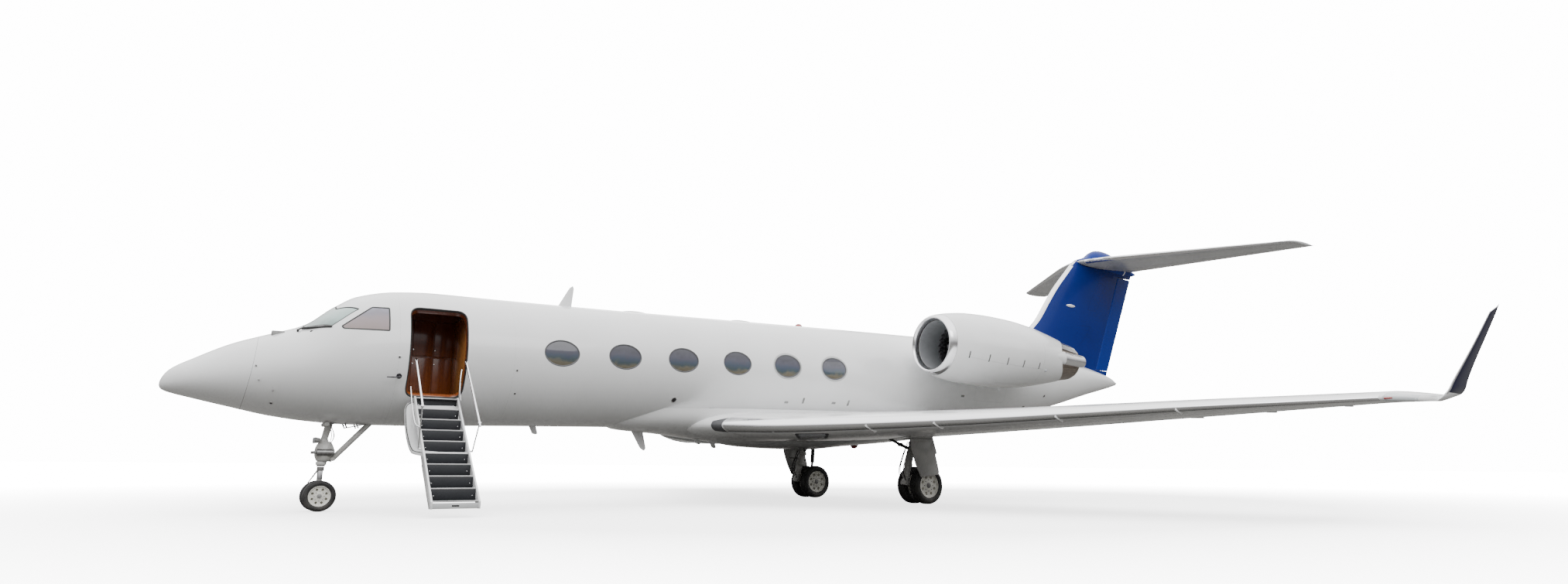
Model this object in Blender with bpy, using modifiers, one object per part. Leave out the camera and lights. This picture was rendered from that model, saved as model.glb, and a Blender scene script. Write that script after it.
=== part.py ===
"""A twin-engined long-range business jet, parked on its gear with the airstair down.

Metres. +X runs aft, +Y to starboard, +Z up, and the ground is Z = 0. Lengths along the
jet are stations, measured aft from the nose tip, and x_of() turns a station into X, so
that the origin lies on the ground under the middle of the aircraft's box. The parked
jet sits slightly nose down, which every height line below already holds.
"""

import math

import bmesh
import bpy
from mathutils import Matrix, Vector

# Overall sizes
LENGTH = 26.92
HALF_SPAN = 11.86
CABIN_RADIUS = 1.195
WALL = 0.075
FIT = 0.0003
PORT, STARBOARD = -1, 1
SIDES = ((PORT, "left"), (STARBOARD, "right"))

# Fuselage lines, as (station, height) and (station, half width)
AXIS_HEIGHT_AT_10M = 2.7825
ATTITUDE = 0.0192
TOP_LINE = ((0.0, 2.01), (0.03, 2.11), (0.12, 2.24), (0.41, 2.431), (0.91, 2.709), (1.44, 2.915),
            (1.91, 3.10), (2.33, 3.45), (2.675, 3.674), (3.275, 3.823), (3.965, 3.875),
            (5.2, 3.885), (15.0, 4.0735), (17.0, 4.095), (19.0, 4.05), (21.0, 3.93), (22.2, 3.80),
            (23.145, 3.645), (23.69, 3.53), (24.02, 3.40), (24.1, 3.33))
BOTTOM_LINE = ((0.0, 1.99), (0.03, 1.925), (0.12, 1.88), (0.48, 1.790), (1.02, 1.668), (1.58, 1.551),
               (2.16, 1.480), (2.76, 1.447), (3.63, 1.452), (5.2, 1.495), (14.3, 1.670), (16.0, 1.765),
               (17.5, 1.93), (19.0, 2.13), (20.0, 2.31), (21.1, 2.556), (22.5, 2.91), (23.9, 3.245),
               (24.1, 3.31))
SIDE_LINE = ((0.0, 0.01), (0.03, 0.10), (0.12, 0.21), (0.41, 0.42), (0.91, 0.66), (1.44, 0.84),
             (1.91, 0.96), (2.33, 1.04), (3.0, 1.12), (3.9, 1.175), (5.2, 1.195), (15.0, 1.195),
             (17.0, 1.12), (19.0, 0.95), (21.0, 0.68), (22.5, 0.43), (23.5, 0.22), (24.0, 0.09),
             (24.1, 0.01))
WAIST_LINE = ((0.0, 2.00), (0.41, 2.08), (0.91, 2.14), (1.44, 2.20), (1.91, 2.28), (2.33, 2.38),
              (2.675, 2.45), (3.275, 2.55), (3.965, 2.63), (5.2, 2.690), (15.0, 2.8785), (17.0, 2.98),
              (19.0, 3.08), (21.0, 3.22), (22.5, 3.34), (23.5, 3.36), (24.1, 3.32))
RING_POINTS = 28

# Where the fuselage's sections meet
RADOME_END = 1.50
COCKPIT_END = 3.25
ENTRY_END = 5.20
CABIN_END = 13.60
AFT_END = 20.00
TAIL_TIP = 24.10

# Doorway and airstair
DOOR_FRONT, DOOR_BACK = 3.44, 4.37
SILL_HEIGHT, DOOR_TOP = 1.906, 3.46
DOOR_CORNER = 0.17
FLOOR_THICKNESS = 0.06
STAIR_FRONT, STAIR_BACK = 3.611, 4.282
RISER, TREAD = 0.182, 0.203
UPPER_STEPS, ALL_STEPS = 5, 9
STAIR_START_Y = -1.031
STAIR_START_Z = 1.888
STRINGER = 0.03
STAIR_FOOT = 0.13
DOOR_SKIN = 0.05
DOOR_PANEL_FOOT, DOOR_PANEL_TOP = 1.956, 3.32

# Cabin windows
WINDOW_COUNT = 6
WINDOW_FIRST, WINDOW_PITCH = 6.07, 1.258
WINDOW_WIDTH, WINDOW_HEIGHT = 0.66, 0.48
WINDOW_RISE = 0.112

# Cockpit glass: the corners of a windscreen over its sweep, and of a side window
SCREEN_CORNERS = ((1.81, 0.035, 3.30), (2.16, 0.79, 3.25), (2.575, 0.715, 3.55), (2.31, 0.035, 3.66))
SCREEN_SWEEP = Vector((0.25, 0.0, -0.60))
SIDE_WINDOW_CORNERS = ((2.41, 2.985), (2.385, 3.03), (2.845, 3.414), (3.112, 3.415), (3.112, 2.987))

# Wing, as lines over the distance from the centre plane
LEADING_AT_CENTRE, LEADING_SLOPE = 8.396, 0.6105
TRAILING_AT_CENTRE, TRAILING_SLOPE = 14.34, 0.245
WING_LEADING_HEIGHT = ((0.0, 1.62), (1.5, 1.588), (2.5, 1.555), (3.8, 1.57), (5.6, 1.62), (7.4, 1.705),
                       (8.8, 1.774), (11.3, 1.865))
WING_TRAILING_HEIGHT = ((0.0, 1.43), (2.05, 1.496), (4.95, 1.624), (7.33, 1.739), (9.5, 1.85),
                        (11.3, 1.965))
WING_ROOT, WING_TIP = 0.75, 11.22
TIP_RAKE_START = 10.95
WINGLET_FRONT, WINGLET_BACK = 16.40, 17.13
FLAP_SPAN = (1.60, 7.40)
AILERON_SPAN = (7.62, 10.45)
AILERON_HINGE = 0.76
FLAP_LINE = ((1.6, 0.835), (2.8, 0.80), (7.4, 0.72))
HINGE_GAP = 0.012
END_GAP = 0.014
SECTION_POINTS = 9

# Tail
FIN_LEADING = ((3.6, 17.3), (3.9, 17.9), (4.15, 18.7), (4.43, 19.62), (4.65, 20.11), (4.96, 20.50),
               (5.586, 21.02), (6.05, 21.42), (6.59, 21.97), (7.16, 22.55))
RUDDER_TOP, RUDDER_BOTTOM = 6.745, 3.70
RUDDER_END_GAP = 0.035
RUDDER_FRONT_AT = (3.69, 23.112)
RUDDER_FRONT_SLOPE = 0.443
RUDDER_BACK_AT = (3.558, 23.656)
RUDDER_BACK_SLOPE = 0.481
FIN_TOP = 6.86
STAB_ROOT_FRONT, STAB_ROOT_BACK = 22.50, 25.24
STAB_TIP_FRONT, STAB_TIP_BACK = 25.83, LENGTH
STAB_HALF_SPAN = 4.875
STAB_ROOT_HEIGHT, STAB_TIP_HEIGHT = 6.98, 7.14
STAB_ROOT_Y = 0.30
ELEVATOR_SPAN = (0.42, 4.22)
ELEVATOR_HINGE = 0.68

# Engines
ENGINE_Y = 2.10
INTAKE_STATION, INTAKE_HEIGHT = 14.44, 3.575
ENGINE_SLOPE = -0.023
NACELLE_OUTSIDE = ((0.41, 0.760), (1.0, 0.832), (1.6, 0.850), (2.3, 0.832), (3.0, 0.765), (3.6, 0.665),
                   (4.45, 0.490))
NACELLE_INSIDE = ((4.45, 0.462), (3.0, 0.600), (1.0, 0.580), (0.41, 0.560))
LIP_PROFILE = ((0.06, 0.577), (0.0, 0.610), (0.015, 0.648), (0.07, 0.680), (0.18, 0.715), (0.41, 0.760))
THROAT = 0.560
FAN_STATION = 0.85
FAN_RADIUS = 0.545
BLADES = 14
BLADE_TURN = 0.31
SPINNER_NOSE = 0.20
SPINNER_PROFILE = ((0.17, 0.05), (0.08, 0.12), (0.0, 0.165), (-0.11, 0.172), (-0.14, 0.172))
BLADE_MIDDLE = -0.055
BLADE_SECTIONS = ((0.30, 0.13, 32, 0.014), (FAN_RADIUS, 0.16, 56, 0.007))
TURN_STEPS = 28

# Wheels and gear
NOSE_GEAR_STATION, MAIN_GEAR_STATION = 2.40, 14.03
MAIN_TRACK = 2.085
NOSE_TYRE_RADIUS, NOSE_TYRE_WIDTH, NOSE_TWIN = 0.257, 0.165, 0.175
MAIN_TYRE_RADIUS, MAIN_TYRE_WIDTH, MAIN_TWIN = 0.405, 0.235, 0.205
WHEEL_STEPS = 20
NOSE_AXLE, MAIN_AXLE = 0.030, 0.040
AXLE_PLAY = 0.0005

MATERIALS = {
    "white_paint": ((0.83, 0.84, 0.85), 0.25, 0.0),
    "grey_paint": ((0.55, 0.56, 0.57), 0.35, 0.0),
    "blue_paint": ((0.004, 0.045, 0.23), 0.25, 0.0),
    "navy_paint": ((0.01, 0.015, 0.07), 0.25, 0.0),
    "polished_metal": ((0.80, 0.80, 0.80), 0.15, 1.0),
    "bare_metal": ((0.55, 0.55, 0.56), 0.35, 1.0),
    "dark_metal": ((0.08, 0.08, 0.09), 0.4, 1.0),
    "tyre": ((0.015, 0.015, 0.016), 0.8, 0.0),
    "glass": ((0.10, 0.13, 0.14), 0.05, 0.0),
    "wood": ((0.33, 0.11, 0.03), 0.3, 0.0),
    "carpet": ((0.20, 0.17, 0.14), 0.9, 0.0),
    "leather": ((0.25, 0.20, 0.15), 0.5, 0.0),
    "rubber_tread": ((0.012, 0.013, 0.016), 0.7, 0.0),
}


def x_of(station):
    """X of a station measured aft from the nose tip."""
    return station - LENGTH / 2


def line_value(points, at):
    """The value at a place on a smooth line through (place, value) points, with no overshoot."""
    places = [p for p, _ in points]
    values = [v for _, v in points]
    if at <= places[0]:
        return values[0]
    if at >= places[-1]:
        return values[-1]
    slopes = [(values[i + 1] - values[i]) / (places[i + 1] - places[i]) for i in range(len(places) - 1)]

    def tangent(i):
        if i == 0:
            return slopes[0]
        if i == len(places) - 1:
            return slopes[-1]
        before, after = slopes[i - 1], slopes[i]
        if before * after <= 0:
            return 0.0
        return 2 * before * after / (before + after)

    i = max(k for k in range(len(places) - 1) if places[k] <= at)
    run = places[i + 1] - places[i]
    t = (at - places[i]) / run
    return ((2 * t ** 3 - 3 * t ** 2 + 1) * values[i] + (t ** 3 - 2 * t ** 2 + t) * run * tangent(i)
            + (3 * t ** 2 - 2 * t ** 3) * values[i + 1] + (t ** 3 - t ** 2) * run * tangent(i + 1))


def floor_height(station):
    """Height of the cabin floor's top, which follows the jet's attitude from the door sill."""
    return SILL_HEIGHT + ATTITUDE * (station - (DOOR_FRONT + DOOR_BACK) / 2)


# Building tools

def material(name):
    """The Principled material of one of the jet's finishes."""
    found = bpy.data.materials.get(name)
    if found:
        return found
    colour, roughness, metallic = MATERIALS[name]
    made = bpy.data.materials.new(name)
    made.use_nodes = True
    shader = made.node_tree.nodes["Principled BSDF"]
    shader.inputs["Base Color"].default_value = (*colour, 1.0)
    shader.inputs["Roughness"].default_value = roughness
    shader.inputs["Metallic"].default_value = metallic
    made.diffuse_color = (*colour, 1.0)
    return made


def add_object(name, mesh, finish=None):
    """Link a mesh as a part with its finish or, with no finish, as a hidden cutter."""
    made = bpy.data.objects.new(name, mesh)
    if finish:
        mesh.materials.append(material(finish))
        parts.objects.link(made)
    else:
        cutters.objects.link(made)
        made.hide_render = True
        made.display_type = 'WIRE'
    return made


def finish_mesh(name, bm, finish=None, smooth=True):
    """Turn a closed bmesh into an object with its faces pointing out."""
    bmesh.ops.recalc_face_normals(bm, faces=bm.faces)
    if bm.calc_volume(signed=True) < 0:
        bmesh.ops.reverse_faces(bm, faces=bm.faces)
    mesh = bpy.data.meshes.new(name)
    bm.to_mesh(mesh)
    bm.free()
    if smooth:
        mesh.shade_smooth()
        mesh.set_sharp_from_angle(angle=math.radians(35))
    return add_object(name, mesh, finish)


def skin(bm, rings):
    """Pairs of triangles between neighbouring rings of vertices, always split the same way."""
    count = len(rings[0])
    for first, second in zip(rings, rings[1:]):
        for i in range(count):
            j = (i + 1) % count
            bm.faces.new((first[i], first[j], second[j]))
            bm.faces.new((first[i], second[j], second[i]))


def loft(name, rings, finish=None):
    """A solid through rings of points, flat at both ends."""
    bm = bmesh.new()
    rows = [[bm.verts.new(p) for p in ring] for ring in rings]
    skin(bm, rows)
    bm.faces.new(rows[0])
    bm.faces.new(rows[-1])
    return finish_mesh(name, bm, finish)


def tube(name, outer, inner, finish, front_wall=False, aft_wall=False):
    """A walled tube between outer and inner rings, with each end open or closed by a wall."""
    bm = bmesh.new()
    outside = [[bm.verts.new(p) for p in ring] for ring in outer]
    inside = [[bm.verts.new(p) for p in ring] for ring in inner]
    skin(bm, outside)
    skin(bm, inside)
    for end, walled in ((0, front_wall), (-1, aft_wall)):
        if walled:
            bm.faces.new(outside[end])
            bm.faces.new(inside[end])
        else:
            skin(bm, [outside[end], inside[end]])
    return finish_mesh(name, bm, finish)


def prism(name, outline, start, depth, finish=None):
    """A flat outline of points, swept by a vector from where it starts."""
    first = [Vector(p) + Vector(start) for p in outline]
    second = [p + Vector(depth) for p in first]
    return loft(name, [first, second], finish)


def block(name, low, high, finish=None):
    """A box between two corners."""
    bm = bmesh.new()
    bmesh.ops.create_cube(bm, size=1.0)
    size = Vector(high) - Vector(low)
    middle = (Vector(high) + Vector(low)) / 2
    bmesh.ops.transform(bm, matrix=Matrix.Translation(middle) @ Matrix.Diagonal((*size, 1.0)), verts=bm.verts)
    return finish_mesh(name, bm, finish, smooth=False)


def rod(name, start, end, radius, finish=None, sides=12, end_radius=None):
    """A round bar between two points."""
    start, end = Vector(start), Vector(end)
    along = end - start
    turn = along.to_track_quat('Z', 'Y').to_matrix().to_4x4()
    bm = bmesh.new()
    bmesh.ops.create_cone(bm, cap_ends=True, segments=sides, radius1=radius,
                          radius2=radius if end_radius is None else end_radius, depth=along.length)
    bmesh.ops.transform(bm, matrix=Matrix.Translation((start + end) / 2) @ turn, verts=bm.verts)
    return finish_mesh(name, bm, finish)


def turned(name, profile, frame, finish=None, closed=False, steps=TURN_STEPS):
    """A turned solid: (height, radius) points run down the outer side about the frame's Z."""
    mesh = bpy.data.meshes.new(name)
    count = len(profile)
    edges = [(i, i + 1) for i in range(count - 1)] + ([(count - 1, 0)] if closed else [])
    mesh.from_pydata([(radius, 0.0, height) for height, radius in profile], edges, [])
    made = add_object(name, mesh, finish)
    made.matrix_world = frame
    screw = made.modifiers.new("Turn", 'SCREW')
    screw.angle = 2 * math.pi
    screw.steps = steps
    screw.render_steps = steps
    screw.use_merge_vertices = True
    screw.merge_threshold = 0.00001
    return made


def pivot_at(part, point):
    """Put a part's origin on its joint's axis, and leave its shape where it is."""
    part.data.transform(Matrix.Translation(-Vector(point)))
    part.matrix_world = Matrix.Translation(point)
    return part


def shape_with(target, tool, operation='DIFFERENCE'):
    """Cut, trim or join a part with a hidden tool solid."""
    change = target.modifiers.new(operation.title(), 'BOOLEAN')
    change.operation = operation
    change.solver = 'EXACT'
    change.object = tool
    return target


def join_all(target, tools):
    """Join several hidden solids to a part, one after another."""
    for tool in tools:
        shape_with(target, tool, 'UNION')
    return target


# Fuselage

def fuselage_ring(station, inset=0.0):
    """The outline of the fuselage at a station, drawn in by an inset or grown where it is negative."""
    top = line_value(TOP_LINE, station) - inset
    bottom = line_value(BOTTOM_LINE, station) + inset
    side = line_value(SIDE_LINE, station) - inset
    waist = line_value(WAIST_LINE, station)
    points = []
    for i in range(RING_POINTS):
        angle = 2 * math.pi * i / RING_POINTS
        up = math.cos(angle)
        reach = (top - waist) if up >= 0 else (waist - bottom)
        points.append(Vector((x_of(station), side * math.sin(angle), waist + reach * up)))
    return points


def fuselage_rings(stations, inset=0.0):
    """The outlines at a list of stations."""
    return [fuselage_ring(s, inset) for s in stations]


def between(start, end, pitch):
    """Stations from start to end, both included, about a pitch apart."""
    steps = max(1, round((end - start) / pitch))
    return [start + (end - start) * i / steps for i in range(steps + 1)]


def make_fuselage():
    """The radome, the four hollow sections, the tail cone and the solids that trim what meets them."""
    half = FIT / 2
    nose = [0.006, 0.04, 0.10, 0.20, 0.34, 0.54, 0.80, 1.12, RADOME_END - half]
    loft("radome", fuselage_rings(nose), "white_paint")
    cockpit = between(RADOME_END + half, COCKPIT_END - half, 0.22)
    cockpit_inside = between(RADOME_END + WALL, COCKPIT_END - half, 0.34)
    tube("cockpit_shell", fuselage_rings(cockpit), fuselage_rings(cockpit_inside, WALL), "white_paint",
         front_wall=True)
    entry = between(COCKPIT_END + half, ENTRY_END - half, 0.49)
    tube("entry_shell", fuselage_rings(entry), fuselage_rings(entry, WALL), "white_paint")
    cabin = between(ENTRY_END + half, CABIN_END - half, 4.2)
    tube("cabin_shell", fuselage_rings(cabin), fuselage_rings(cabin, WALL), "white_paint")
    aft = between(CABIN_END + half, AFT_END - half, 1.6)
    tube("aft_fuselage", fuselage_rings(aft), fuselage_rings(aft, WALL), "white_paint")
    cone = between(AFT_END + half, 23.4, 0.85) + [23.75, 24.0, TAIL_TIP - 0.02]
    cone_inside = between(AFT_END + half, 22.7, 1.35)
    tube("tail_cone", fuselage_rings(cone), fuselage_rings(cone_inside, WALL * 0.6), "white_paint",
         aft_wall=True)
    whole = nose[:-1] + between(RADOME_END, COCKPIT_END, 0.22) + entry[1:-1] + cabin + aft + cone
    whole = sorted(set(whole))
    loft("outside_plus_fit", fuselage_rings(whole, -FIT))
    room = between(RADOME_END + WALL, COCKPIT_END, 0.34) + entry[1:-1] + cabin
    loft("inside_less_fit", fuselage_rings(room, WALL + FIT))


def rounded_outline(front, back, bottom, top, corner, along_y, arc_steps=4):
    """A rectangle with round corners in an upright plane at a given Y."""
    points = []
    for centre_x, centre_z, start in ((back - corner, top - corner, 0), (front + corner, top - corner, 90),
                                      (front + corner, bottom + corner, 180),
                                      (back - corner, bottom + corner, 270)):
        for step in range(arc_steps + 1):
            angle = math.radians(start + 90 * step / arc_steps)
            points.append((x_of(centre_x) + corner * math.cos(angle), along_y,
                           centre_z + corner * math.sin(angle)))
    return points


def cut_doorway():
    """The doorway through the port wall of the entry section."""
    outline = rounded_outline(DOOR_FRONT, DOOR_BACK, SILL_HEIGHT, DOOR_TOP, DOOR_CORNER, 0.0)
    tool = prism("doorway_cut", outline, (0, -1.6, 0), (0, 1.2, 0))
    shape_with(bpy.data.objects["entry_shell"], tool)


def window_centre(index):
    """Station and height of the middle of a cabin window, counted from the front."""
    station = WINDOW_FIRST + WINDOW_PITCH * index
    height = AXIS_HEIGHT_AT_10M + ATTITUDE * (station - 10) + WINDOW_RISE
    return station, height


def window_plug(name, index, side, shrink, y_from, y_to):
    """An oval plug along Y at one cabin window."""
    station, height = window_centre(index)
    outline = []
    sides = 12
    for i in range(sides):
        angle = 2 * math.pi * i / sides
        outline.append((x_of(station) + (WINDOW_WIDTH / 2 - shrink) * math.cos(angle), 0.0,
                        height + (WINDOW_HEIGHT / 2 - shrink) * math.sin(angle)))
    return prism(name, outline, (0, side * y_from, 0), (0, side * (y_to - y_from), 0))


def make_cabin_windows():
    """Six oval openings on each side, each side filled by one lined strip that carries its panes."""
    shell = bpy.data.objects["cabin_shell"]
    for side, word in SIDES:
        for index in range(WINDOW_COUNT):
            shape_with(shell, window_plug(f"window_cut_{word}_{index}", index, side, 0.0, 0.9, 1.4))
        first, last = window_centre(0), window_centre(WINDOW_COUNT - 1)
        bottom = first[1] - WINDOW_HEIGHT / 2 - 0.07
        top = last[1] + WINDOW_HEIGHT / 2 + 0.07
        strip = block(f"cabin_windows_{word}",
                      (x_of(first[0] - 0.45), min(side * 0.96, side * 1.3), bottom),
                      (x_of(last[0] + 0.45), max(side * 0.96, side * 1.3), top), "glass")
        shape_with(strip, bpy.data.objects["inside_less_fit"], 'INTERSECT')
        limit = loft(f"pane_limit_{word}", fuselage_rings(between(5.4, 13.2, 7.8), 0.02))
        for index in range(WINDOW_COUNT):
            plug = window_plug(f"pane_{word}_{index}", index, side, FIT, 0.98, 1.3)
            shape_with(plug, limit, 'INTERSECT')
            shape_with(strip, plug, 'UNION')


def make_cockpit_glass():
    """Two windscreens and two side windows, cut through the cockpit's wall and glazed."""
    shell = bpy.data.objects["cockpit_shell"]
    band = between(1.62, 3.22, 0.2)
    for side, word in SIDES:
        outline = [Vector((x_of(s), side * y, z)) - SCREEN_SWEEP * 0.35 for s, y, z in SCREEN_CORNERS]
        side_outline = [Vector((x_of(s), 0.0, z)) for s, z in SIDE_WINDOW_CORNERS]
        for name, points, start, depth in (
                (f"windscreen_{word}", outline, (0, 0, 0), SCREEN_SWEEP),
                (f"side_window_{word}", side_outline, (0, side * 1.4, 0), (0, -side * 0.9, 0))):
            shape_with(shell, prism(f"{name}_cut", points, start, depth))
            middle = sum(points, Vector()) / len(points)
            shrunk = [middle + (p - middle) * (1 - 2 * FIT / (p - middle).length) for p in points]
            pane = tube(name, fuselage_rings(band, 0.012), fuselage_rings(band, 0.034), "glass")
            shape_with(pane, prism(f"{name}_trim", shrunk, start, depth), 'INTERSECT')


def make_interior():
    """What shows through the doorway and the windscreens: floor, wood walls, panel and seats."""
    room = bpy.data.objects["inside_less_fit"]
    low_front, low_back = floor_height(1.62), floor_height(CABIN_END - 0.2)
    start, end = x_of(1.62), x_of(CABIN_END - 0.2)
    floor = prism("cabin_floor", [(start, 0, low_front), (end, 0, low_back),
                                  (end, 0, low_back - FLOOR_THICKNESS),
                                  (start, 0, low_front - FLOOR_THICKNESS)], (0, -1.3, 0),
                  (0, 2.6, 0), "carpet")
    shape_with(floor, room, 'INTERSECT')
    for name, front, back, y_low, y_high, finish in (
            ("cockpit_partition", 3.27, 3.33, -1.3, 1.3, "wood"),
            ("cabin_partition", 4.50, 4.56, -1.3, 1.3, "wood"),
            ("entry_cabinet", 3.33 + FIT, 4.50 - FIT, 0.30, 1.3, "wood")):
        foot_front, foot_back = floor_height(front) + FIT, floor_height(back) + FIT
        outline = [(x_of(front), 0, foot_front), (x_of(back), 0, foot_back), (x_of(back), 0, 4.0),
                   (x_of(front), 0, 4.0)]
        piece = prism(name, outline, (0, y_low, 0), (0, y_high - y_low, 0), finish)
        shape_with(piece, room, 'INTERSECT')
    foot = floor_height(2.02) + FIT
    panel = prism("instrument_panel", [(x_of(1.72), 0, foot), (x_of(2.02), 0, foot), (x_of(2.10), 0, 2.86),
                                       (x_of(1.90), 0, 2.93), (x_of(1.72), 0, 2.86)],
                  (0, -1.2, 0), (0, 2.4, 0), "dark_metal")
    shape_with(panel, room, 'INTERSECT')
    seats = block("crew_seats", (x_of(2.70), -0.62, floor_height(3.12) + FIT),
                  (x_of(3.12), 0.62, floor_height(3.12) + 0.12), "leather")
    for side, word in SIDES:
        pan = block(f"seat_pan_{word}", (x_of(2.62), side * 0.44 - 0.22, 1.95),
                    (x_of(3.12), side * 0.44 + 0.22, 2.36))
        back = block(f"seat_back_{word}", (x_of(3.00), side * 0.44 - 0.22, 2.30),
                     (x_of(3.14), side * 0.44 + 0.22, 3.02))
        join_all(seats, (pan, back))


# Wing, tail surfaces and their sections

def section_half_thickness(fraction, thickness):
    """Half the thickness of the wing section at a fraction of its chord, blunt at the back."""
    shape = (0.2969 * math.sqrt(fraction) - 0.126 * fraction - 0.3516 * fraction ** 2
             + 0.2843 * fraction ** 3 - 0.1036 * fraction ** 4)
    return 5 * thickness * shape + 0.0016 * fraction


def section_fractions(end):
    """Chord fractions from the nose to the end of a section, close together at the nose."""
    return [end * (1 - math.cos(math.pi / 2 * i / (SECTION_POINTS - 1))) ** 1.35 for i in range(SECTION_POINTS)]


def section_ring(place, front, back, thickness, end=1.0, camber=0.0):
    """The outline of a section; place(along, across) gives the point, end cuts its tail off."""
    chord = back - front
    upper, lower = [], []
    for fraction in section_fractions(end):
        half = max(section_half_thickness(fraction, thickness) * chord, 0.0 if fraction == 0 else 0.003)
        bow = camber * chord * 4 * fraction * (1 - fraction)
        upper.append(place(front + chord * fraction, bow + half))
        if fraction > 0:
            lower.append(place(front + chord * fraction, bow - half))
    return upper + lower[::-1]


def control_ring(place, front, back, thickness, hinge, camber=0.0, nose_round=True):
    """The outline of a hinged surface, from its hinge line aft, with a round or flat nose."""
    chord = back - front
    hinge_at = front + chord * hinge

    def skin_at(fraction):
        return (section_half_thickness(fraction, thickness) * chord,
                camber * chord * 4 * fraction * (1 - fraction))

    half, bow = skin_at(hinge)
    points = []
    for fraction in (1.0, 0.5 * (1 + hinge), hinge):
        h, b = skin_at(fraction)
        points.append(place(front + chord * fraction, b + max(h, 0.003)))
    if nose_round:
        for angle in (120, 150, 180, 210, 240):
            points.append(place(hinge_at + half * math.cos(math.radians(angle)),
                                bow + half * math.sin(math.radians(angle))))
    for fraction in (hinge, 0.5 * (1 + hinge), 1.0):
        h, b = skin_at(fraction)
        points.append(place(front + chord * fraction, b - max(h, 0.003)))
    return points


def wing_edges(y):
    """Front and back stations of the wing at a distance from the centre, with the raked tip."""
    front = LEADING_AT_CENTRE + LEADING_SLOPE * y
    back = TRAILING_AT_CENTRE + TRAILING_SLOPE * y
    if y > TIP_RAKE_START:
        share = (y - TIP_RAKE_START) / (WING_TIP - TIP_RAKE_START)
        straight = LEADING_AT_CENTRE + LEADING_SLOPE * TIP_RAKE_START
        bend = math.sqrt(max(0.0, 1 - share ** 2)) * (1 - 0.35 * share)
        front = straight + (WINGLET_FRONT - straight) * (1 - bend)
        back = back + (WINGLET_BACK - back) * share
    return front, back


def wing_thickness(y):
    """Thickness over chord of the wing, which thins towards the tip."""
    return 0.115 - 0.025 * min(1.0, y / WING_TIP)


WING_CAMBER = 0.012


def wing_place(y, side):
    """A function that puts a section's (station, height over its chord line) at a span place."""
    front, back = wing_edges(y)
    low, high = line_value(WING_LEADING_HEIGHT, y), line_value(WING_TRAILING_HEIGHT, y)

    def place(station, across):
        share = (station - front) / (back - front)
        return Vector((x_of(station), side * y, low + (high - low) * share + across))

    return place


def wing_ring(y, side, end=1.0):
    """The wing's section at a distance from the centre."""
    front, back = wing_edges(y)
    return section_ring(wing_place(y, side), front, back, wing_thickness(y), end, WING_CAMBER)


def wing_control_ring(y, side, hinge, nose_round=True):
    """A flap's or aileron's section at a distance from the centre."""
    front, back = wing_edges(y)
    return control_ring(wing_place(y, side), front, back, wing_thickness(y), hinge, WING_CAMBER, nose_round)


def hinge_point(y, side, hinge):
    """The point on a wing control's hinge line at a distance from the centre."""
    front, back = wing_edges(y)
    chord = back - front
    return wing_place(y, side)(front + chord * hinge, WING_CAMBER * chord * 4 * hinge * (1 - hinge))


def hinge_radius(y, hinge):
    """The nose radius of a wing control at a distance from the centre."""
    front, back = wing_edges(y)
    return section_half_thickness(hinge, wing_thickness(y)) * (back - front)


def aileron_cut(y):
    """The chord fraction at which the wing stops ahead of an aileron's nose."""
    front, back = wing_edges(y)
    return AILERON_HINGE - (hinge_radius(y, AILERON_HINGE) + HINGE_GAP) / (back - front)


def end_pins(surface, name, inner, outer, gap, radius=0.012):
    """Stub pins along the hinge line that carry a control surface at its two ends."""
    along = (outer - inner).normalized()
    lean = math.sqrt(max(0.0, 1 - along.y ** 2)) / abs(along.y) if abs(along.y) > 0.5 else (
        math.sqrt(max(0.0, 1 - along.z ** 2)) / abs(along.z))
    reach = gap * math.sqrt(1 + lean ** 2) - radius * lean - 2 * FIT
    for word, end, out in (("inner", inner, -1), ("outer", outer, 1)):
        pin = rod(f"{name}_pin_{word}", end - along * out * 0.08, end + along * out * reach, radius, sides=10)
        shape_with(surface, pin, 'UNION')


def make_wings():
    """Two solid wings with flaps, ailerons and winglets."""
    body = bpy.data.objects["outside_plus_fit"]
    fairing = bpy.data.objects["fairing_plus_fit"]
    step = 0.0008
    for side, word in SIDES:
        rings = [wing_ring(y, side) for y in (WING_ROOT, 1.2, FLAP_SPAN[0] - step)]
        rings += [wing_ring(y, side, line_value(FLAP_LINE, y))
                  for y in (FLAP_SPAN[0], 2.8, 4.2, 5.6, FLAP_SPAN[1])]
        rings += [wing_ring(y, side) for y in (FLAP_SPAN[1] + step, AILERON_SPAN[0] - step)]
        rings += [wing_ring(y, side, aileron_cut(y)) for y in (AILERON_SPAN[0], 8.8, AILERON_SPAN[1])]
        rings += [wing_ring(y, side)
                  for y in (AILERON_SPAN[1] + step, TIP_RAKE_START, 11.06, 11.14, 11.19, WING_TIP)]
        wing = loft(f"wing_{word}", rings, "white_paint")
        shape_with(wing, body)
        shape_with(wing, fairing)
        flap_start, flap_end = FLAP_SPAN[0] + FIT, FLAP_SPAN[1] - FIT
        flap_rings = []
        for y in (flap_start, 2.8, 4.2, 5.6, flap_end):
            front, back = wing_edges(y)
            start = line_value(FLAP_LINE, y) + FIT / (back - front)
            flap_rings.append(wing_control_ring(y, side, start, nose_round=False))
        loft(f"flap_{word}", flap_rings, "white_paint")
        inner, outer = AILERON_SPAN[0] + END_GAP, AILERON_SPAN[1] - END_GAP
        aileron = loft(f"aileron_{word}",
                       [wing_control_ring(y, side, AILERON_HINGE) for y in (inner, 8.8, outer)],
                       "white_paint")
        hinge_inner, hinge_outer = (hinge_point(y, side, AILERON_HINGE) for y in (inner, outer))
        pivot_at(aileron, hinge_inner)
        end_pins(aileron, f"aileron_{word}", hinge_inner, hinge_outer, END_GAP)
        make_winglet(side, word)


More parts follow.
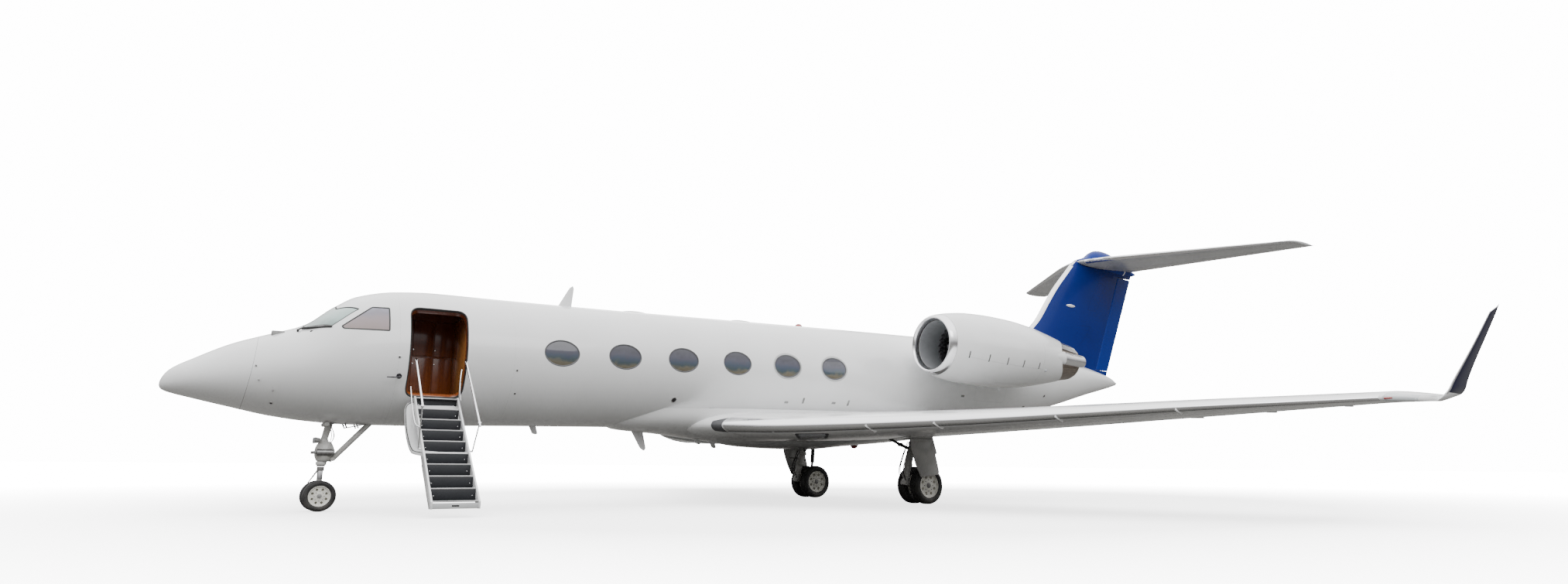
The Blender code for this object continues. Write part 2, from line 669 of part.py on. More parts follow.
WINGLET_SPINE = ((0.0, 0.0), (0.075, 0.05), (0.135, 0.15), (0.19, 0.32), (0.40, 0.86), (0.63, 1.47))
WINGLET_LEADING = ((0.0, WINGLET_FRONT), (0.09, 16.43), (0.17, 16.49), (0.35, 16.60), (0.90, 16.89),
                   (1.55, 17.19))
WINGLET_TRAILING = ((0.0, WINGLET_BACK), (0.35, 17.16), (1.55, 17.46))


def make_winglet(side, word):
    """A winglet that bends up from the wing's tip face and leans outward."""
    front, back = wing_edges(WING_TIP)
    base = (line_value(WING_LEADING_HEIGHT, WING_TIP) + line_value(WING_TRAILING_HEIGHT, WING_TIP)) / 2
    rings = []
    run = 0.0
    for i, (out, up) in enumerate(WINGLET_SPINE):
        if i:
            before = WINGLET_SPINE[i - 1]
            run += math.hypot(out - before[0], up - before[1])
        if i == 0:
            lean = 0.0
        else:
            after = WINGLET_SPINE[min(i + 1, len(WINGLET_SPINE) - 1)]
            before = WINGLET_SPINE[i - 1]
            lean = math.atan2(after[1] - before[1], after[0] - before[0])

        def place(station, across, out=out, up=up, lean=lean):
            slope = (line_value(WING_TRAILING_HEIGHT, WING_TIP) - line_value(WING_LEADING_HEIGHT, WING_TIP))
            tilt = slope * ((station - front) / (back - front) - 0.5) * math.cos(lean)
            return Vector((x_of(station), side * (WING_TIP + FIT + out - across * math.sin(lean)),
                           base + up + tilt + across * math.cos(lean)))

        thickness = wing_thickness(WING_TIP) if i < 2 else 0.085
        camber = WING_CAMBER if i < 2 else 0.0
        rings.append(section_ring(place, line_value(WINGLET_LEADING, run), line_value(WINGLET_TRAILING, run),
                                  thickness, 1.0, camber))
    loft(f"winglet_{word}", rings, "navy_paint")


FAIRING_BOTTOM = ((7.35, 1.62), (7.7, 1.50), (8.6, 1.440), (9.46, 1.355), (10.0, 1.300), (10.7, 1.205),
                  (11.5, 1.172), (12.3, 1.168), (13.3, 1.250), (14.2, 1.325), (15.2, 1.42), (16.2, 1.60),
                  (17.2, 1.95))
FAIRING_SIDE = ((7.35, 0.45), (8.2, 0.80), (9.2, 1.12), (10.2, 1.26), (13.5, 1.27), (15.0, 1.10),
                (16.2, 0.75),
                (17.2, 0.35))


def fairing_ring(station, grow=0.0):
    """The belly fairing's outline, whose upper part lies inside the fuselage."""
    bottom = line_value(FAIRING_BOTTOM, station) - grow
    side = line_value(FAIRING_SIDE, station) + grow
    waist = 1.95 + ATTITUDE * (station - 10)
    points = []
    sides = 16
    for i in range(sides + 1):
        angle = math.pi * i / sides
        across, down = math.cos(angle), math.sin(angle)
        across = math.copysign(abs(across) ** 0.8, across)
        down = down ** 0.75
        points.append(Vector((x_of(station), side * across, waist - (waist - bottom) * down)))
    points.append(Vector((x_of(station), -side * 0.55, waist + 0.35)))
    points.append(Vector((x_of(station), side * 0.55, waist + 0.35)))
    return points


def make_fairing():
    """The belly fairing that houses the wing's centre, and the solid that trims the wings."""
    stations = between(7.35, 17.2, 0.76)
    fairing = loft("belly_fairing", [fairing_ring(s) for s in stations], "white_paint")
    shape_with(fairing, bpy.data.objects["outside_plus_fit"])
    loft("fairing_plus_fit", [fairing_ring(s, FIT) for s in stations])


def fin_edges(z):
    """Front station, rudder hinge station and back station of the fin at a height."""
    back = RUDDER_BACK_AT[1] + RUDDER_BACK_SLOPE * (z - RUDDER_BACK_AT[0])
    split = RUDDER_FRONT_AT[1] + RUDDER_FRONT_SLOPE * (z - RUDDER_FRONT_AT[0])
    return line_value(FIN_LEADING, z), split, back


def fin_place(z):
    """A function that puts a section's (station, offset to starboard) at a height on the fin."""
    def place(station, across):
        return Vector((x_of(station), across, z))
    return place


def rudder_hinge(z):
    """Chord fraction of the rudder's hinge and its nose radius at a height."""
    front, split, back = fin_edges(z)
    hinge = (split + 0.05 - front) / (back - front)
    return hinge, section_half_thickness(hinge, fin_thickness(z)) * (back - front)


def fin_thickness(z):
    """Thickness over chord of the fin, thin where the dorsal fillet lengthens it."""
    return line_value(((3.6, 0.045), (4.4, 0.065), (5.2, 0.085), (6.9, 0.10)), z)


def make_fin():
    """The fin with its dorsal fillet, and the rudder behind it."""
    body = bpy.data.objects["outside_plus_fit"]
    rings = []
    low, high = RUDDER_BOTTOM - RUDDER_END_GAP, RUDDER_TOP + RUDDER_END_GAP
    for z in (3.45, low - 0.0008, low, 3.9, 4.15, 4.43, 4.65, 4.96, 5.6, 6.2, 6.6, high, high + 0.0008,
              FIN_TOP):
        front, split, back = fin_edges(z)
        hinge, nose = rudder_hinge(z)
        cut = hinge - (nose + HINGE_GAP) / (back - front) if low <= z <= high else 1.0
        rings.append(section_ring(fin_place(z), front, back, fin_thickness(z), cut))
    fin = loft("fin", rings, "blue_paint")
    shape_with(fin, body)
    rudder_rings = []
    for z in (RUDDER_BOTTOM, 4.6, 5.6, RUDDER_TOP):
        front, split, back = fin_edges(z)
        rudder_rings.append(control_ring(fin_place(z), front, back, fin_thickness(z), rudder_hinge(z)[0]))
    rudder = loft("rudder", rudder_rings, "blue_paint")
    ends = []
    for z in (RUDDER_BOTTOM, RUDDER_TOP):
        front, split, back = fin_edges(z)
        ends.append(fin_place(z)(front + (back - front) * rudder_hinge(z)[0], 0.0))
    pivot_at(rudder, ends[0])
    end_pins(rudder, "rudder", ends[0], ends[1], RUDDER_END_GAP)


def stab_edges(y):
    """Front and back stations of the stabilizer at a distance from the centre."""
    share = max(0.0, (abs(y) - STAB_ROOT_Y) / (STAB_HALF_SPAN - STAB_ROOT_Y))
    return (STAB_ROOT_FRONT + (STAB_TIP_FRONT - STAB_ROOT_FRONT) * share,
            STAB_ROOT_BACK + (STAB_TIP_BACK - STAB_ROOT_BACK) * share)


def stab_place(y):
    """A function that puts a section's (station, height) at a span place on the stabilizer."""
    share = abs(y) / STAB_HALF_SPAN
    height = STAB_ROOT_HEIGHT + (STAB_TIP_HEIGHT - STAB_ROOT_HEIGHT) * share

    def place(station, across):
        return Vector((x_of(station), y, height + across))

    return place


STAB_THICKNESS = 0.085


def elevator_nose(y):
    """The nose radius of an elevator at a distance from the centre."""
    front, back = stab_edges(y)
    return section_half_thickness(ELEVATOR_HINGE, STAB_THICKNESS) * (back - front)


def stab_ring(y, cut):
    """The stabilizer's section at a span place, whole or cut ahead of its elevator."""
    front, back = stab_edges(y)
    end = ELEVATOR_HINGE - (elevator_nose(y) + HINGE_GAP) / (back - front) if cut else 1.0
    return section_ring(stab_place(y), front, back, STAB_THICKNESS, end)


ELEVATOR_END_GAP = 0.025


def make_stabilizer():
    """The one-piece stabilizer on the fin, its two elevators, and the bullet where they meet."""
    inner, outer = ELEVATOR_SPAN
    step = 0.0008
    half = [(STAB_HALF_SPAN, False), (4.72, False), (outer + step, False), (outer, True), (2.2, True),
            (inner, True),
            (inner - step, False), (0.15, False)]
    stations = [(-y, cut) for y, cut in half] + [(y, cut) for y, cut in half[::-1]]
    rings = [stab_ring(y, cut) for y, cut in stations]
    stabilizer = loft("stabilizer", rings, "grey_paint")
    fin_top = []
    for z in (6.5, FIN_TOP + FIT):
        front, split, back = fin_edges(z)
        grown = fin_place(z)
        fin_top.append(section_ring(lambda s, a, put=grown: put(s, a * 1.01 + math.copysign(FIT, a)),
                                    front - 0.003,
                                    back, fin_thickness(z), 1.0))
    shape_with(stabilizer, loft("fin_top_plus_fit", fin_top))
    for side, word in SIDES:
        rings = []
        start, end = inner + ELEVATOR_END_GAP, outer - ELEVATOR_END_GAP
        for y in (start, 2.2, end):
            front, back = stab_edges(y)
            rings.append(control_ring(stab_place(side * y), front, back, STAB_THICKNESS, ELEVATOR_HINGE))
        elevator = loft(f"elevator_{word}", rings, "grey_paint")
        ends = []
        for y in (start, end):
            front, back = stab_edges(y)
            ends.append(stab_place(side * y)(front + (back - front) * ELEVATOR_HINGE, 0.0))
        pivot_at(elevator, ends[0])
        end_pins(elevator, f"elevator_{word}", ends[0], ends[1], ELEVATOR_END_GAP)
    make_bullet()


BULLET_TOP = ((22.30, 7.06), (22.42, 7.22), (22.75, 7.40), (23.3, 7.50), (23.9, 7.44), (24.5, 7.26),
              (25.2, 7.05),
              (25.45, 6.98))
BULLET_BOTTOM = ((22.30, 7.02), (22.42, 6.93), (22.75, 6.86), (23.3, 6.83), (24.4, 6.80), (25.2, 6.85),
                 (25.45, 6.92))
BULLET_SIDE = ((22.30, 0.02), (22.42, 0.11), (22.75, 0.19), (23.3, 0.235), (24.2, 0.225), (25.0, 0.12),
               (25.45, 0.03))


def make_bullet():
    """The bullet fairing over the joint of fin and stabilizer."""
    rings = []
    for station in (22.30, 22.35, 22.42, 22.56, 22.75, 23.1, 23.5, 24.0, 24.5, 25.0, 25.45):
        top, bottom = line_value(BULLET_TOP, station), line_value(BULLET_BOTTOM, station)
        side = line_value(BULLET_SIDE, station)
        middle = (top + bottom) / 2
        ring = []
        sides = 12
        for i in range(sides):
            angle = 2 * math.pi * i / sides
            ring.append(Vector((x_of(station), side * math.sin(angle),
                                middle + (top - middle) * math.cos(angle))))
        rings.append(ring)
    bullet = loft("tail_bullet", rings, "blue_paint")
    reach = 0.42
    grown = []
    for y in (-reach, -0.15, 0.15, reach):
        front, back = stab_edges(y)
        put = stab_place(y)
        grown.append(section_ring(lambda s, a, put=put: put(s, a * 1.01 + math.copysign(FIT, a)),
                                  front - 0.003,
                                  back + 0.003, STAB_THICKNESS, 1.0))
    shape_with(bullet, loft("stab_root_plus_fit", grown))
    shape_with(bullet, bpy.data.objects["fin_top_plus_fit"])


# Engines

def engine_frame(side):
    """A frame at the intake's centre, its Z pointing forward along the engine."""
    forward = Vector((-1, 0, -ENGINE_SLOPE)).normalized()
    across = Vector((0, 1, 0))
    up = forward.cross(across)
    frame = Matrix((across, up, forward)).transposed().to_4x4()
    frame.translation = (x_of(INTAKE_STATION), side * ENGINE_Y, INTAKE_HEIGHT)
    return frame


def make_engines():
    """Each engine's intake lip, cowl, fan, core, nozzle and the pylon that carries it."""
    body = bpy.data.objects["outside_plus_fit"]
    for side, word in SIDES:
        frame = engine_frame(side)
        lip = [(-0.41 + FIT, THROAT), (-0.2, THROAT)] + [(-back, radius) for back, radius in LIP_PROFILE]
        lip[-1] = (-0.41 + FIT, LIP_PROFILE[-1][1])
        turned(f"intake_lip_{word}", lip, frame, "polished_metal", closed=True)
        cowl = [(-back, radius) for back, radius in NACELLE_OUTSIDE + NACELLE_INSIDE]
        turned(f"nacelle_{word}", cowl, frame, "white_paint", closed=True)
        make_fan(frame, word)
        make_core(frame, word)
        make_nozzle(frame, word)
        make_pylon(side, word, frame, body)


def blade_skin(bm, rows):
    """Triangles between a blade's four-cornered sections, folded the same way on both of its faces."""
    for first, second in zip(rows, rows[1:]):
        for i in range(3):
            bm.faces.new((first[i], first[i + 1], second[i + 1]))
            bm.faces.new((first[i], second[i + 1], second[i]))
        bm.faces.new((first[3], first[0], second[3]))
        bm.faces.new((first[0], second[0], second[3]))


def make_fan(frame, word):
    """A spinner with twisted blades, drawn as one closed skin that turns on the core's front."""
    bm = bmesh.new()
    sectors = 2 * BLADES
    rings = []
    for height, radius in SPINNER_PROFILE:
        turns = [2 * math.pi * (i + BLADE_TURN) / sectors for i in range(sectors)]
        rings.append([bm.verts.new((radius * math.cos(t), radius * math.sin(t), height - FAN_STATION))
                      for t in turns])
    nose = bm.verts.new((0.0, 0.0, SPINNER_NOSE - FAN_STATION))
    heel = bm.verts.new((0.0, 0.0, SPINNER_PROFILE[-1][0] - FAN_STATION))
    for i in range(sectors):
        j = (i + 1) % sectors
        bm.faces.new((nose, rings[0][i], rings[0][j]))
        bm.faces.new((heel, rings[-1][j], rings[-1][i]))
    root_front, root_back = rings[-3], rings[-2]
    skin(bm, rings[:-2])
    skin(bm, rings[-2:])
    for i in range(sectors):
        j = (i + 1) % sectors
        root = [root_front[i], root_front[j], root_back[j], root_back[i]]
        if i % 2:
            bm.faces.new(root[:3])
            bm.faces.new((root[0], root[2], root[3]))
            continue
        turn = Matrix.Rotation(2 * math.pi * (i + BLADE_TURN + 0.5) / sectors, 4, 'Z')
        rows = [root]
        for radius, chord, stagger, thick in BLADE_SECTIONS:
            lean = math.radians(stagger)
            row = []
            for along, across in ((0.5, -0.5), (0.5, 0.5), (-0.5, 0.5), (-0.5, -0.5)):
                y = along * chord * math.sin(lean) + across * thick * math.cos(lean)
                z = along * chord * math.cos(lean) - across * thick * math.sin(lean)
                row.append(bm.verts.new(turn @ Vector((radius, y, z + BLADE_MIDDLE - FAN_STATION))))
            rows.append(row)
        blade_skin(bm, rows)
        bm.faces.new(rows[-1])
    fan = finish_mesh(f"fan_{word}", bm, "dark_metal")
    fan.matrix_world = frame


def make_core(frame, word):
    """The engine's core as one plain block, held in the cowl by four vanes."""
    start, end = -FAN_STATION - 0.141, -3.75
    core = [(start, 0.0), (start, 0.20), (start - 0.3, 0.40), (-3.0, 0.38), (end, 0.10), (end, 0.0)]
    engine = turned(f"engine_{word}", core, frame, "dark_metal", steps=24)
    vane_at = 1.5
    inside = 0.58 + (0.60 - 0.58) * (vane_at - 1.0) / 2
    for quarter in range(4):
        angle = math.pi / TURN_STEPS + quarter * math.pi / 2
        reach = inside * math.cos(math.pi / TURN_STEPS) - 2 * FIT
        slope = 0.01
        along = 0.10
        outline = [(0.30, -0.02, -vane_at + along), (reach - slope * along, -0.02, -vane_at + along),
                   (reach - slope * along, -0.02, -vane_at - along), (0.30, -0.02, -vane_at - along)]
        vane = prism(f"vane_{word}_{quarter}", outline, (0, 0, 0), (0, 0.04, 0))
        vane.matrix_world = frame @ Matrix.Rotation(angle, 4, 'Z')
        shape_with(engine, vane, 'UNION')


def make_nozzle(frame, word):
    """The polished nozzle behind the cowl, with the two side fairings of its reverser."""
    back, end = 4.45 + FIT, 5.12
    nozzle = turned(f"nozzle_{word}", [(-back, 0.478), (-4.8, 0.435), (-end, 0.375), (-end, 0.355),
                                       (-4.8, 0.405),
                                       (-back, 0.440)], frame, "polished_metal", closed=True, steps=24)
    fairings = []
    for hand in (-1, 1):
        outline = []
        for i in range(12):
            angle = 2 * math.pi * i / 12
            outline.append((hand * 0.45 + 0.075 * math.cos(angle), 0.14 * math.sin(angle), -back))
        fairings.append(prism(f"reverser_fairing_{word}_{hand}", outline, (0, 0, 0),
                              (-hand * 0.03, 0, back - 5.28)))
        fairings[-1].matrix_world = frame
    join_all(nozzle, fairings)


def make_pylon(side, word, frame, body):
    """A flat strut from the fuselage's side to the cowl."""
    rings = []
    for y, front, back in ((0.70, 15.35, 18.75), (1.9, 15.55, 18.35)):
        height = INTAKE_HEIGHT + ENGINE_SLOPE * (16.8 - INTAKE_STATION)

        def place(station, across, y=y, height=height):
            return Vector((x_of(station), side * y, height + across))

        rings.append(section_ring(place, front, back, 0.085))
    pylon = loft(f"pylon_{word}", rings, "white_paint")
    shape_with(pylon, body)
    grown = [(-0.41, 0.0)] + [(-back, radius + FIT) for back, radius in NACELLE_OUTSIDE] + [(-4.45, 0.0)]
    shape_with(pylon, turned(f"cowl_plus_fit_{word}", grown, frame))


# Landing gear

def wheel_profile(radius, width, twin, rim, hub, axle):
    """The turned profile of two wheels on one axle, from one end of the axle to the other."""
    half = width / 2
    outer = twin + half
    first = [(outer - 0.02, 0.0), (outer - 0.035, rim * 0.9), (outer - 0.008, rim),
             (outer, (radius + rim) / 2),
             (outer - 0.18 * width, radius * 0.975), (twin + 0.12 * width, radius),
             (twin - 0.12 * width, radius),
             (twin - half + 0.18 * width, radius * 0.975), (twin - half, (radius + rim) / 2),
             (twin - half + 0.012, rim), (twin - half + 0.035, hub), (twin - half + 0.035, axle)]
    second = [(-height, r) for height, r in first[::-1]]
    return first + second


def wheel_frame(station, y, height):
    """A frame on an axle, its Z to starboard, turned so that a flat of the tyre is lowest."""
    frame = Matrix.Rotation(-math.pi / 2, 4, 'X') @ Matrix.Rotation(math.pi / WHEEL_STEPS, 4, 'Z')
    return Matrix.Translation((x_of(station), y, height)) @ frame


def axle_height(radius):
    """Axle height at which the flats of a turned tyre rest on the ground."""
    return radius * math.cos(math.pi / WHEEL_STEPS)


def bore_radius(axle):
    """Corner radius of a bore whose flats just clear an axle's corners."""
    return (axle + AXLE_PLAY) / math.cos(math.pi / WHEEL_STEPS)


def make_nose_gear():
    """The nose leg with its drag brace, the steered fork with its axle housing, and the twin wheels."""
    body = bpy.data.objects["outside_plus_fit"]
    station = x_of(NOSE_GEAR_STATION)
    axle = axle_height(NOSE_TYRE_RADIUS)
    split = 0.74
    leg = rod("nose_gear_leg", (station, 0, split), (station, 0, 1.62), 0.065, "bare_metal", sides=12)
    brace = rod("nose_brace", (station, 0, 0.92), (x_of(3.16), 0, 1.60), 0.032)
    collar = rod("nose_collar", (station, 0, 0.90), (station, 0, 1.04), 0.105, sides=12)
    cross = rod("nose_trunnion", (station + 0.02, -0.26, 1.44), (station + 0.02, 0.26, 1.44), 0.035)
    link = block("nose_brace_head", (x_of(2.98), -0.10, 1.38), (x_of(3.06), 0.10, 1.60))
    actuators = [rod(f"nose_actuator_{word}", (station + 0.02, side * 0.10, 0.97),
                     (station + 0.20, side * 0.10, 0.97), 0.035, sides=10) for side, word in SIDES]
    join_all(leg, (brace, collar, cross, link, *actuators))
    shape_with(leg, body)
    fork = rod("nose_fork", (station, 0, axle), (station, 0, split - FIT), 0.045, "bare_metal", sides=12)
    housing = rod("nose_axle_housing", (station, -0.075, axle), (station, 0.075, axle), 0.055, sides=12)
    links = [block("nose_torque_link_low", (station - 0.17, -0.03, axle + 0.02),
                   (station, 0.03, axle + 0.06)),
             rod("nose_torque_link", (station - 0.16, 0, axle + 0.04), (station - 0.03, 0, 0.64), 0.022,
                 sides=8)]
    pivot_at(fork, (station, 0, axle))
    join_all(fork, (housing, *links))
    bore = rod("nose_axle_bore", (station, -0.5, axle), (station, 0.5, axle), bore_radius(NOSE_AXLE),
               sides=WHEEL_STEPS)
    shape_with(fork, bore)
    profile = wheel_profile(NOSE_TYRE_RADIUS, NOSE_TYRE_WIDTH, NOSE_TWIN, 0.14, 0.07, NOSE_AXLE)
    turned("nose_wheels", profile, wheel_frame(NOSE_GEAR_STATION, 0, axle), "tyre", steps=WHEEL_STEPS)


def wing_with_fit(name, side):
    """The wing's outer shape near the gear, grown so that what meets it stops short."""
    rings = []
    for y in (1.3, 1.7, 2.1, 2.6, 3.0):
        front, back = wing_edges(y)
        put = wing_place(y, side)
        rings.append(section_ring(lambda s, a, put=put: put(s, a + math.copysign(2 * FIT, a)), front - 0.001,
                                  back + 0.001, wing_thickness(y), 1.0, WING_CAMBER))
    return loft(name, rings)


def make_main_gear():
    """Each main leg with its side brace, the door plate that hangs on it, and the twin wheels."""
    axle = axle_height(MAIN_TYRE_RADIUS)
    station = x_of(MAIN_GEAR_STATION)
    for side, word in SIDES:
        wing = wing_with_fit(f"wing_plus_fit_{word}", side)
        y = side * MAIN_TRACK
        top = station - 0.25
        leg = rod(f"main_gear_leg_{word}", (station, y, axle), (top, y, 1.50), 0.062, "bare_metal", sides=12)
        sleeve = rod(f"main_sleeve_{word}", (station - 0.105, y, 0.86), (top, y, 1.50), 0.085, sides=12)
        brace = rod(f"main_brace_{word}", (station - 0.17, y, 1.12), (station - 0.40, side * 1.45, 1.46),
                    0.035)
        housing = rod(f"main_axle_housing_{word}", (station, y - 0.07, axle), (station, y + 0.07, axle), 0.08)
        elbow = (station + 0.17, y, 0.68)
        arm = rod(f"main_torque_link_{word}", (station + 0.03, y, axle + 0.06), elbow, 0.028, sides=8)
        arm_top = rod(f"main_torque_link_top_{word}", elbow, (station - 0.10, y, 0.90), 0.028, sides=8)
        lug = block(f"main_door_lug_{word}", (station - 0.20, min(y, side * 2.4595), 1.10),
                    (station - 0.10, max(y, side * 2.4595), 1.15))
        join_all(leg, (sleeve, brace, housing, arm, arm_top, lug))
        bore = rod(f"main_axle_bore_{word}", (station, y - 0.5, axle), (station, y + 0.5, axle),
                   bore_radius(MAIN_AXLE), sides=WHEEL_STEPS)
        shape_with(leg, bore)
        shape_with(leg, wing)
        shape_with(leg, bpy.data.objects["fairing_plus_fit"])
        outline = [(x_of(s), 0.0, z) for s, z in ((13.42, 1.50), (13.46, 1.15), (13.565, 0.85),
                                                  (13.71, 0.565),
                                                 (14.24, 0.62), (14.25, 0.70), (14.15, 1.06), (14.20, 1.08),
                                                 (14.08, 1.42), (14.08, 1.50))]
        door = prism(f"main_gear_door_{word}", outline, (0, side * 2.46, 0), (0, side * 0.03, 0),
                     "white_paint")
        shape_with(door, wing)
        profile = wheel_profile(MAIN_TYRE_RADIUS, MAIN_TYRE_WIDTH, MAIN_TWIN, 0.215, 0.10, MAIN_AXLE)
        turned(f"main_wheels_{word}", profile, wheel_frame(MAIN_GEAR_STATION, y, axle), "tyre",
               steps=WHEEL_STEPS)


# Airstair, rails and antennas

def stair_point(steps):
    """Y and Z of the nosing after a number of steps down from the sill."""
    return STAIR_START_Y - TREAD * steps, STAIR_START_Z - RISER * steps


def stair_flight(name, first, last, finish, short=0.0):
    """Treads and risers between two stringers, as one body; short leaves a gap at its foot."""
    start_y, start_z = stair_point(first)
    end_y, end_z = stair_point(last)
    outline = [(0, start_y, start_z)] if first else []
    for step in range(first + 1, last + 1):
        inner_y = stair_point(step - 1)[0]
        y, z = stair_point(step)
        outline += [(0, inner_y, z), (0, y + (short if step == last else 0.0), z)]
    deep = RISER + 0.05
    if last == ALL_STEPS:
        outline += [(0, end_y, STAIR_FOOT), (0, end_y + 0.10, STAIR_FOOT)]
    else:
        outline += [(0, end_y + short, end_z - deep)]
    outline += [(0, start_y, start_z - deep)]
    if first:
        outline = outline[1:]
    steps = prism(name, outline, (x_of(STAIR_FRONT), 0, 0), (STAIR_BACK - STAIR_FRONT, 0, 0), finish)
    side = [(0, start_y, start_z + 0.03), (0, end_y + short, end_z + 0.03),
            (0, end_y + short, end_z + 0.03 - 0.25),
            (0, start_y, start_z + 0.03 - 0.25)]
    if last == ALL_STEPS:
        side[1:3] = [(0, end_y - 0.03, end_z), (0, end_y - 0.03, STAIR_FOOT), (0, end_y + 0.10, STAIR_FOOT)]
    for word, station in (("front", STAIR_FRONT - STRINGER), ("back", STAIR_BACK)):
        bar = prism(f"{name}_stringer_{word}", side, (x_of(station) - 0.001, 0, 0), (STRINGER + 0.002, 0, 0))
        shape_with(steps, bar, 'UNION')
    return steps


def make_airstair():
    """The door's curved panel hanging open, the two flights on it and their hand rails."""
    upper = stair_flight("upper_stair", 0, UPPER_STEPS, "rubber_tread", short=2 * FIT)
    stair_flight("lower_stair", UPPER_STEPS, ALL_STEPS, "rubber_tread")
    shape_with(upper, make_door_panel(), 'INTERSECT')
    hinge = prism("sill_hinge", [(0, y, z) for y, z in ((-0.86, 1.892), (-1.10, 1.892), (-1.10, 1.69),
                                                        (-1.07, 1.69),
                                                        (-1.07, 1.873), (-0.86, 1.873))],
                  (x_of(STAIR_FRONT), 0, 0), (STAIR_BACK - STAIR_FRONT, 0, 0))
    shape_with(upper, hinge, 'UNION')
    shape_with(upper, bpy.data.objects["outside_plus_fit"])
    for word, station, points in (
            ("front", 3.535, ((-1.26, 2.47), (-1.95, 1.76), (-1.95, 1.02))),
            ("back", 4.352, ((-1.26, 2.49), (-2.34, 1.45), (-2.02, 0.99)))):
        pieces = []
        for i, (a, b) in enumerate(zip(points, points[1:])):
            pieces.append(rod(f"rail_{word}_{i}", (x_of(station), *a), (x_of(station), *b),
                              0.018 if i == 0 else 0.012,
                              sides=8))
        foot_y, foot_z = points[-1]
        reach = x_of(STAIR_FRONT) if word == "front" else x_of(STAIR_BACK)
        pieces.append(rod(f"rail_foot_{word}", (x_of(station), foot_y, foot_z), (reach, foot_y, foot_z),
                          0.014,
                          sides=8))
        join_all(upper, pieces)


DOOR_OPEN = math.radians(132)


def make_door_panel():
    """The door itself: a piece of the fuselage wall, swung down about its sill edge.

    It also gives the solid inside the door's skin, which the upper flight is kept within.
    """
    clear = 0.008
    band = between(DOOR_FRONT - 0.1, DOOR_BACK + 0.1, 0.6)
    sill_y = -math.sqrt(CABIN_RADIUS ** 2 - (2.665 - SILL_HEIGHT) ** 2)
    hinge = Vector((0, sill_y - 0.012, SILL_HEIGHT - 0.02))
    swing = Matrix.Translation(hinge) @ Matrix.Rotation(DOOR_OPEN, 4, 'X') @ Matrix.Translation(-hinge)
    panel = tube("door_panel", fuselage_rings(band), fuselage_rings(band, DOOR_SKIN), "white_paint")
    outline = rounded_outline(DOOR_FRONT + clear, DOOR_BACK - clear, DOOR_PANEL_FOOT, DOOR_PANEL_TOP,
                              DOOR_CORNER, 0.0)
    trim = prism("door_panel_trim", outline, (0, -1.6, 0), (0, 1.2, 0))
    shape_with(panel, trim, 'INTERSECT')
    hollow = loft("door_hollow", fuselage_rings(band, DOOR_SKIN + FIT))
    for piece in (panel, trim, hollow):
        piece.matrix_world = swing
    return hollow


def make_antennas():
    """The swept blade antennas over the cabin and under the belly."""
    body = bpy.data.objects["outside_plus_fit"]
    top = [(6.33, 3.80), (6.62, 3.80), (6.665, 4.30), (6.63, 4.345), (6.575, 4.33)]
    bottom = [(7.98, 1.62), (8.27, 1.62), (8.39, 1.12), (8.36, 1.085), (8.27, 1.10)]
    for name, outline in (("top_antenna", top), ("belly_antenna", bottom)):
        blade = prism(name, [(x_of(s), 0, z) for s, z in outline], (0, -0.018, 0), (0, 0.036, 0),
                      "white_paint")
        shape_with(blade, body)
        shape_with(blade, bpy.data.objects["fairing_plus_fit"])


for old in list(bpy.data.objects):
    bpy.data.objects.remove(old)
parts = bpy.data.collections.new("business_jet")
cutters = bpy.data.collections.new("cutters")
bpy.context.scene.collection.children.link(parts)
bpy.context.scene.collection.children.link(cutters)

make_fuselage()
cut_doorway()
make_cabin_windows()
make_cockpit_glass()
make_interior()
make_fairing()
make_wings()
make_fin()
make_stabilizer()
make_engines()
make_nose_gear()
make_main_gear()
make_airstair()
make_antennas()
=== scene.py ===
"""A parked business jet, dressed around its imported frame.

Metres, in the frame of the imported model: X runs aft, Y to starboard, Z up, and the ground
is Z = 0. Lengths along the jet are stations, measured aft from the nose tip.
"""

import logging
import math
from collections.abc import Callable, Sequence
from dataclasses import dataclass
from enum import Enum

import bpy
from mathutils import Matrix, Vector


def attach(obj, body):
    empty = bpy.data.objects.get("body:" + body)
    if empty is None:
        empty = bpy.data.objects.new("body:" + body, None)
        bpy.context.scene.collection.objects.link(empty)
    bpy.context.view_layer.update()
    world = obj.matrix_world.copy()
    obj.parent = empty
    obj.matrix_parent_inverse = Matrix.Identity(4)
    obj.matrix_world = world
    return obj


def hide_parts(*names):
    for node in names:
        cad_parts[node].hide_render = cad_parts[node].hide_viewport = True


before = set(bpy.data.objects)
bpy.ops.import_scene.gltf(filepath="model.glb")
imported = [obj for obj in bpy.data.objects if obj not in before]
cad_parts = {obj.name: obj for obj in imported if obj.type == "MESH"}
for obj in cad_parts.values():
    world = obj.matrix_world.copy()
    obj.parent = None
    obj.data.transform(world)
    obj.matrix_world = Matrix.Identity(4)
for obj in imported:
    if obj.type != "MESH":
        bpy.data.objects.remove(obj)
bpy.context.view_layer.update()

LOG = logging.getLogger("jet")
LENGTH = 26.92
PORT, STARBOARD = -1, 1
SIDES = ((PORT, "left"), (STARBOARD, "right"))

Line = Sequence[tuple[float, float]]
Ring = list[Vector]
Outline = list[tuple[float, float]]
Piece = bpy.types.Object


class Body(Enum):
    """The bodies that pieces ride on."""

    AIRFRAME = "airframe"
    NOSE_STEERING = "nose_steering"
    NOSE_WHEELS = "nose_wheel_pair"
    MAIN_WHEELS_LEFT = "main_wheel_pair_left"
    MAIN_WHEELS_RIGHT = "main_wheel_pair_right"
    FAN_LEFT = "fan_rotor_left"
    FAN_RIGHT = "fan_rotor_right"
    RUDDER = "rudder_body"
    ELEVATOR_LEFT = "elevator_body_left"
    ELEVATOR_RIGHT = "elevator_body_right"
    AILERON_LEFT = "aileron_body_left"
    AILERON_RIGHT = "aileron_body_right"


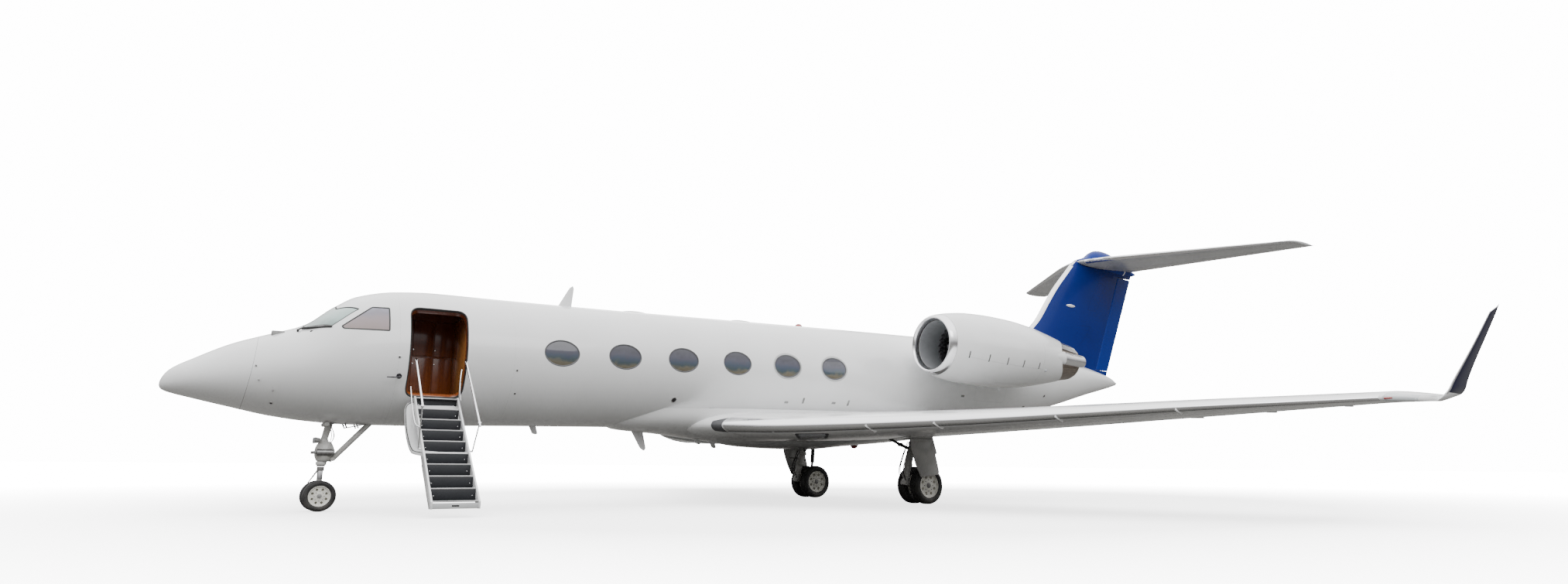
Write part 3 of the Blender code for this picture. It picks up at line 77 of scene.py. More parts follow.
class Slot(Enum):
    """The record's material slots."""

    WHITE = "white_paint"
    BLUE = "blue_paint"
    NAVY = "navy_paint"
    GREY = "grey_paint"
    POLISHED = "polished_metal"
    GEAR = "gear_metal"
    ENGINE = "engine_metal"
    TYRE = "tyre"
    GLASS = "glass"
    WOOD = "wood"
    CARPET = "carpet"
    LEATHER = "leather"
    PLASTIC = "dark_plastic"
    STAIR = "stair_rubber"


# Lines and sections

def x_of(station: float) -> float:
    """X of a station measured aft from the nose tip."""
    return station - LENGTH / 2


def line_value(points: Line, at: float) -> float:
    """Read a smooth line with no overshoot.

    Args:
        points: (place, value) pairs, in order of place.
        at: the place to read.

    Returns:
        The value there, held flat beyond both ends.
    """
    places = [p for p, _ in points]
    values = [v for _, v in points]
    if at <= places[0]:
        return values[0]
    if at >= places[-1]:
        return values[-1]
    slopes = [(values[i + 1] - values[i]) / (places[i + 1] - places[i]) for i in range(len(places) - 1)]

    def tangent(i: int) -> float:
        """Slope of the line at one of its points."""
        if i in (0, len(places) - 1):
            return slopes[min(i, len(slopes) - 1)]
        before, after = slopes[i - 1], slopes[i]
        return 0.0 if before * after <= 0 else 2 * before * after / (before + after)

    i = max(k for k in range(len(places) - 1) if places[k] <= at)
    run = places[i + 1] - places[i]
    t = (at - places[i]) / run
    return ((2 * t ** 3 - 3 * t ** 2 + 1) * values[i] + (t ** 3 - 2 * t ** 2 + t) * run * tangent(i)
            + (3 * t ** 2 - 2 * t ** 3) * values[i + 1] + (t ** 3 - t ** 2) * run * tangent(i + 1))


def turns_of(count: int) -> list[float]:
    """Angles evenly round a circle."""
    return [2 * math.pi * i / count for i in range(count)]


def spread(start: float, end: float, pitch: float) -> list[float]:
    """Places from start to end, both included, about a pitch apart."""
    steps = max(1, round(abs(end - start) / pitch))
    return [start + (end - start) * i / steps for i in range(steps + 1)]


def rounded_polygon(corners: Outline, radius: float, arc: int = 6, pitch: float = 0.06) -> Outline:
    """Round a polygon's corners and divide its sides.

    Args:
        corners: the polygon, in order.
        radius: how far from each corner the round starts.
        arc: steps in each round.
        pitch: distance between points along the straight sides.

    Returns:
        The closed outline, without its first point repeated.
    """
    points: Outline = []
    count = len(corners)
    starts, ends = [], []
    for i, (x, y) in enumerate(corners):
        for store, other in ((starts, corners[i - 1]), (ends, corners[(i + 1) % count])):
            run = math.dist((x, y), other)
            share = min(radius / run, 0.48)
            store.append((x + (other[0] - x) * share, y + (other[1] - y) * share))
    for i, (x, y) in enumerate(corners):
        a, b = starts[i], ends[i]
        for k in range(arc + 1):
            t = k / arc
            points.append(((1 - t) ** 2 * a[0] + 2 * t * (1 - t) * x + t ** 2 * b[0],
                           (1 - t) ** 2 * a[1] + 2 * t * (1 - t) * y + t ** 2 * b[1]))
        following = starts[(i + 1) % count]
        steps = max(1, round(math.dist(b, following) / pitch))
        points += [(b[0] + (following[0] - b[0]) * k / steps, b[1] + (following[1] - b[1]) * k / steps)
                   for k in range(1, steps)]
    return points


def oval(centre: tuple[float, float], width: float, height: float, steps: int = 48) -> Outline:
    """An ellipse as a closed outline."""
    return [(centre[0] + width / 2 * math.cos(2 * math.pi * i / steps),
             centre[1] + height / 2 * math.sin(2 * math.pi * i / steps)) for i in range(steps)]


def offset_outline(points: Outline, distance: float) -> Outline:
    """Grow a closed outline outwards by a distance, or shrink it where the distance is negative."""
    area = sum(points[i - 1][0] * points[i][1] - points[i][0] * points[i - 1][1] for i in range(len(points)))
    hand = math.copysign(1.0, area)
    grown = []
    for i, (x, y) in enumerate(points):
        before, after = points[i - 1], points[(i + 1) % len(points)]
        run_x, run_y = after[0] - before[0], after[1] - before[1]
        length = math.hypot(run_x, run_y) or 1.0
        grown.append((x + hand * distance * run_y / length, y - hand * distance * run_x / length))
    return grown


def smooth_profile(points: Sequence[tuple[float, float]], steps: int) -> Outline:
    """A smooth curve through flat points."""
    return [(p.x, p.y) for p in smooth_path([(a, b, 0.0) for a, b in points], steps)]


def smooth_path(points: Sequence[Sequence[float]], steps: int = 6) -> Ring:
    """A smooth curve through points, as a chain of closer points."""
    known = [Vector(p) for p in points]
    if len(known) < 3:
        return known
    padded = [known[0] * 2 - known[1]] + known + [known[-1] * 2 - known[-2]]
    chain = []
    for a, b, c, d in zip(padded, padded[1:], padded[2:], padded[3:]):
        for k in range(steps):
            t = k / steps
            chain.append(0.5 * ((2 * b) + (c - a) * t + (2 * a - 5 * b + 4 * c - d) * t ** 2
                                + (3 * b - a - 3 * c + d) * t ** 3))
    return chain + [known[-1]]


# Modelling with Blender's operators

def only(*pieces: Piece) -> None:
    """Select these pieces alone, the first as the active one."""
    bpy.ops.object.select_all(action='DESELECT')
    for piece in pieces:
        piece.select_set(True)
    bpy.context.view_layer.objects.active = pieces[0]


def named(name: str) -> Piece:
    """Name the primitive that was just added, and put its place into its mesh."""
    piece = bpy.context.object
    piece.name = piece.data.name = name
    bpy.ops.object.transform_apply(location=True, rotation=True, scale=True)
    return piece


def close_up(piece: Piece, fill: bool = False, merge: float = 0.00001) -> Piece:
    """Merge a mesh's doubles, close its open ends where asked, and turn its faces outwards."""
    only(piece)
    bpy.ops.object.mode_set(mode='EDIT')
    bpy.ops.mesh.select_all(action='SELECT')
    bpy.ops.mesh.remove_doubles(threshold=merge)
    if fill:
        bpy.ops.mesh.fill_holes(sides=0)
    bpy.ops.mesh.select_all(action='SELECT')
    bpy.ops.mesh.normals_make_consistent(inside=False)
    bpy.ops.object.mode_set(mode='OBJECT')
    return piece


def smooth(piece: Piece, angle: float = 35.0) -> Piece:
    """Shade a piece smooth, with sharp edges above an angle in degrees."""
    only(piece)
    bpy.ops.object.shade_smooth_by_angle(angle=math.radians(angle))
    return piece


def surface(name: str, rows: Sequence[Ring], closed: bool = True, fill: bool = True,
            angle: float = 35.0) -> Piece:
    """Draw a grid over rows of points.

    Args:
        name: the piece's name.
        rows: equally long rows of points.
        closed: whether each row runs back to its first point.
        fill: whether the open ends are closed with a face.
        angle: the edge angle above which the shading breaks, in degrees.

    Returns:
        The new piece, its faces outwards.
    """
    count = len(rows[0])
    columns = count if closed else count - 1
    lines = len(rows) - 1
    bpy.ops.object.select_all(action='DESELECT')
    bpy.ops.mesh.primitive_grid_add(x_subdivisions=columns, y_subdivisions=lines, size=2)
    piece = named(name)
    for vertex in piece.data.vertices:
        i = round((vertex.co.x + 1) / 2 * columns)
        j = round((vertex.co.y + 1) / 2 * lines)
        vertex.co = rows[j][i % count]
    close_up(piece, fill)
    return smooth(piece, angle)


def modify(piece: Piece, kind: str, **settings: object) -> Piece:
    """Add a modifier to a piece and apply it."""
    only(piece)
    change = piece.modifiers.new(kind.title(), kind)
    for key, value in settings.items():
        setattr(change, key, value)
    bpy.ops.object.modifier_apply(modifier=change.name)
    return piece


def soften(piece: Piece, width: float, segments: int = 2, angle: float = 30.0) -> Piece:
    """Round a piece's edges."""
    modify(piece, 'BEVEL', width=width, segments=segments, limit_method='ANGLE', angle_limit=math.radians(angle),
           use_clamp_overlap=True)
    return smooth(piece)


def thicken(piece: Piece, thickness: float) -> Piece:
    """Give a sheet its thickness, inwards from its face."""
    modify(piece, 'SOLIDIFY', thickness=thickness, offset=-1.0, use_even_offset=True)
    return smooth(piece)


def cut(target: Piece, *tools: Piece, operation: str = 'DIFFERENCE') -> Piece:
    """Cut a piece with others, which are used up."""
    for tool in tools:
        modify(target, 'BOOLEAN', object=tool, operation=operation, solver='EXACT')
        bpy.data.objects.remove(tool)
    return target


def join(name: str, *pieces: Piece) -> Piece:
    """Join pieces into one."""
    only(*pieces)
    if len(pieces) > 1:
        bpy.ops.object.join()
    pieces[0].name = pieces[0].data.name = name
    return pieces[0]


def again(piece: Piece, name: str, place: Matrix) -> Piece:
    """Copy a piece with a mesh of its own and move the copy; a mirrored copy has its faces turned back."""
    copy = piece.copy()
    copy.data = piece.data.copy()
    copy.name = copy.data.name = name
    bpy.context.scene.collection.objects.link(copy)
    copy.data.transform(place)
    if place.determinant() < 0:
        copy.data.flip_normals()
    return copy


def bar(name: str, start: Sequence[float], end: Sequence[float], radius: float, end_radius: float | None = None,
        sides: int = 24, edge: float = 0.0) -> Piece:
    """A round bar between two points, its ends rounded off by a bevel of the given width."""
    start, end = Vector(start), Vector(end)
    along = end - start
    bpy.ops.object.select_all(action='DESELECT')
    last = radius if end_radius is None else end_radius
    bpy.ops.mesh.primitive_cone_add(vertices=sides, radius1=radius, radius2=last,
                                    depth=along.length, location=(start + end) / 2,
                                    rotation=along.to_track_quat('Z', 'Y').to_euler())
    return soften(named(name), edge or radius * 0.12)


def block(name: str, low: Sequence[float], high: Sequence[float], edge: float = 0.004, segments: int = 2) -> Piece:
    """A block between two corners with rounded edges."""
    low, high = Vector(low), Vector(high)
    bpy.ops.object.select_all(action='DESELECT')
    bpy.ops.mesh.primitive_cube_add(size=1.0, location=(low + high) / 2)
    bpy.context.object.scale = [abs(v) for v in high - low]
    return soften(named(name), edge, segments)


def plate(name: str, outline: Sequence[Sequence[float]], depth: Sequence[float], edge: float = 0.003) -> Piece:
    """A flat outline of points extruded by a vector, with rounded edges."""
    bpy.ops.object.select_all(action='DESELECT')
    bpy.ops.mesh.primitive_circle_add(vertices=len(outline), fill_type='NGON')
    piece = named(name)
    for vertex, point in zip(piece.data.vertices, outline):
        vertex.co = point
    bpy.ops.object.mode_set(mode='EDIT')
    bpy.ops.mesh.select_all(action='SELECT')
    bpy.ops.mesh.extrude_region_move(TRANSFORM_OT_translate={"value": tuple(depth)})
    bpy.ops.mesh.select_all(action='SELECT')
    bpy.ops.mesh.normals_make_consistent(inside=False)
    bpy.ops.object.mode_set(mode='OBJECT')
    return soften(piece, edge) if edge else smooth(piece)


def pipe(name: str, points: Sequence[Sequence[float]], radius: float, closed: bool = False,
         sides: int = 3) -> Piece:
    """A round tube along a chain of points, drawn as a curve and made a mesh."""
    curve = bpy.data.curves.new(name, 'CURVE')
    curve.dimensions = '3D'
    spline = curve.splines.new('POLY')
    spline.points.add(len(points) - 1)
    for place, point in zip(spline.points, points):
        place.co = (*point, 1.0)
    spline.use_cyclic_u = closed
    curve.bevel_depth = radius
    curve.bevel_resolution = sides
    curve.use_fill_caps = True
    piece = bpy.data.objects.new(name, curve)
    bpy.context.scene.collection.objects.link(piece)
    only(piece)
    bpy.ops.object.convert(target='MESH')
    piece = bpy.context.object
    piece.name = piece.data.name = name
    return smooth(piece, 60.0)


def turned(name: str, profile: Line, place: Matrix, steps: int = 72, angle: float = 32.0,
           arc: tuple[float, float] = (0.0, 360.0)) -> Piece:
    """Turn a profile about the Z of a frame.

    Args:
        name: the piece's name.
        profile: (height, radius) points; the last repeats the first on a closed profile.
        place: the frame.
        steps: steps round the full turn.
        angle: the edge angle above which the shading breaks, in degrees.
        arc: where the turn starts and ends, in degrees.

    Returns:
        The turned piece.
    """
    whole = arc[1] - arc[0] >= 360
    turns = [math.radians(arc[0] + (arc[1] - arc[0]) * k / steps) for k in range(steps + (0 if whole else 1))]
    rows = [[place @ Vector((r * math.cos(t), r * math.sin(t), h)) for t in turns] for h, r in profile]
    return surface(name, rows, closed=whole, fill=whole, angle=angle)


def around(name: str, piece: Piece, place: Matrix, count: int, first: float = 0.0) -> Piece:
    """Copy a piece round the Z of a frame and join the copies; the piece itself is used up."""
    back = place.inverted()
    copies = [again(piece, f"{name}_{k}", place @ Matrix.Rotation(first + 2 * math.pi * k / count, 4, 'Z') @ back)
              for k in range(count)]
    bpy.data.objects.remove(piece)
    return join(name, *copies)


# Node groups that several finishes share

class Nodes:
    """Short calls for building a node tree."""

    def __init__(self, tree: bpy.types.NodeTree) -> None:
        """Keep the tree."""
        self.tree = tree

    def add(self, kind: str, inputs: dict | None = None, **settings: object) -> bpy.types.Node:
        """Add a node.

        Args:
            kind: the node's type without its ShaderNode prefix.
            inputs: values, or sockets to link from, for each input by name or number.
            settings: the node's own settings.

        Returns:
            The new node.
        """
        node = self.tree.nodes.new("ShaderNode" + kind)
        for key, value in settings.items():
            setattr(node, key, value)
        for key, value in (inputs or {}).items():
            if isinstance(value, bpy.types.NodeSocket):
                self.tree.links.new(value, node.inputs[key])
            else:
                node.inputs[key].default_value = value
        return node

    def place(self) -> bpy.types.NodeSocket:
        """The place on the piece, in metres."""
        return self.add("TexCoord").outputs["Object"]

    def height(self) -> bpy.types.NodeSocket:
        """The height above the ground."""
        return self.add("SeparateXYZ", {0: self.place()}).outputs["Z"]

    def noise(self, where: bpy.types.NodeSocket, scale: object, detail: float) -> bpy.types.NodeSocket:
        """Soft noise at a scale."""
        return self.add("TexNoise", {"Vector": where, "Scale": scale, "Detail": detail}).outputs[0]

    def math(self, operation: str, first: object, second: object = 0.0) -> bpy.types.NodeSocket:
        """A sum, product or other operation on two values."""
        return self.add("Math", {0: first, 1: second}, operation=operation).outputs[0]

    def along(self, where: bpy.types.NodeSocket, direction: tuple[float, float, float]) -> bpy.types.NodeSocket:
        """How far a place lies along a direction."""
        return self.add("VectorMath", {0: where, 1: direction}, operation='DOT_PRODUCT').outputs["Value"]

    def mix(self, share: object, first: object, second: object) -> bpy.types.NodeSocket:
        """Mix two colours by a share."""
        node = self.add("Mix", {0: share, 6: first, 7: second}, data_type='RGBA')
        return node.outputs[2]

    def remap(self, value: object, low: float, high: float, to_low: float = 0.0,
              to_high: float = 1.0) -> bpy.types.NodeSocket:
        """Stretch a value's range onto another, clamped."""
        return self.add("MapRange", {0: value, 1: low, 2: high, 3: to_low, 4: to_high}).outputs[0]


def rgba(colour: Sequence[float]) -> tuple[float, float, float, float]:
    """A colour with its alpha."""
    return (colour[0], colour[1], colour[2], 1.0)


def node_group(name: str, inputs: Sequence[tuple[str, str]], outputs: Sequence[tuple[str, str]],
               build: Callable[[Nodes, bpy.types.Node, bpy.types.Node], None]) -> bpy.types.NodeTree:
    """Find a shared node group, or build it once.

    Args:
        name: the group's name.
        inputs: (name, socket kind) of each input.
        outputs: (name, socket kind) of each output.
        build: fills the group, given its tools, input node and output node.

    Returns:
        The group.
    """
    found = bpy.data.node_groups.get(name)
    if found:
        return found
    tree = bpy.data.node_groups.new(name, 'ShaderNodeTree')
    for label, kind in inputs:
        tree.interface.new_socket(label, in_out='INPUT', socket_type="NodeSocket" + kind)
    for label, kind in outputs:
        tree.interface.new_socket(label, in_out='OUTPUT', socket_type="NodeSocket" + kind)
    build(Nodes(tree), tree.nodes.new("NodeGroupInput"), tree.nodes.new("NodeGroupOutput"))
    return tree


def skin_group() -> bpy.types.NodeTree:
    """Slow colour variation, uneven gloss and fine surface texture, as on paint, plastic and rubber."""

    def build(nodes: Nodes, given: bpy.types.Node, out: bpy.types.Node) -> None:
        """Fill the group."""
        where = nodes.place()
        slow = nodes.noise(where, given.outputs["Patch Scale"], 4.0)
        fine = nodes.noise(where, given.outputs["Grain Scale"], 2.0)
        share = nodes.math('MULTIPLY', nodes.remap(slow, 0.42, 0.7), given.outputs["Amount"])
        colour = nodes.mix(share, given.outputs["Base"], given.outputs["Shade"])
        lean = nodes.math('MULTIPLY', nodes.math('SUBTRACT', slow, 0.5), given.outputs["Gloss Spread"])
        links = nodes.tree.links
        links.new(colour, out.inputs["Color"])
        links.new(nodes.math('ADD', given.outputs["Roughness"], lean), out.inputs["Roughness"])
        links.new(fine, out.inputs["Height"])

    return node_group("skin_variation",
                      (("Base", "Color"), ("Shade", "Color"), ("Amount", "Float"), ("Patch Scale", "Float"),
                       ("Grain Scale", "Float"), ("Roughness", "Float"), ("Gloss Spread", "Float")),
                      (("Color", "Color"), ("Roughness", "Float"), ("Height", "Float")), build)


def streak_group() -> bpy.types.NodeTree:
    """Long fine streaks, as on brushed or rolled metal and on sawn wood."""

    def build(nodes: Nodes, given: bpy.types.Node, out: bpy.types.Node) -> None:
        """Fill the group."""
        where = nodes.place()
        drawn = nodes.add("VectorMath", {0: where, 1: given.outputs["Stretch"]}, operation='MULTIPLY').outputs[0]
        streaks = nodes.noise(drawn, 1.0, 5.0)
        blotch = nodes.noise(where, 1.7, 3.0)
        share = nodes.remap(streaks, 0.3, 0.72)
        colour = nodes.mix(share, given.outputs["Base"], given.outputs["Shade"])
        lean = nodes.math('MULTIPLY', nodes.math('SUBTRACT', blotch, 0.45), given.outputs["Gloss Spread"])
        links = nodes.tree.links
        links.new(colour, out.inputs["Color"])
        links.new(nodes.math('ADD', given.outputs["Roughness"], lean), out.inputs["Roughness"])
        links.new(streaks, out.inputs["Height"])

    return node_group("long_streaks",
                      (("Base", "Color"), ("Shade", "Color"), ("Stretch", "Vector"), ("Roughness", "Float"),
                       ("Gloss Spread", "Float")),
                      (("Color", "Color"), ("Roughness", "Float"), ("Height", "Float")), build)


def pebble_group() -> bpy.types.NodeTree:
    """Small rounded cells, as on leather, carpet pile and moulded tread."""

    def build(nodes: Nodes, given: bpy.types.Node, out: bpy.types.Node) -> None:
        """Fill the group."""
        where = nodes.place()
        cells = nodes.add("TexVoronoi", {"Vector": where, "Scale": given.outputs["Cell Scale"]}).outputs["Distance"]
        wide = nodes.noise(where, 6.0, 3.0)
        share = nodes.math('MULTIPLY', nodes.math('ADD', cells, nodes.math('SUBTRACT', wide, 0.5)),
                           given.outputs["Amount"])
        links = nodes.tree.links
        links.new(nodes.mix(share, given.outputs["Base"], given.outputs["Shade"]), out.inputs["Color"])
        links.new(nodes.math('SUBTRACT', 1.0, cells), out.inputs["Height"])

    return node_group("pebbled_cells",
                      (("Base", "Color"), ("Shade", "Color"), ("Amount", "Float"), ("Cell Scale", "Float")),
                      (("Color", "Color"), ("Height", "Float")), build)


def dust_group() -> bpy.types.NodeTree:
    """A mask of dust that lies thickest near the ground and in patches."""

    def build(nodes: Nodes, given: bpy.types.Node, out: bpy.types.Node) -> None:
        """Fill the group."""
        where = nodes.place()
        height = nodes.height()
        low = nodes.math('SUBTRACT', 1.0, nodes.math('DIVIDE', height, given.outputs["Reach"]))
        patches = nodes.noise(where, 9.0, 5.0)
        mask = nodes.math('MULTIPLY', nodes.remap(low, 0.0, 1.0), nodes.remap(patches, 0.35, 0.7))
        nodes.tree.links.new(nodes.math('MULTIPLY', mask, given.outputs["Amount"]), out.inputs["Mask"])

    return node_group("ground_dust", (("Reach", "Float"), ("Amount", "Float")), (("Mask", "Float"),), build)


# Finishes

class Finish:
    """What every finish shares: a name, and a material that is made once."""

    name: str

    def material(self) -> bpy.types.Material:
        """The finish's material."""
        found = bpy.data.materials.get(self.name)
        if found:
            return found
        made = bpy.data.materials.new(self.name)
        made.use_nodes = True
        shader = made.node_tree.nodes["Principled BSDF"]
        self.fill(Nodes(made.node_tree), shader)
        return made

    def fill(self, nodes: Nodes, shader: bpy.types.Node) -> None:
        """Connect the finish's own nodes to the shader."""
        raise NotImplementedError

    @staticmethod
    def wire(nodes: Nodes, shader: bpy.types.Node, source: bpy.types.Node, bump: float, reach: float) -> None:
        """Link a group's colour, roughness and height to the shader."""
        links = nodes.tree.links
        links.new(source.outputs["Color"], shader.inputs["Base Color"])
        if "Roughness" in source.outputs:
            links.new(source.outputs["Roughness"], shader.inputs["Roughness"])
        if bump:
            relief = nodes.add("Bump", {"Height": source.outputs["Height"], "Strength": bump, "Distance": reach})
            links.new(relief.outputs[0], shader.inputs["Normal"])


@dataclass(frozen=True)
class Paint(Finish):
    """Gloss paint under a clear coat, a little uneven in colour and gloss."""

    name: str
    colour: tuple[float, float, float]
    shade: tuple[float, float, float]
    amount: float = 0.5
    roughness: float = 0.22
    coat: float = 0.6
    grain: float = 0.02
    grain_scale: float = 260.0
    patch_scale: float = 0.9
    specular: float = 0.5

    def fill(self, nodes: Nodes, shader: bpy.types.Node) -> None:
        """Connect the paint's nodes."""
        self.gloss(shader)
        self.wire(nodes, shader, self.skin(nodes), self.grain, 0.002)

    def skin(self, nodes: Nodes) -> bpy.types.Node:
        """The shared skin group with this paint's values."""
        return nodes.add("Group", {"Base": rgba(self.colour), "Shade": rgba(self.shade), "Amount": self.amount,
                                   "Patch Scale": self.patch_scale, "Grain Scale": self.grain_scale,
                                   "Roughness": self.roughness, "Gloss Spread": 0.10}, node_tree=skin_group())

    def gloss(self, shader: bpy.types.Node) -> None:
        """Set the clear coat."""
        shader.inputs["Coat Weight"].default_value = self.coat
        shader.inputs["Coat Roughness"].default_value = 0.04
        shader.inputs["Specular IOR Level"].default_value = self.specular


@dataclass(frozen=True)
class Metal(Finish):
    """Bare or polished metal with fine streaks drawn along one axis."""

    name: str
    colour: tuple[float, float, float]
    shade: tuple[float, float, float]
    roughness: float
    stretch: tuple[float, float, float] = (1.5, 90.0, 90.0)
    bump: float = 0.03

    def fill(self, nodes: Nodes, shader: bpy.types.Node) -> None:
        """Connect the metal's nodes."""
        source = nodes.add("Group", {"Base": rgba(self.colour), "Shade": rgba(self.shade), "Stretch": self.stretch,
                                     "Roughness": self.roughness, "Gloss Spread": 0.16}, node_tree=streak_group())
        shader.inputs["Metallic"].default_value = 1.0
        self.wire(nodes, shader, source, self.bump, 0.001)


@dataclass(frozen=True)
class Wood(Finish):
    """Varnished veneer whose colour deepens upwards."""

    name: str
    colour: tuple[float, float, float]
    shade: tuple[float, float, float]
    deep: tuple[float, float, float]
    low: float = 2.1
    high: float = 3.4

    def fill(self, nodes: Nodes, shader: bpy.types.Node) -> None:
        """Connect the veneer's nodes."""
        source = nodes.add("Group", {"Base": rgba(self.colour), "Shade": rgba(self.shade),
                                     "Stretch": (26.0, 26.0, 1.6), "Roughness": 0.22, "Gloss Spread": 0.08},
                           node_tree=streak_group())
        self.wire(nodes, shader, source, 0.04, 0.001)
        height = nodes.height()
        climb = nodes.remap(height, self.low, self.high, 0.0, 0.85)
        nodes.tree.links.new(nodes.mix(climb, source.outputs["Color"], rgba(self.deep)), shader.inputs["Base Color"])
        shader.inputs["Coat Weight"].default_value = 0.5


@dataclass(frozen=True)
class Pebbled(Finish):
    """Leather, carpet or moulded rubber: small cells with a soft sheen."""

    name: str
    colour: tuple[float, float, float]
    shade: tuple[float, float, float]
    cell_scale: float
    bump: float
    roughness: float
    sheen: float = 0.0

    def fill(self, nodes: Nodes, shader: bpy.types.Node) -> None:
        """Connect the cells' nodes."""
        source = nodes.add("Group", {"Base": rgba(self.colour), "Shade": rgba(self.shade), "Amount": 0.8,
                                     "Cell Scale": self.cell_scale}, node_tree=pebble_group())
        shader.inputs["Roughness"].default_value = self.roughness
        shader.inputs["Sheen Weight"].default_value = self.sheen
        self.wire(nodes, shader, source, self.bump, 0.002)


@dataclass(frozen=True)
class TyreRubber(Finish):
    """Black rubber, dusty near the ground."""

    name: str = "tyre_rubber"

    def fill(self, nodes: Nodes, shader: bpy.types.Node) -> None:
        """Connect the rubber's nodes."""
        source = nodes.add("Group", {"Base": rgba((0.012, 0.012, 0.013)), "Shade": rgba((0.035, 0.034, 0.033)),
                                     "Amount": 0.8, "Patch Scale": 7.0, "Grain Scale": 420.0, "Roughness": 0.62,
                                     "Gloss Spread": 0.2}, node_tree=skin_group())
        self.wire(nodes, shader, source, 0.12, 0.002)
        dust = nodes.add("Group", {"Reach": 0.5, "Amount": 0.55}, node_tree=dust_group())
        colour = nodes.mix(dust.outputs["Mask"], source.outputs["Color"], rgba((0.12, 0.11, 0.10)))
        nodes.tree.links.new(colour, shader.inputs["Base Color"])


@dataclass(frozen=True)
class PaintedReflectionGlass(Finish):
    """A glossy pane with a painted reflection: its colour runs through bands from its foot to its head that stand for
    the land and sky it would mirror.
    """

    name: str
    bands: tuple[tuple[float, tuple[float, float, float]], ...]
    foot: float
    head: float
    rise: float = 0.0
    clear: float = 0.0

    def fill(self, nodes: Nodes, shader: bpy.types.Node) -> None:
        """Connect the pane's nodes."""
        where = nodes.place()
        height = nodes.along(where, (-self.rise, 0.0, 1.0))
        ripple = nodes.noise(where, 5.0, 2.0)
        wavy = nodes.math('ADD', height, nodes.math('MULTIPLY', nodes.math('SUBTRACT', ripple, 0.5), 0.20))
        # The ramp's bands are a painted reflection of ground and sky, laid into the pane's colour.
        ramp = nodes.add("ValToRGB", {0: nodes.remap(wavy, self.foot, self.head)})
        stops = ramp.color_ramp.elements
        while len(stops) < len(self.bands):
            stops.new(0.5)
        for stop, (place, colour) in zip(stops, self.bands):
            stop.position = place
            stop.color = rgba(colour)
        nodes.tree.links.new(ramp.outputs[0], shader.inputs["Base Color"])
        nodes.tree.links.new(nodes.remap(ripple, 0.3, 0.8, 0.02, 0.07), shader.inputs["Roughness"])
        shader.inputs["Transmission Weight"].default_value = self.clear
        shader.inputs["Coat Weight"].default_value = 0.4


@dataclass(frozen=True)
class TwoTonePaint(Finish):
    """Gloss paint in two colours that meet at a slanted line on the side of the jet."""

    name: str
    ahead: Paint
    behind: Paint
    station: float
    height: float
    lean: float

    def fill(self, nodes: Nodes, shader: bpy.types.Node) -> None:
        """Connect both paints and the line between them."""
        ahead, behind = self.ahead.skin(nodes), self.behind.skin(nodes)
        self.wire(nodes, shader, behind, self.behind.grain, 0.002)
        where = nodes.place()
        across = nodes.along(where, (1.0, 0.0, -self.lean))
        line = x_of(self.station) - self.lean * self.height
        mask = nodes.remap(across, line - 0.002, line + 0.002)
        colour = nodes.mix(mask, ahead.outputs["Color"], behind.outputs["Color"])
        nodes.tree.links.new(colour, shader.inputs["Base Color"])
        self.behind.gloss(shader)


WHITE = Paint("white_gloss", (0.80, 0.805, 0.81), (0.73, 0.735, 0.735), 0.5)
# White paint darkened to a beige grey: painted shade, for a white part that sits in the shade under the wing.
PAINTED_SHADE_GREY = Paint("painted_shade_grey", (0.52, 0.52, 0.51), (0.44, 0.435, 0.42), 0.6, roughness=0.18, coat=0.8)
BLUE = Paint("royal_blue", (0.0, 0.014, 0.16), (0.0, 0.010, 0.12), 0.5, roughness=0.3, coat=0.06, specular=0.10)
BLUE_LIGHT = Paint("royal_blue_light", (0.0, 0.022, 0.22), (0.0, 0.016, 0.17), 0.5, roughness=0.3, coat=0.06,
                   specular=0.10)
NAVY = Paint("navy_gloss", (0.002, 0.003, 0.034), (0.001, 0.002, 0.02), 0.5, roughness=0.28, coat=0.12,
             specular=0.15)
FOOT_GREY = Paint("foot_grey", (0.55, 0.56, 0.565), (0.46, 0.465, 0.47), 0.6, roughness=0.35, coat=0.2)
SCREEN_DARK = Paint("screen_dark", (0.008, 0.012, 0.02), (0.004, 0.006, 0.01), 0.5, roughness=0.08, coat=1.0)
TAIL_GREY = Paint("tail_grey", (0.46, 0.465, 0.47), (0.38, 0.385, 0.39), 0.6, roughness=0.3, coat=0.3)
GEAR_WHITE = Paint("gear_white", (0.62, 0.62, 0.60), (0.40, 0.39, 0.36), 0.7, roughness=0.35, coat=0.2,
                   patch_scale=6.0)
GEAR_GREY = Paint("gear_grey", (0.30, 0.30, 0.295), (0.16, 0.155, 0.15), 0.8, roughness=0.42, coat=0.1,
                  patch_scale=9.0)
RIM_WHITE = Paint("rim_white", (0.80, 0.79, 0.72), (0.66, 0.65, 0.59), 0.5, roughness=0.4, coat=0.1,
                  patch_scale=9.0)
DUCT_GREY = Paint("duct_grey", (0.30, 0.31, 0.325), (0.22, 0.23, 0.24), 0.5, roughness=0.35, coat=0.3)
BLACK = Paint("satin_black", (0.012, 0.012, 0.013), (0.03, 0.03, 0.03), 0.5, roughness=0.45, coat=0.1,
              patch_scale=8.0)
DARK_GREY = Paint("dark_grey", (0.07, 0.072, 0.078), (0.11, 0.11, 0.115), 0.5, roughness=0.4, coat=0.1,
                  patch_scale=8.0)
RED_LENS = Paint("red_lens", (0.35, 0.01, 0.008), (0.22, 0.006, 0.005), 0.5, roughness=0.08, coat=1.0)
GREEN_LENS = Paint("green_lens", (0.01, 0.22, 0.06), (0.006, 0.14, 0.04), 0.5, roughness=0.08, coat=1.0)
CLEAR_LENS = Paint("clear_lens", (0.55, 0.58, 0.60), (0.40, 0.43, 0.46), 0.6, roughness=0.05, coat=1.0)
POLISHED = Metal("polished_aluminium", (0.86, 0.86, 0.87), (0.76, 0.76, 0.78), 0.16)
BRIGHT = Metal("bright_chrome", (0.88, 0.88, 0.88), (0.80, 0.80, 0.82), 0.08, (30.0, 30.0, 6.0), 0.01)
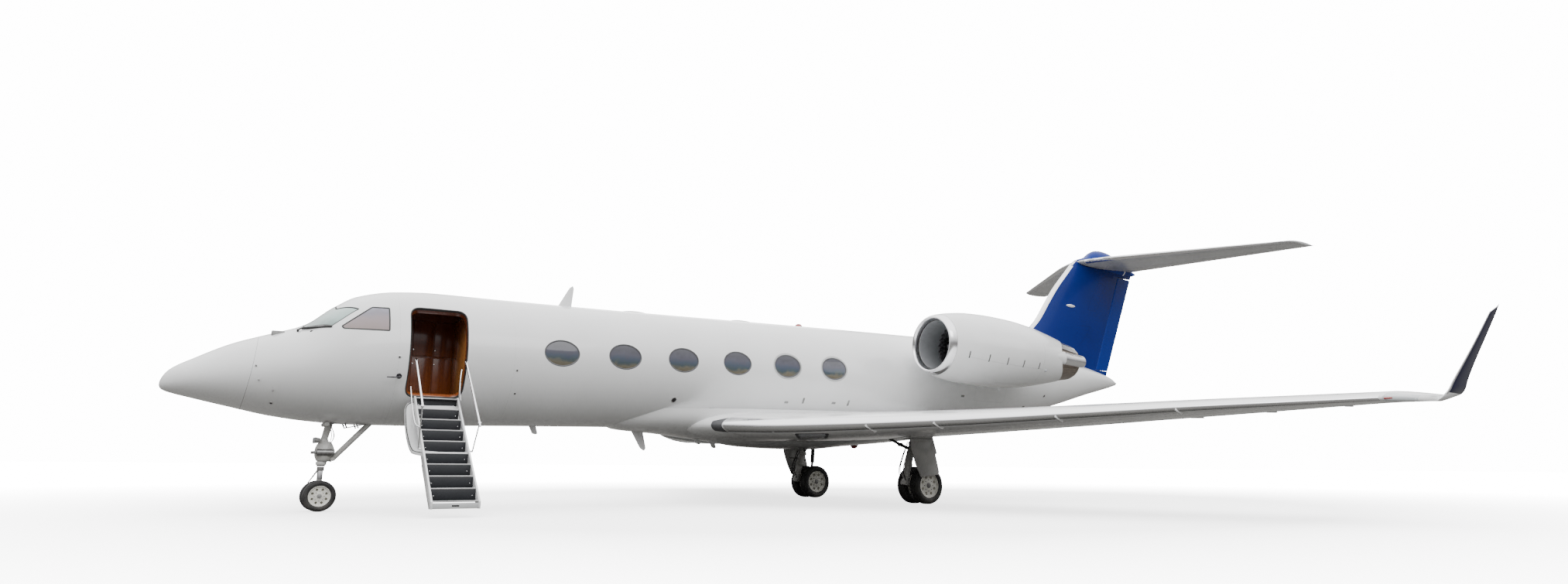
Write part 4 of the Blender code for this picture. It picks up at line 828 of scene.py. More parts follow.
BRUSHED = Metal("brushed_aluminium", (0.66, 0.66, 0.66), (0.50, 0.50, 0.51), 0.32, (2.0, 120.0, 120.0), 0.06)
CAST = Metal("cast_grey", (0.42, 0.42, 0.42), (0.27, 0.27, 0.27), 0.42, (20.0, 20.0, 20.0), 0.1)
DARK_STEEL = Metal("dark_steel", (0.10, 0.10, 0.11), (0.05, 0.05, 0.055), 0.4, (30.0, 30.0, 30.0), 0.06)
FAN_METAL = Metal("fan_titanium", (0.26, 0.26, 0.27), (0.17, 0.17, 0.18), 0.34, (30.0, 30.0, 30.0), 0.04)
HOT_METAL = Metal("heated_metal", (0.34, 0.29, 0.25), (0.20, 0.17, 0.15), 0.34, (3.0, 60.0, 60.0), 0.06)
MAHOGANY = Wood("mahogany_veneer", (0.30, 0.085, 0.022), (0.20, 0.048, 0.012), (0.085, 0.018, 0.010))
GOLDEN_WOOD = Wood("golden_veneer", (0.48, 0.22, 0.065), (0.36, 0.15, 0.04), (0.30, 0.11, 0.035))
CARPET = Pebbled("wool_carpet", (0.17, 0.15, 0.12), (0.09, 0.075, 0.06), 240.0, 0.5, 0.95, 0.3)
LEATHER = Pebbled("soft_leather", (0.33, 0.26, 0.19), (0.24, 0.18, 0.13), 160.0, 0.12, 0.45, 0.1)
TREAD = Pebbled("stair_tread", (0.005, 0.006, 0.009), (0.012, 0.014, 0.019), 300.0, 0.2, 0.55)
SEAL = Pebbled("seal_rubber", (0.012, 0.012, 0.012), (0.03, 0.03, 0.03), 200.0, 0.1, 0.6)
RUBBER = TyreRubber()
# Painted reflections: each pane's bands stand for the ground below and the sky above as the glass would mirror them.
CABIN_GLASS = PaintedReflectionGlass("cabin_pane", (
    (0.0, (0.035, 0.028, 0.02)), (0.16, (0.10, 0.085, 0.06)), (0.34, (0.13, 0.12, 0.09)),
    (0.48, (0.045, 0.065, 0.075)), (0.60, (0.04, 0.055, 0.085)), (0.80, (0.05, 0.05, 0.075)),
    (1.0, (0.03, 0.03, 0.045))), 2.64, 3.10, 0.0192)
SCREEN_GLASS = PaintedReflectionGlass("windscreen_pane", (
    (0.0, (0.10, 0.15, 0.14)), (0.45, (0.30, 0.42, 0.40)), (1.0, (0.42, 0.52, 0.50))), 3.02, 3.44)
SIDE_GLASS = PaintedReflectionGlass("side_window_pane", (
    (0.0, (0.22, 0.17, 0.16)), (0.4, (0.24, 0.19, 0.20)), (0.7, (0.17, 0.16, 0.20)), (1.0, (0.22, 0.22, 0.27))),
    2.98, 3.42)


@dataclass(frozen=True)
class WingletPaint(Finish):
    """Navy gloss above a fine band, white below it where the winglet meets the wing."""

    name: str
    height: float

    def fill(self, nodes: Nodes, shader: bpy.types.Node) -> None:
        """Connect the paint's nodes."""
        source = NAVY.skin(nodes)
        source.inputs["Patch Scale"].default_value = 2.0
        source.inputs["Gloss Spread"].default_value = 0.08
        self.wire(nodes, shader, source, NAVY.grain, 0.002)
        height = nodes.height()
        mask = nodes.remap(height, self.height - 0.002, self.height + 0.002)
        colour = nodes.mix(mask, rgba(WHITE.colour), source.outputs["Color"])
        nodes.tree.links.new(colour, shader.inputs["Base Color"])
        shader.inputs["Coat Weight"].default_value = NAVY.coat
        shader.inputs["Specular IOR Level"].default_value = NAVY.specular


def present(piece: Piece, body: Body, slot: Slot, finish: Finish, *replaced: str) -> Piece:
    """Dress a finished piece and hand it over to its body.

    Args:
        piece: the piece, with its place in its mesh.
        body: the body that carries it.
        slot: the record's slot it takes its finish from.
        finish: what it is made of or painted with.
        replaced: the frame's nodes that it stands for.

    Returns:
        The piece.
    """
    piece.data.materials.clear()
    piece.data.materials.append(finish.material())
    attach(piece, body.value)
    if replaced:
        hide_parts(*replaced)
    LOG.info("%s rides on %s, %d faces", piece.name, body.value, len(piece.data.polygons))
    return piece


def dress_node(name: str, finish: Finish) -> None:
    """Give one of the frame's own nodes a better material."""
    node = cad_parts[name]
    node.data.materials.clear()
    node.data.materials.append(finish.material())
    LOG.info("%s keeps its shape", name)


@dataclass
class Studio:
    """The plain pale floor, the soft lights and the camera at the photograph's angle."""

    camera_place: tuple[float, float, float] = (-13.013, -16.970, 0.819)
    heading: float = math.radians(33.7407)
    climb: float = math.radians(11.0845)
    roll: float = math.radians(0.4032)
    lens: float = 20.26
    floor_size: float = 900.0
    zenith_light: float = 3.2
    horizon_light: float = 0.15
    backdrop: float = 15.0
    floor_glow: float = 2.5
    glow_reach: tuple[float, float] = (15.0, 13.0)
    glow_fade: tuple[float, float] = (0.75, 1.9)
    floor_lit: tuple[float, float, float] = (0.13, 0.128, 0.122)
    floor_seen: tuple[float, float, float] = (0.9, 0.9, 0.9)

    def build(self) -> None:
        """Make the world, the floor, the lights and the camera."""
        self.world()
        self.floor()
        self.light("key_softbox", (-6.0, -20.0, 16.0), (0.0, 0.0, 2.5), (18.0, 8.0), 1100.0)
        self.light("fill_softbox", (16.0, -16.0, 10.0), (4.0, 0.0, 3.0), (10.0, 8.0), 300.0)
        self.light("rear_softbox", (6.0, 20.0, 14.0), (0.0, 0.0, 3.0), (18.0, 8.0), 900.0)
        self.camera()

    def world(self) -> None:
        """A surround that lights the jet from above; the camera itself sees a plain white backdrop."""
        world = bpy.data.worlds.new("studio_world")
        bpy.context.scene.world = world
        world.use_nodes = True
        nodes = Nodes(world.node_tree)
        shader = world.node_tree.nodes["Background"]
        climb = nodes.add("SeparateXYZ", {0: nodes.add("TexCoord").outputs["Generated"]}).outputs["Z"]
        light = nodes.remap(climb, 0.02, 0.75, self.horizon_light, self.zenith_light)
        seen = nodes.add("LightPath").outputs["Is Camera Ray"]
        strength = nodes.add("Mix", {0: seen, 2: light, 3: self.backdrop}).outputs[0]
        world.node_tree.links.new(strength, shader.inputs["Strength"])
        shader.inputs["Color"].default_value = rgba((1.0, 1.0, 1.0))

    def floor(self) -> None:
        """A pale floor under the jet with a painted glow that only the camera sees: weakest near the jet, where the
        real shadow shows, and as bright as the backdrop away from the jet.
        """
        bpy.ops.object.select_all(action='DESELECT')
        bpy.ops.mesh.primitive_grid_add(x_subdivisions=8, y_subdivisions=8, size=self.floor_size,
                                        location=(0.0, 0.0, -0.0005))
        floor = named("studio_floor")
        made = bpy.data.materials.new("studio_floor")
        made.use_nodes = True
        nodes = Nodes(made.node_tree)
        shader = made.node_tree.nodes["Principled BSDF"]
        seen = nodes.add("LightPath").outputs["Is Camera Ray"]
        made.node_tree.links.new(nodes.mix(seen, rgba(self.floor_lit), rgba(self.floor_seen)),
                                 shader.inputs["Base Color"])
        long, wide = self.glow_reach
        place = nodes.add("VectorMath", {0: nodes.place(), 1: (1 / long, 1 / wide, 0.0)},
                          operation='MULTIPLY').outputs["Vector"]
        far = nodes.add("VectorMath", {0: place}, operation='LENGTH').outputs["Value"]
        # Painted glow: emission for camera rays, rising with distance from the jet.
        glow = nodes.remap(far, *self.glow_fade, self.floor_glow, self.backdrop)
        made.node_tree.links.new(nodes.math('MULTIPLY', seen, glow), shader.inputs["Emission Strength"])
        shader.inputs["Emission Color"].default_value = rgba((1.0, 1.0, 1.0))
        shader.inputs["Roughness"].default_value = 0.9
        shader.inputs["Specular IOR Level"].default_value = 0.0
        floor.data.materials.append(made)

    def light(self, name: str, place: Sequence[float], target: Sequence[float], size: tuple[float, float],
              power: float) -> None:
        """Hang a soft rectangular light and aim it."""
        data = bpy.data.lights.new(name, 'AREA')
        data.shape = 'RECTANGLE'
        data.size, data.size_y = size
        data.energy = power
        lamp = bpy.data.objects.new(name, data)
        bpy.context.scene.collection.objects.link(lamp)
        lamp.location = place
        lamp.rotation_euler = (Vector(target) - Vector(place)).to_track_quat('-Z', 'Y').to_euler()

    def camera(self) -> None:
        """The camera, from its heading, climb and roll."""
        flat = math.cos(self.climb)
        ahead = Vector((math.sin(self.heading) * flat, math.cos(self.heading) * flat, math.sin(self.climb)))
        right = Vector((math.cos(self.heading), -math.sin(self.heading), 0.0))
        up = right.cross(ahead)
        right, up = (right * math.cos(self.roll) + up * math.sin(self.roll),
                     up * math.cos(self.roll) - right * math.sin(self.roll))
        data = bpy.data.cameras.new("photograph_view")
        data.lens = self.lens
        data.sensor_width = 36.0
        data.clip_end = 2000.0
        camera = bpy.data.objects.new("photograph_view", data)
        bpy.context.scene.collection.objects.link(camera)
        turn = Matrix((right, up, -ahead)).transposed().to_4x4()
        camera.matrix_world = Matrix.Translation(self.camera_place) @ turn
        bpy.context.scene.camera = camera


@dataclass
class Hull:
    """The fuselage's outside, as lines over the station."""

    top: Line = ((0.0, 2.01), (0.03, 2.11), (0.12, 2.24), (0.41, 2.431), (0.91, 2.709), (1.44, 2.915),
                 (1.91, 3.10), (2.33, 3.45), (2.675, 3.674), (3.275, 3.823), (3.965, 3.875),
                 (5.2, 3.885), (15.0, 4.0735), (17.0, 4.095), (19.0, 4.05), (21.0, 3.93), (22.2, 3.80),
                 (23.145, 3.645), (23.69, 3.53), (24.02, 3.40), (24.1, 3.33))
    bottom: Line = ((0.0, 1.99), (0.03, 1.925), (0.12, 1.88), (0.48, 1.790), (1.02, 1.668), (1.58, 1.551),
                    (2.16, 1.480), (2.76, 1.447), (3.63, 1.452), (5.2, 1.495), (14.3, 1.670), (16.0, 1.765),
                    (17.5, 1.93), (19.0, 2.13), (20.0, 2.31), (21.1, 2.556), (22.5, 2.91), (23.9, 3.245),
                    (24.1, 3.31))
    side: Line = ((0.0, 0.01), (0.03, 0.10), (0.12, 0.21), (0.41, 0.42), (0.91, 0.66), (1.44, 0.84),
                  (1.91, 0.96), (2.33, 1.04), (3.0, 1.12), (3.9, 1.175), (5.2, 1.195), (15.0, 1.195),
                  (17.0, 1.12), (19.0, 0.95), (21.0, 0.68), (22.5, 0.43), (23.5, 0.22), (24.0, 0.09),
                  (24.1, 0.01))
    waist: Line = ((0.0, 2.00), (0.41, 2.08), (0.91, 2.14), (1.44, 2.20), (1.91, 2.28), (2.33, 2.38),
                   (2.675, 2.45), (3.275, 2.55), (3.965, 2.63), (5.2, 2.690), (15.0, 2.8785), (17.0, 2.98),
                   (19.0, 3.08), (21.0, 3.22), (22.5, 3.34), (23.5, 3.36), (24.1, 3.32))
    ring_points: int = 112

    def lines(self, station: float) -> tuple[float, float, float, float]:
        """Top, bottom, half width and waist height at a station."""
        return (line_value(self.top, station), line_value(self.bottom, station),
                max(line_value(self.side, station), 0.004), line_value(self.waist, station))

    def point(self, station: float, angle: float, lift: float = 0.0) -> Vector:
        """A point of the outside.

        Args:
            station: how far aft it is.
            angle: how far round it is from the top, positive to starboard.
            lift: how far it stands off the outside.

        Returns:
            The point.
        """
        top, bottom, side, waist = self.lines(station)
        up = math.cos(angle)
        reach = (top - waist) if up >= 0 else (waist - bottom)
        place = Vector((x_of(station), side * math.sin(angle), waist + reach * up))
        return place + self.normal(place) * lift if lift else place

    def field(self, x: float, y: float, z: float) -> float:
        """A measure that is 1 on the outside and grows outwards."""
        top, bottom, side, waist = self.lines(x + LENGTH / 2)
        reach = max((top - waist) if z >= waist else (waist - bottom), 0.004)
        return (y / side) ** 2 + ((z - waist) / reach) ** 2

    def normal(self, place: Vector) -> Vector:
        """The outward direction at a point of the outside."""
        step = 0.003
        x, y, z = place
        return Vector((self.field(x + step, y, z) - self.field(x - step, y, z),
                       self.field(x, y + step, z) - self.field(x, y - step, z),
                       self.field(x, y, z + step) - self.field(x, y, z - step))).normalized()

    def angle_at(self, station: float, height: float, side: int) -> float:
        """How far round from the top a height lies on one side of the hull."""
        top, bottom, _, waist = self.lines(station)
        reach = (top - waist) if height >= waist else (waist - bottom)
        return side * math.acos(max(-1.0, min(1.0, (height - waist) / reach)))

    def at(self, station: float, height: float, side: int, lift: float = 0.0) -> Vector:
        """A point of the outside at a height on one side."""
        return self.point(station, self.angle_at(station, height, side), lift)

    def trace(self, outline: Outline, lift: float = 0.0) -> Ring:
        """Lay an outline of (station, angle) points on the outside."""
        return [self.point(station, angle, lift) for station, angle in outline]

    def lay_normals(self, piece: Piece) -> Piece:
        """Give a cut piece of hull the true outside's normals, so that its cuts leave no dents in the shine."""
        mesh = piece.data
        mesh.shade_smooth()
        known: dict[int, Vector] = {}
        laid = [Vector((0.0, 0.0, 1.0))] * len(mesh.loops)
        for face in mesh.polygons:
            for loop in face.loop_indices:
                index = mesh.loops[loop].vertex_index
                if index not in known:
                    known[index] = self.normal(mesh.vertices[index].co)
                laid[loop] = known[index] if face.normal.dot(known[index]) > 0.8 else face.normal
        mesh.normals_split_custom_set(laid)
        return piece

    def patch(self, name: str, outline: Outline, lift: float, thickness: float, rings: int = 8) -> Piece:
        """A pane or skin that fills an outline laid on the outside.

        Args:
            name: the piece's name.
            outline: (station, angle) points.
            lift: how far its face stands off the outside.
            thickness: how thick it is, inwards.
            rings: rings of faces from its edge to its middle.

        Returns:
            The patch.
        """
        middle = (sum(p[0] for p in outline) / len(outline), sum(p[1] for p in outline) / len(outline))

        def ring(share: float, height: float) -> Ring:
            """The outline shrunk about its middle."""
            return self.trace([(middle[0] + (s - middle[0]) * share, middle[1] + (a - middle[1]) * share)
                               for s, a in outline], height)

        rows = [ring(1 - k / rings, lift) for k in range(rings + 1)]
        edge = self.trace(outline, lift - thickness)
        back = ring(0.5, lift - thickness)
        centre = self.trace([middle] * len(outline), lift - thickness)
        return surface(name, [centre, back, edge] + rows, fill=False, angle=40.0)

    def frame_round(self, name: str, outline: Outline, profile: Line) -> Piece:
        """A strip round an outline on the outside; its profile is (growth, lift) points."""
        rows = [self.trace(offset_outline(outline, growth), lift) for growth, lift in profile]
        return surface(name, rows + rows[:1], fill=False, angle=50.0)

    def room(self, name: str, start: float, end: float, inset: float) -> Piece:
        """The space inside the hull between two stations, for cutting inner pieces to it."""
        turns = turns_of(self.ring_points)
        return surface(name, [[self.point(s, a, -inset) for a in turns] for s in spread(start, end, 0.2)])

    def plug(self, name: str, outline: Outline, out: float = 0.06, into: float = 0.2) -> Piece:
        """A solid through the hull under an outline, for cutting."""
        return surface(name, [self.trace(outline, out), self.trace(outline, -into)])


HULL = Hull()


@dataclass
class Fuselage:
    """The jet's skin from radome to tail cone, its windows, marks, probes and antennas."""

    skin: float = 0.03
    window_first: float = 6.07
    window_pitch: float = 1.258
    window_count: int = 6
    window_size: tuple[float, float] = (0.66, 0.48)
    window_height_at_10: float = 2.8945
    attitude: float = 0.0192
    door: tuple[float, float, float, float] = (3.44, 4.37, 1.906, 3.46)
    door_corner: float = 0.17
    screen: tuple[tuple[float, float, float], ...] = ((1.872, -0.060, 3.075), (1.883, -0.379, 3.020),
                                                      (2.253, -0.786, 3.023), (2.653, -0.715, 3.363),
                                                      (2.340, -0.398, 3.378), (2.365, -0.055, 3.475))
    side_window: tuple[tuple[float, float], ...] = ((2.423, 2.983), (2.392, 3.03), (2.846, 3.414), (3.112, 3.415),
                                                    (3.112, 2.987))

    def build(self) -> None:
        """Make every piece of the fuselage."""
        self.make_skins()
        self.make_fairing()
        self.make_cabin_windows()
        self.make_cockpit_glass()
        self.make_seams()
        self.make_marks()
        self.make_probes()
        self.make_antennas()

    def section(self, name: str, stations: Sequence[float]) -> Piece:
        """One walled section of the hull, uncut."""
        rows = [[HULL.point(s, a) for a in turns_of(HULL.ring_points)] for s in stations]
        piece = surface(name, rows, fill=stations[0] < 0.01 or stations[-1] > 24.05)
        if stations[0] >= 0.01 and stations[-1] <= 24.05:
            thicken(piece, self.skin)
        return piece

    def window_outline(self, index: int, side: int) -> Outline:
        """A cabin window's oval as (station, angle) points."""
        station = self.window_first + self.window_pitch * index
        height = self.window_height_at_10 + self.attitude * (station - 10)
        return [(s, HULL.angle_at(s, z, side)) for s, z in oval((station, height), *self.window_size)]

    def doorway(self) -> Piece:
        """A straight block through the port wall in the doorway's shape, for cutting."""
        front, back, foot, head = self.door
        outline = rounded_polygon([(front, foot), (back, foot), (back, head), (front, head)], self.door_corner, 8)
        return surface("door_cut", [[Vector((x_of(s), y, z)) for s, z in outline] for y in (-1.6, -0.45)])

    def screen_outline(self, side: int) -> Outline:
        """A windscreen as (station, angle) points."""
        corners = [(s, side * abs(HULL.angle_at(s, z, 1))) for s, _, z in self.screen]
        return rounded_polygon(corners, 0.02, 4, 0.04)

    def side_window_outline(self, side: int) -> Outline:
        """A cockpit side window as (station, angle) points."""
        points = rounded_polygon(self.side_window, 0.025, 5, 0.04)
        return [(s, side * abs(HULL.angle_at(s, z, 1))) for s, z in points]

    def make_skins(self) -> None:
        """The six sections of the hull, with doorway, windscreens and windows cut through them."""
        nose = [0.0095] + [1.5 * (k / 26) ** 1.7 for k in range(1, 27)]
        present(self.section("nose_radome", nose), Body.AIRFRAME, Slot.WHITE, WHITE, "radome")
        cockpit = self.section("cockpit_skin", spread(1.5, 3.25, 0.05))
        for side, word in SIDES:
            cut(cockpit, HULL.plug(f"screen_cut_{word}", self.screen_outline(side)),
                HULL.plug(f"side_cut_{word}", self.side_window_outline(side)))
        present(HULL.lay_normals(cockpit), Body.AIRFRAME, Slot.WHITE, WHITE, "cockpit_shell")
        entry = cut(self.section("entry_skin", spread(3.25, 5.2, 0.1)), self.doorway())
        present(HULL.lay_normals(entry), Body.AIRFRAME, Slot.WHITE, WHITE, "entry_shell")
        cabin = self.section("cabin_skin", spread(5.2, 13.6, 0.35))
        for side, word in SIDES:
            cut(cabin, *[HULL.plug(f"window_cut_{word}_{i}", self.window_outline(i, side))
                         for i in range(self.window_count)])
        present(HULL.lay_normals(cabin), Body.AIRFRAME, Slot.WHITE, WHITE, "cabin_shell")
        aft = self.section("aft_skin", spread(13.6, 20.0, 0.3))
        present(HULL.lay_normals(aft), Body.AIRFRAME, Slot.WHITE, WHITE, "aft_fuselage")
        cone = self.section("tail_cone_skin", spread(20.0, 23.6, 0.2) + [23.75, 23.88, 23.97, 24.03, 24.07, 24.098])
        present(cone, Body.AIRFRAME, Slot.WHITE, WHITE, "tail_cone")

    def make_fairing(self) -> None:
        """The belly fairing round the wing's centre."""
        foot: Line = ((7.35, 1.62), (7.7, 1.50), (8.6, 1.440), (9.46, 1.355), (10.0, 1.300), (10.7, 1.205),
                      (11.5, 1.172), (12.3, 1.168), (13.3, 1.250), (14.2, 1.325), (15.2, 1.42), (16.2, 1.60),
                      (17.2, 1.95))
        half: Line = ((7.35, 0.45), (8.2, 0.80), (9.2, 1.12), (10.2, 1.26), (13.5, 1.27), (15.0, 1.10),
                      (16.2, 0.75), (17.2, 0.35))
        steps = 48
        rows = []
        for station in spread(7.35, 17.2, 0.16):
            bottom, side = line_value(foot, station), line_value(half, station)
            waist = 1.95 + self.attitude * (station - 10)
            row = []
            for i in range(steps + 1):
                turn = math.pi * i / steps
                across = math.copysign(abs(math.cos(turn)) ** 0.8, math.cos(turn))
                down = max(0.0, math.sin(turn)) ** 0.75
                row.append(Vector((x_of(station), side * across, waist - (waist - bottom) * down)))
            rows.append(row)
        fairing = surface("belly_fairing_skin", rows)
        present(fairing, Body.AIRFRAME, Slot.WHITE, WHITE, "belly_fairing")

    def make_cabin_windows(self) -> None:
        """Each side's panes, their thin dark frames and the pale rings round the last two."""
        for side, word in SIDES:
            panes, frames, rings = [], [], []
            for index in range(self.window_count):
                outline = self.window_outline(index, side)
                panes.append(HULL.patch(f"pane_{word}_{index}", offset_outline(outline, -0.008), -0.008, 0.006, 6))
                frames.append(HULL.frame_round(f"window_frame_{word}_{index}", outline, (
                    (0.008, -0.004), (0.008, 0.0015), (-0.004, 0.0015), (-0.010, -0.003), (-0.014, -0.008),
                    (-0.014, -0.016), (0.002, -0.018))))
                if index > 3:
                    rings.append(HULL.frame_round(f"window_ring_{word}_{index}", outline, (
                        (0.042, -0.003), (0.042, 0.0008), (0.009, 0.0008), (0.009, -0.003))))
            present(join(f"cabin_panes_{word}", *panes), Body.AIRFRAME, Slot.GLASS, CABIN_GLASS,
                    f"cabin_windows_{word}")
            present(join(f"window_frames_{word}", *frames), Body.AIRFRAME, Slot.PLASTIC, DARK_GREY)
            present(join(f"window_rings_{word}", *rings), Body.AIRFRAME, Slot.GREY, TAIL_GREY)

    def make_cockpit_glass(self) -> None:
        """The windscreens and side windows with their dark edge strips, and the wipers."""
        for side, word in SIDES:
            for kind, outline, finish in (("windscreen", self.screen_outline(side), SCREEN_GLASS),
                                          ("side_window", self.side_window_outline(side), SIDE_GLASS)):
                pane = HULL.patch(f"{kind}_pane_{word}", offset_outline(outline, -0.010), -0.004, 0.012)
                present(pane, Body.AIRFRAME, Slot.GLASS, finish, f"{kind}_{word}")
                strip = HULL.frame_round(f"{kind}_seal_{word}", outline, (
                    (0.006, -0.004), (0.006, 0.0012), (-0.012, 0.0012), (-0.016, -0.003), (-0.016, -0.02)))
                present(strip, Body.AIRFRAME, Slot.PLASTIC, SEAL)
            path = [HULL.point(s, side * abs(HULL.angle_at(s, z, 1)), lift) for s, z, lift in
                    ((1.80, 2.93, 0.02), (1.86, 2.965, 0.03), (2.02, 2.985, 0.022), (2.235, 3.005, 0.012))]
            arm = pipe(f"wiper_arm_{word}", smooth_path(path), 0.012)
            blade = pipe(f"wiper_blade_{word}", smooth_path([
                HULL.point(s, side * abs(HULL.angle_at(s, z, 1)), 0.012)
                for s, z in ((1.86, 2.985), (2.06, 2.998), (2.26, 3.010))]), 0.018)
            root = path[0]
            pivot = bar(f"wiper_pivot_{word}", root - Vector((0, 0, 0.02)), root + Vector((0, 0, 0.018)), 0.018)
            present(join(f"wiper_{word}", arm, blade, pivot), Body.AIRFRAME, Slot.PLASTIC, BLACK)

    def seam(self, name: str, places: Sequence[tuple[float, float]], width: float = 0.005, lift: float = 0.0004,
             finish: Finish = DARK_GREY, closed: bool = False) -> Piece:
        """A fine line laid on the hull through (station, angle) places."""
        line = [HULL.point(s, a, lift) for s, a in places]
        rows: list[Ring] = [[], []]
        count = len(line)
        for i, here in enumerate(line):
            before = line[i - 1] if closed or i else here
            after = line[(i + 1) % count] if closed or i < count - 1 else here
            across = (after - before).cross(HULL.normal(here)).normalized() * width / 2
            rows[0].append(here - across)
            rows[1].append(here + across)
        piece = surface(name, rows, closed=closed, fill=False)
        thicken(piece, 0.002)
        return present(piece, Body.AIRFRAME, Slot.PLASTIC, finish)

    def make_seams(self) -> None:
        """The joints of radome, cockpit and tail cone, hatches and service panels."""
        turns = turns_of(96)
        self.seam("radome_joint", [(1.19 + 0.07 * math.cos(a), a) for a in turns], 0.004, closed=True)
        for name, station in (("cockpit_joint", 3.27), ("cabin_joint", 5.2), ("tail_joint", 20.0)):
            self.seam(name, [(station, a) for a in turns], 0.0022, 0.0002, TAIL_GREY, closed=True)
        hatches = ((16.9, 18.1, 2.45, 3.0, PORT), (20.6, 21.3, 2.95, 3.3, PORT), (9.9, 10.35, 2.02, 2.3, STARBOARD),
                   (5.5, 6.1, 1.75, 2.0, STARBOARD), (15.4, 16.5, 2.2, 2.6, STARBOARD))
        for number, (front, back, foot, head, side) in enumerate(hatches):
            corners = [(front, foot), (back, foot), (back, head), (front, head)]
            places = [(s, HULL.angle_at(s, z, side)) for s, z in rounded_polygon(corners, 0.06)]
            self.seam(f"hatch_joint_{number}", places, 0.003, 0.0003, TAIL_GREY, closed=True)

    def button(self, name: str, station: float, height: float, side: int, radius: float, finish: Finish,
               slot: Slot = Slot.GREY, depth: float = 0.004) -> Piece:
        """A small round fitting that stands on the hull."""
        centre = HULL.at(station, height, side)
        out = HULL.normal(centre)
        piece = bar(name, centre - out * 0.006, centre + out * depth, radius, edge=min(depth, radius) * 0.4, sides=28)
        return present(piece, Body.AIRFRAME, slot, finish)

    def make_marks(self) -> None:
        """Static ports, the outflow vents and small access plates."""
        for number, (station, height, radius) in enumerate(((5.256, 2.446, 0.022), (5.291, 2.044, 0.022),
                                                            (3.282, 2.551, 0.026), (1.524, 1.733, 0.03),
                                                            (19.903, 2.721, 0.05))):
            for side, word in SIDES:
                self.button(f"port_{number}_{word}", station, height, side, radius, BRUSHED)
                # A black disc as painted shade: it stands for the dark inside of the port's hole.
                self.button(f"port_hole_{number}_{word}", station, height, side, radius * 0.55, BLACK, Slot.PLASTIC,
                            0.0048)
        for side, word in SIDES:
            self.button(f"outflow_ring_{word}", 8.493, 2.080, side, 0.062, BRUSHED)
            # A black disc as painted shade for the dark inside of the outflow valve's opening.
            self.button(f"outflow_hole_shade_{word}", 8.493, 2.080, side, 0.045, BLACK, Slot.PLASTIC, 0.005)
        plates = ((11.191, 2.151, 0.10, 0.045), (11.625, 2.203, 0.05, 0.12), (12.465, 2.190, 0.11, 0.045),
                  (12.879, 2.207, 0.05, 0.12), (16.456, 2.535, 0.12, 0.05), (19.154, 2.400, 0.12, 0.04),
                  (9.427, 1.923, 0.13, 0.07))
        for side, word in SIDES:
            pieces = []
            for number, (station, height, width, tall) in enumerate(plates):
                corners = [(station - width / 2, height - tall / 2), (station + width / 2, height - tall / 2),
                           (station + width / 2, height + tall / 2), (station - width / 2, height + tall / 2)]
                outline = [(s, HULL.angle_at(s, z, side)) for s, z in rounded_polygon(corners, 0.015, 3)]
                pieces.append(HULL.patch(f"small_plate_{word}_{number}", outline, 0.003, 0.006, 2))
            present(join(f"small_plates_{word}", *pieces), Body.AIRFRAME, Slot.GREY, GEAR_GREY)

    def make_probes(self) -> None:
        """Pitot tubes, small probes and a sensor box on the nose, and the beacons above and below."""
        for side, word in SIDES:
            root = HULL.at(3.307, 2.234, side)
            out = HULL.normal(root)
            knee = root + out * 0.09
            mast = bar(f"pitot_mast_{word}", root - out * 0.01, knee, 0.02, 0.014)
            tube = bar(f"pitot_tube_{word}", knee + Vector((0.02, 0, 0)), knee - Vector((0.20, 0, 0.004)),
                       0.013, 0.009)
            disc = bar(f"pitot_foot_{word}", root - out * 0.006, root + out * 0.006, 0.045)
            present(join(f"pitot_{word}", mast, tube, disc), Body.AIRFRAME, Slot.GREY, DARK_STEEL)
            for number, (drop, run) in enumerate(((0.0, 0.0), (-0.22, 0.06), (-0.37, 0.27))):
                spot = HULL.at(1.25 + run, 2.30 + drop, side)
                lug = HULL.normal(spot)
                present(bar(f"nose_probe_{word}_{number}", spot - lug * 0.01, spot + lug * 0.03, 0.016, 0.010),
                        Body.AIRFRAME, Slot.GREY, GEAR_GREY)
        sensor = block("nose_sensor_box", (x_of(1.43), -0.36, 2.82), (x_of(1.62), -0.27, 2.935), 0.014, 3)
        present(sensor, Body.AIRFRAME, Slot.GREY, GEAR_GREY)
        for name, place, up in (("top_beacon", HULL.point(12.2, 0.0), 1),
                                ("belly_beacon", Vector((x_of(13.84), 0.0, 1.285)), -1)):
            turn = Matrix.Identity(4) if up > 0 else Matrix.Rotation(math.pi, 4, 'X')
            dome = turned(name, ((0.0, 0.085), (0.025, 0.083), (0.05, 0.066), (0.068, 0.036), (0.074, 0.0)),
                          Matrix.Translation(place) @ turn, steps=36)
            present(dome, Body.AIRFRAME, Slot.GLASS, RED_LENS)
            foot = bar(f"{name}_foot", place - Vector((0, 0, 0.03 * up)), place + Vector((0, 0, 0.01 * up)), 0.10)
            present(foot, Body.AIRFRAME, Slot.GREY, BRUSHED)

    def blade_antenna(self, name: str, root: tuple[float, float], tip: tuple[float, float], root_z: float,
                      tip_z: float, half: float, *replaced: str) -> None:
        """A swept blade antenna; root and tip give its front and back stations."""
        rows = []
        steps = 10
        for k in range(steps + 1):
            t = k / steps
            front = root[0] + (tip[0] - root[0]) * t
            back = root[1] + (tip[1] - root[1]) * t
            if t > 0.85:
                squeeze = math.sqrt(max(0.0, 1 - ((t - 0.85) / 0.15) ** 2)) * 0.75 + 0.25
                middle = front + (back - front) * 0.55
                front, back = middle + (front - middle) * squeeze, middle + (back - middle) * squeeze
            z = root_z + (tip_z - root_z) * t
            width = half * (1 - 0.55 * t)
            ring = []
            for turn in turns_of(32):
                share = (1 - math.cos(turn)) / 2
                across = width * math.sin(turn) * (1 - share * 0.4)
                ring.append(Vector((x_of(front + (back - front) * share), across, z)))
            rows.append(ring)
        present(surface(name, rows, angle=60.0), Body.AIRFRAME, Slot.WHITE, WHITE, *replaced)

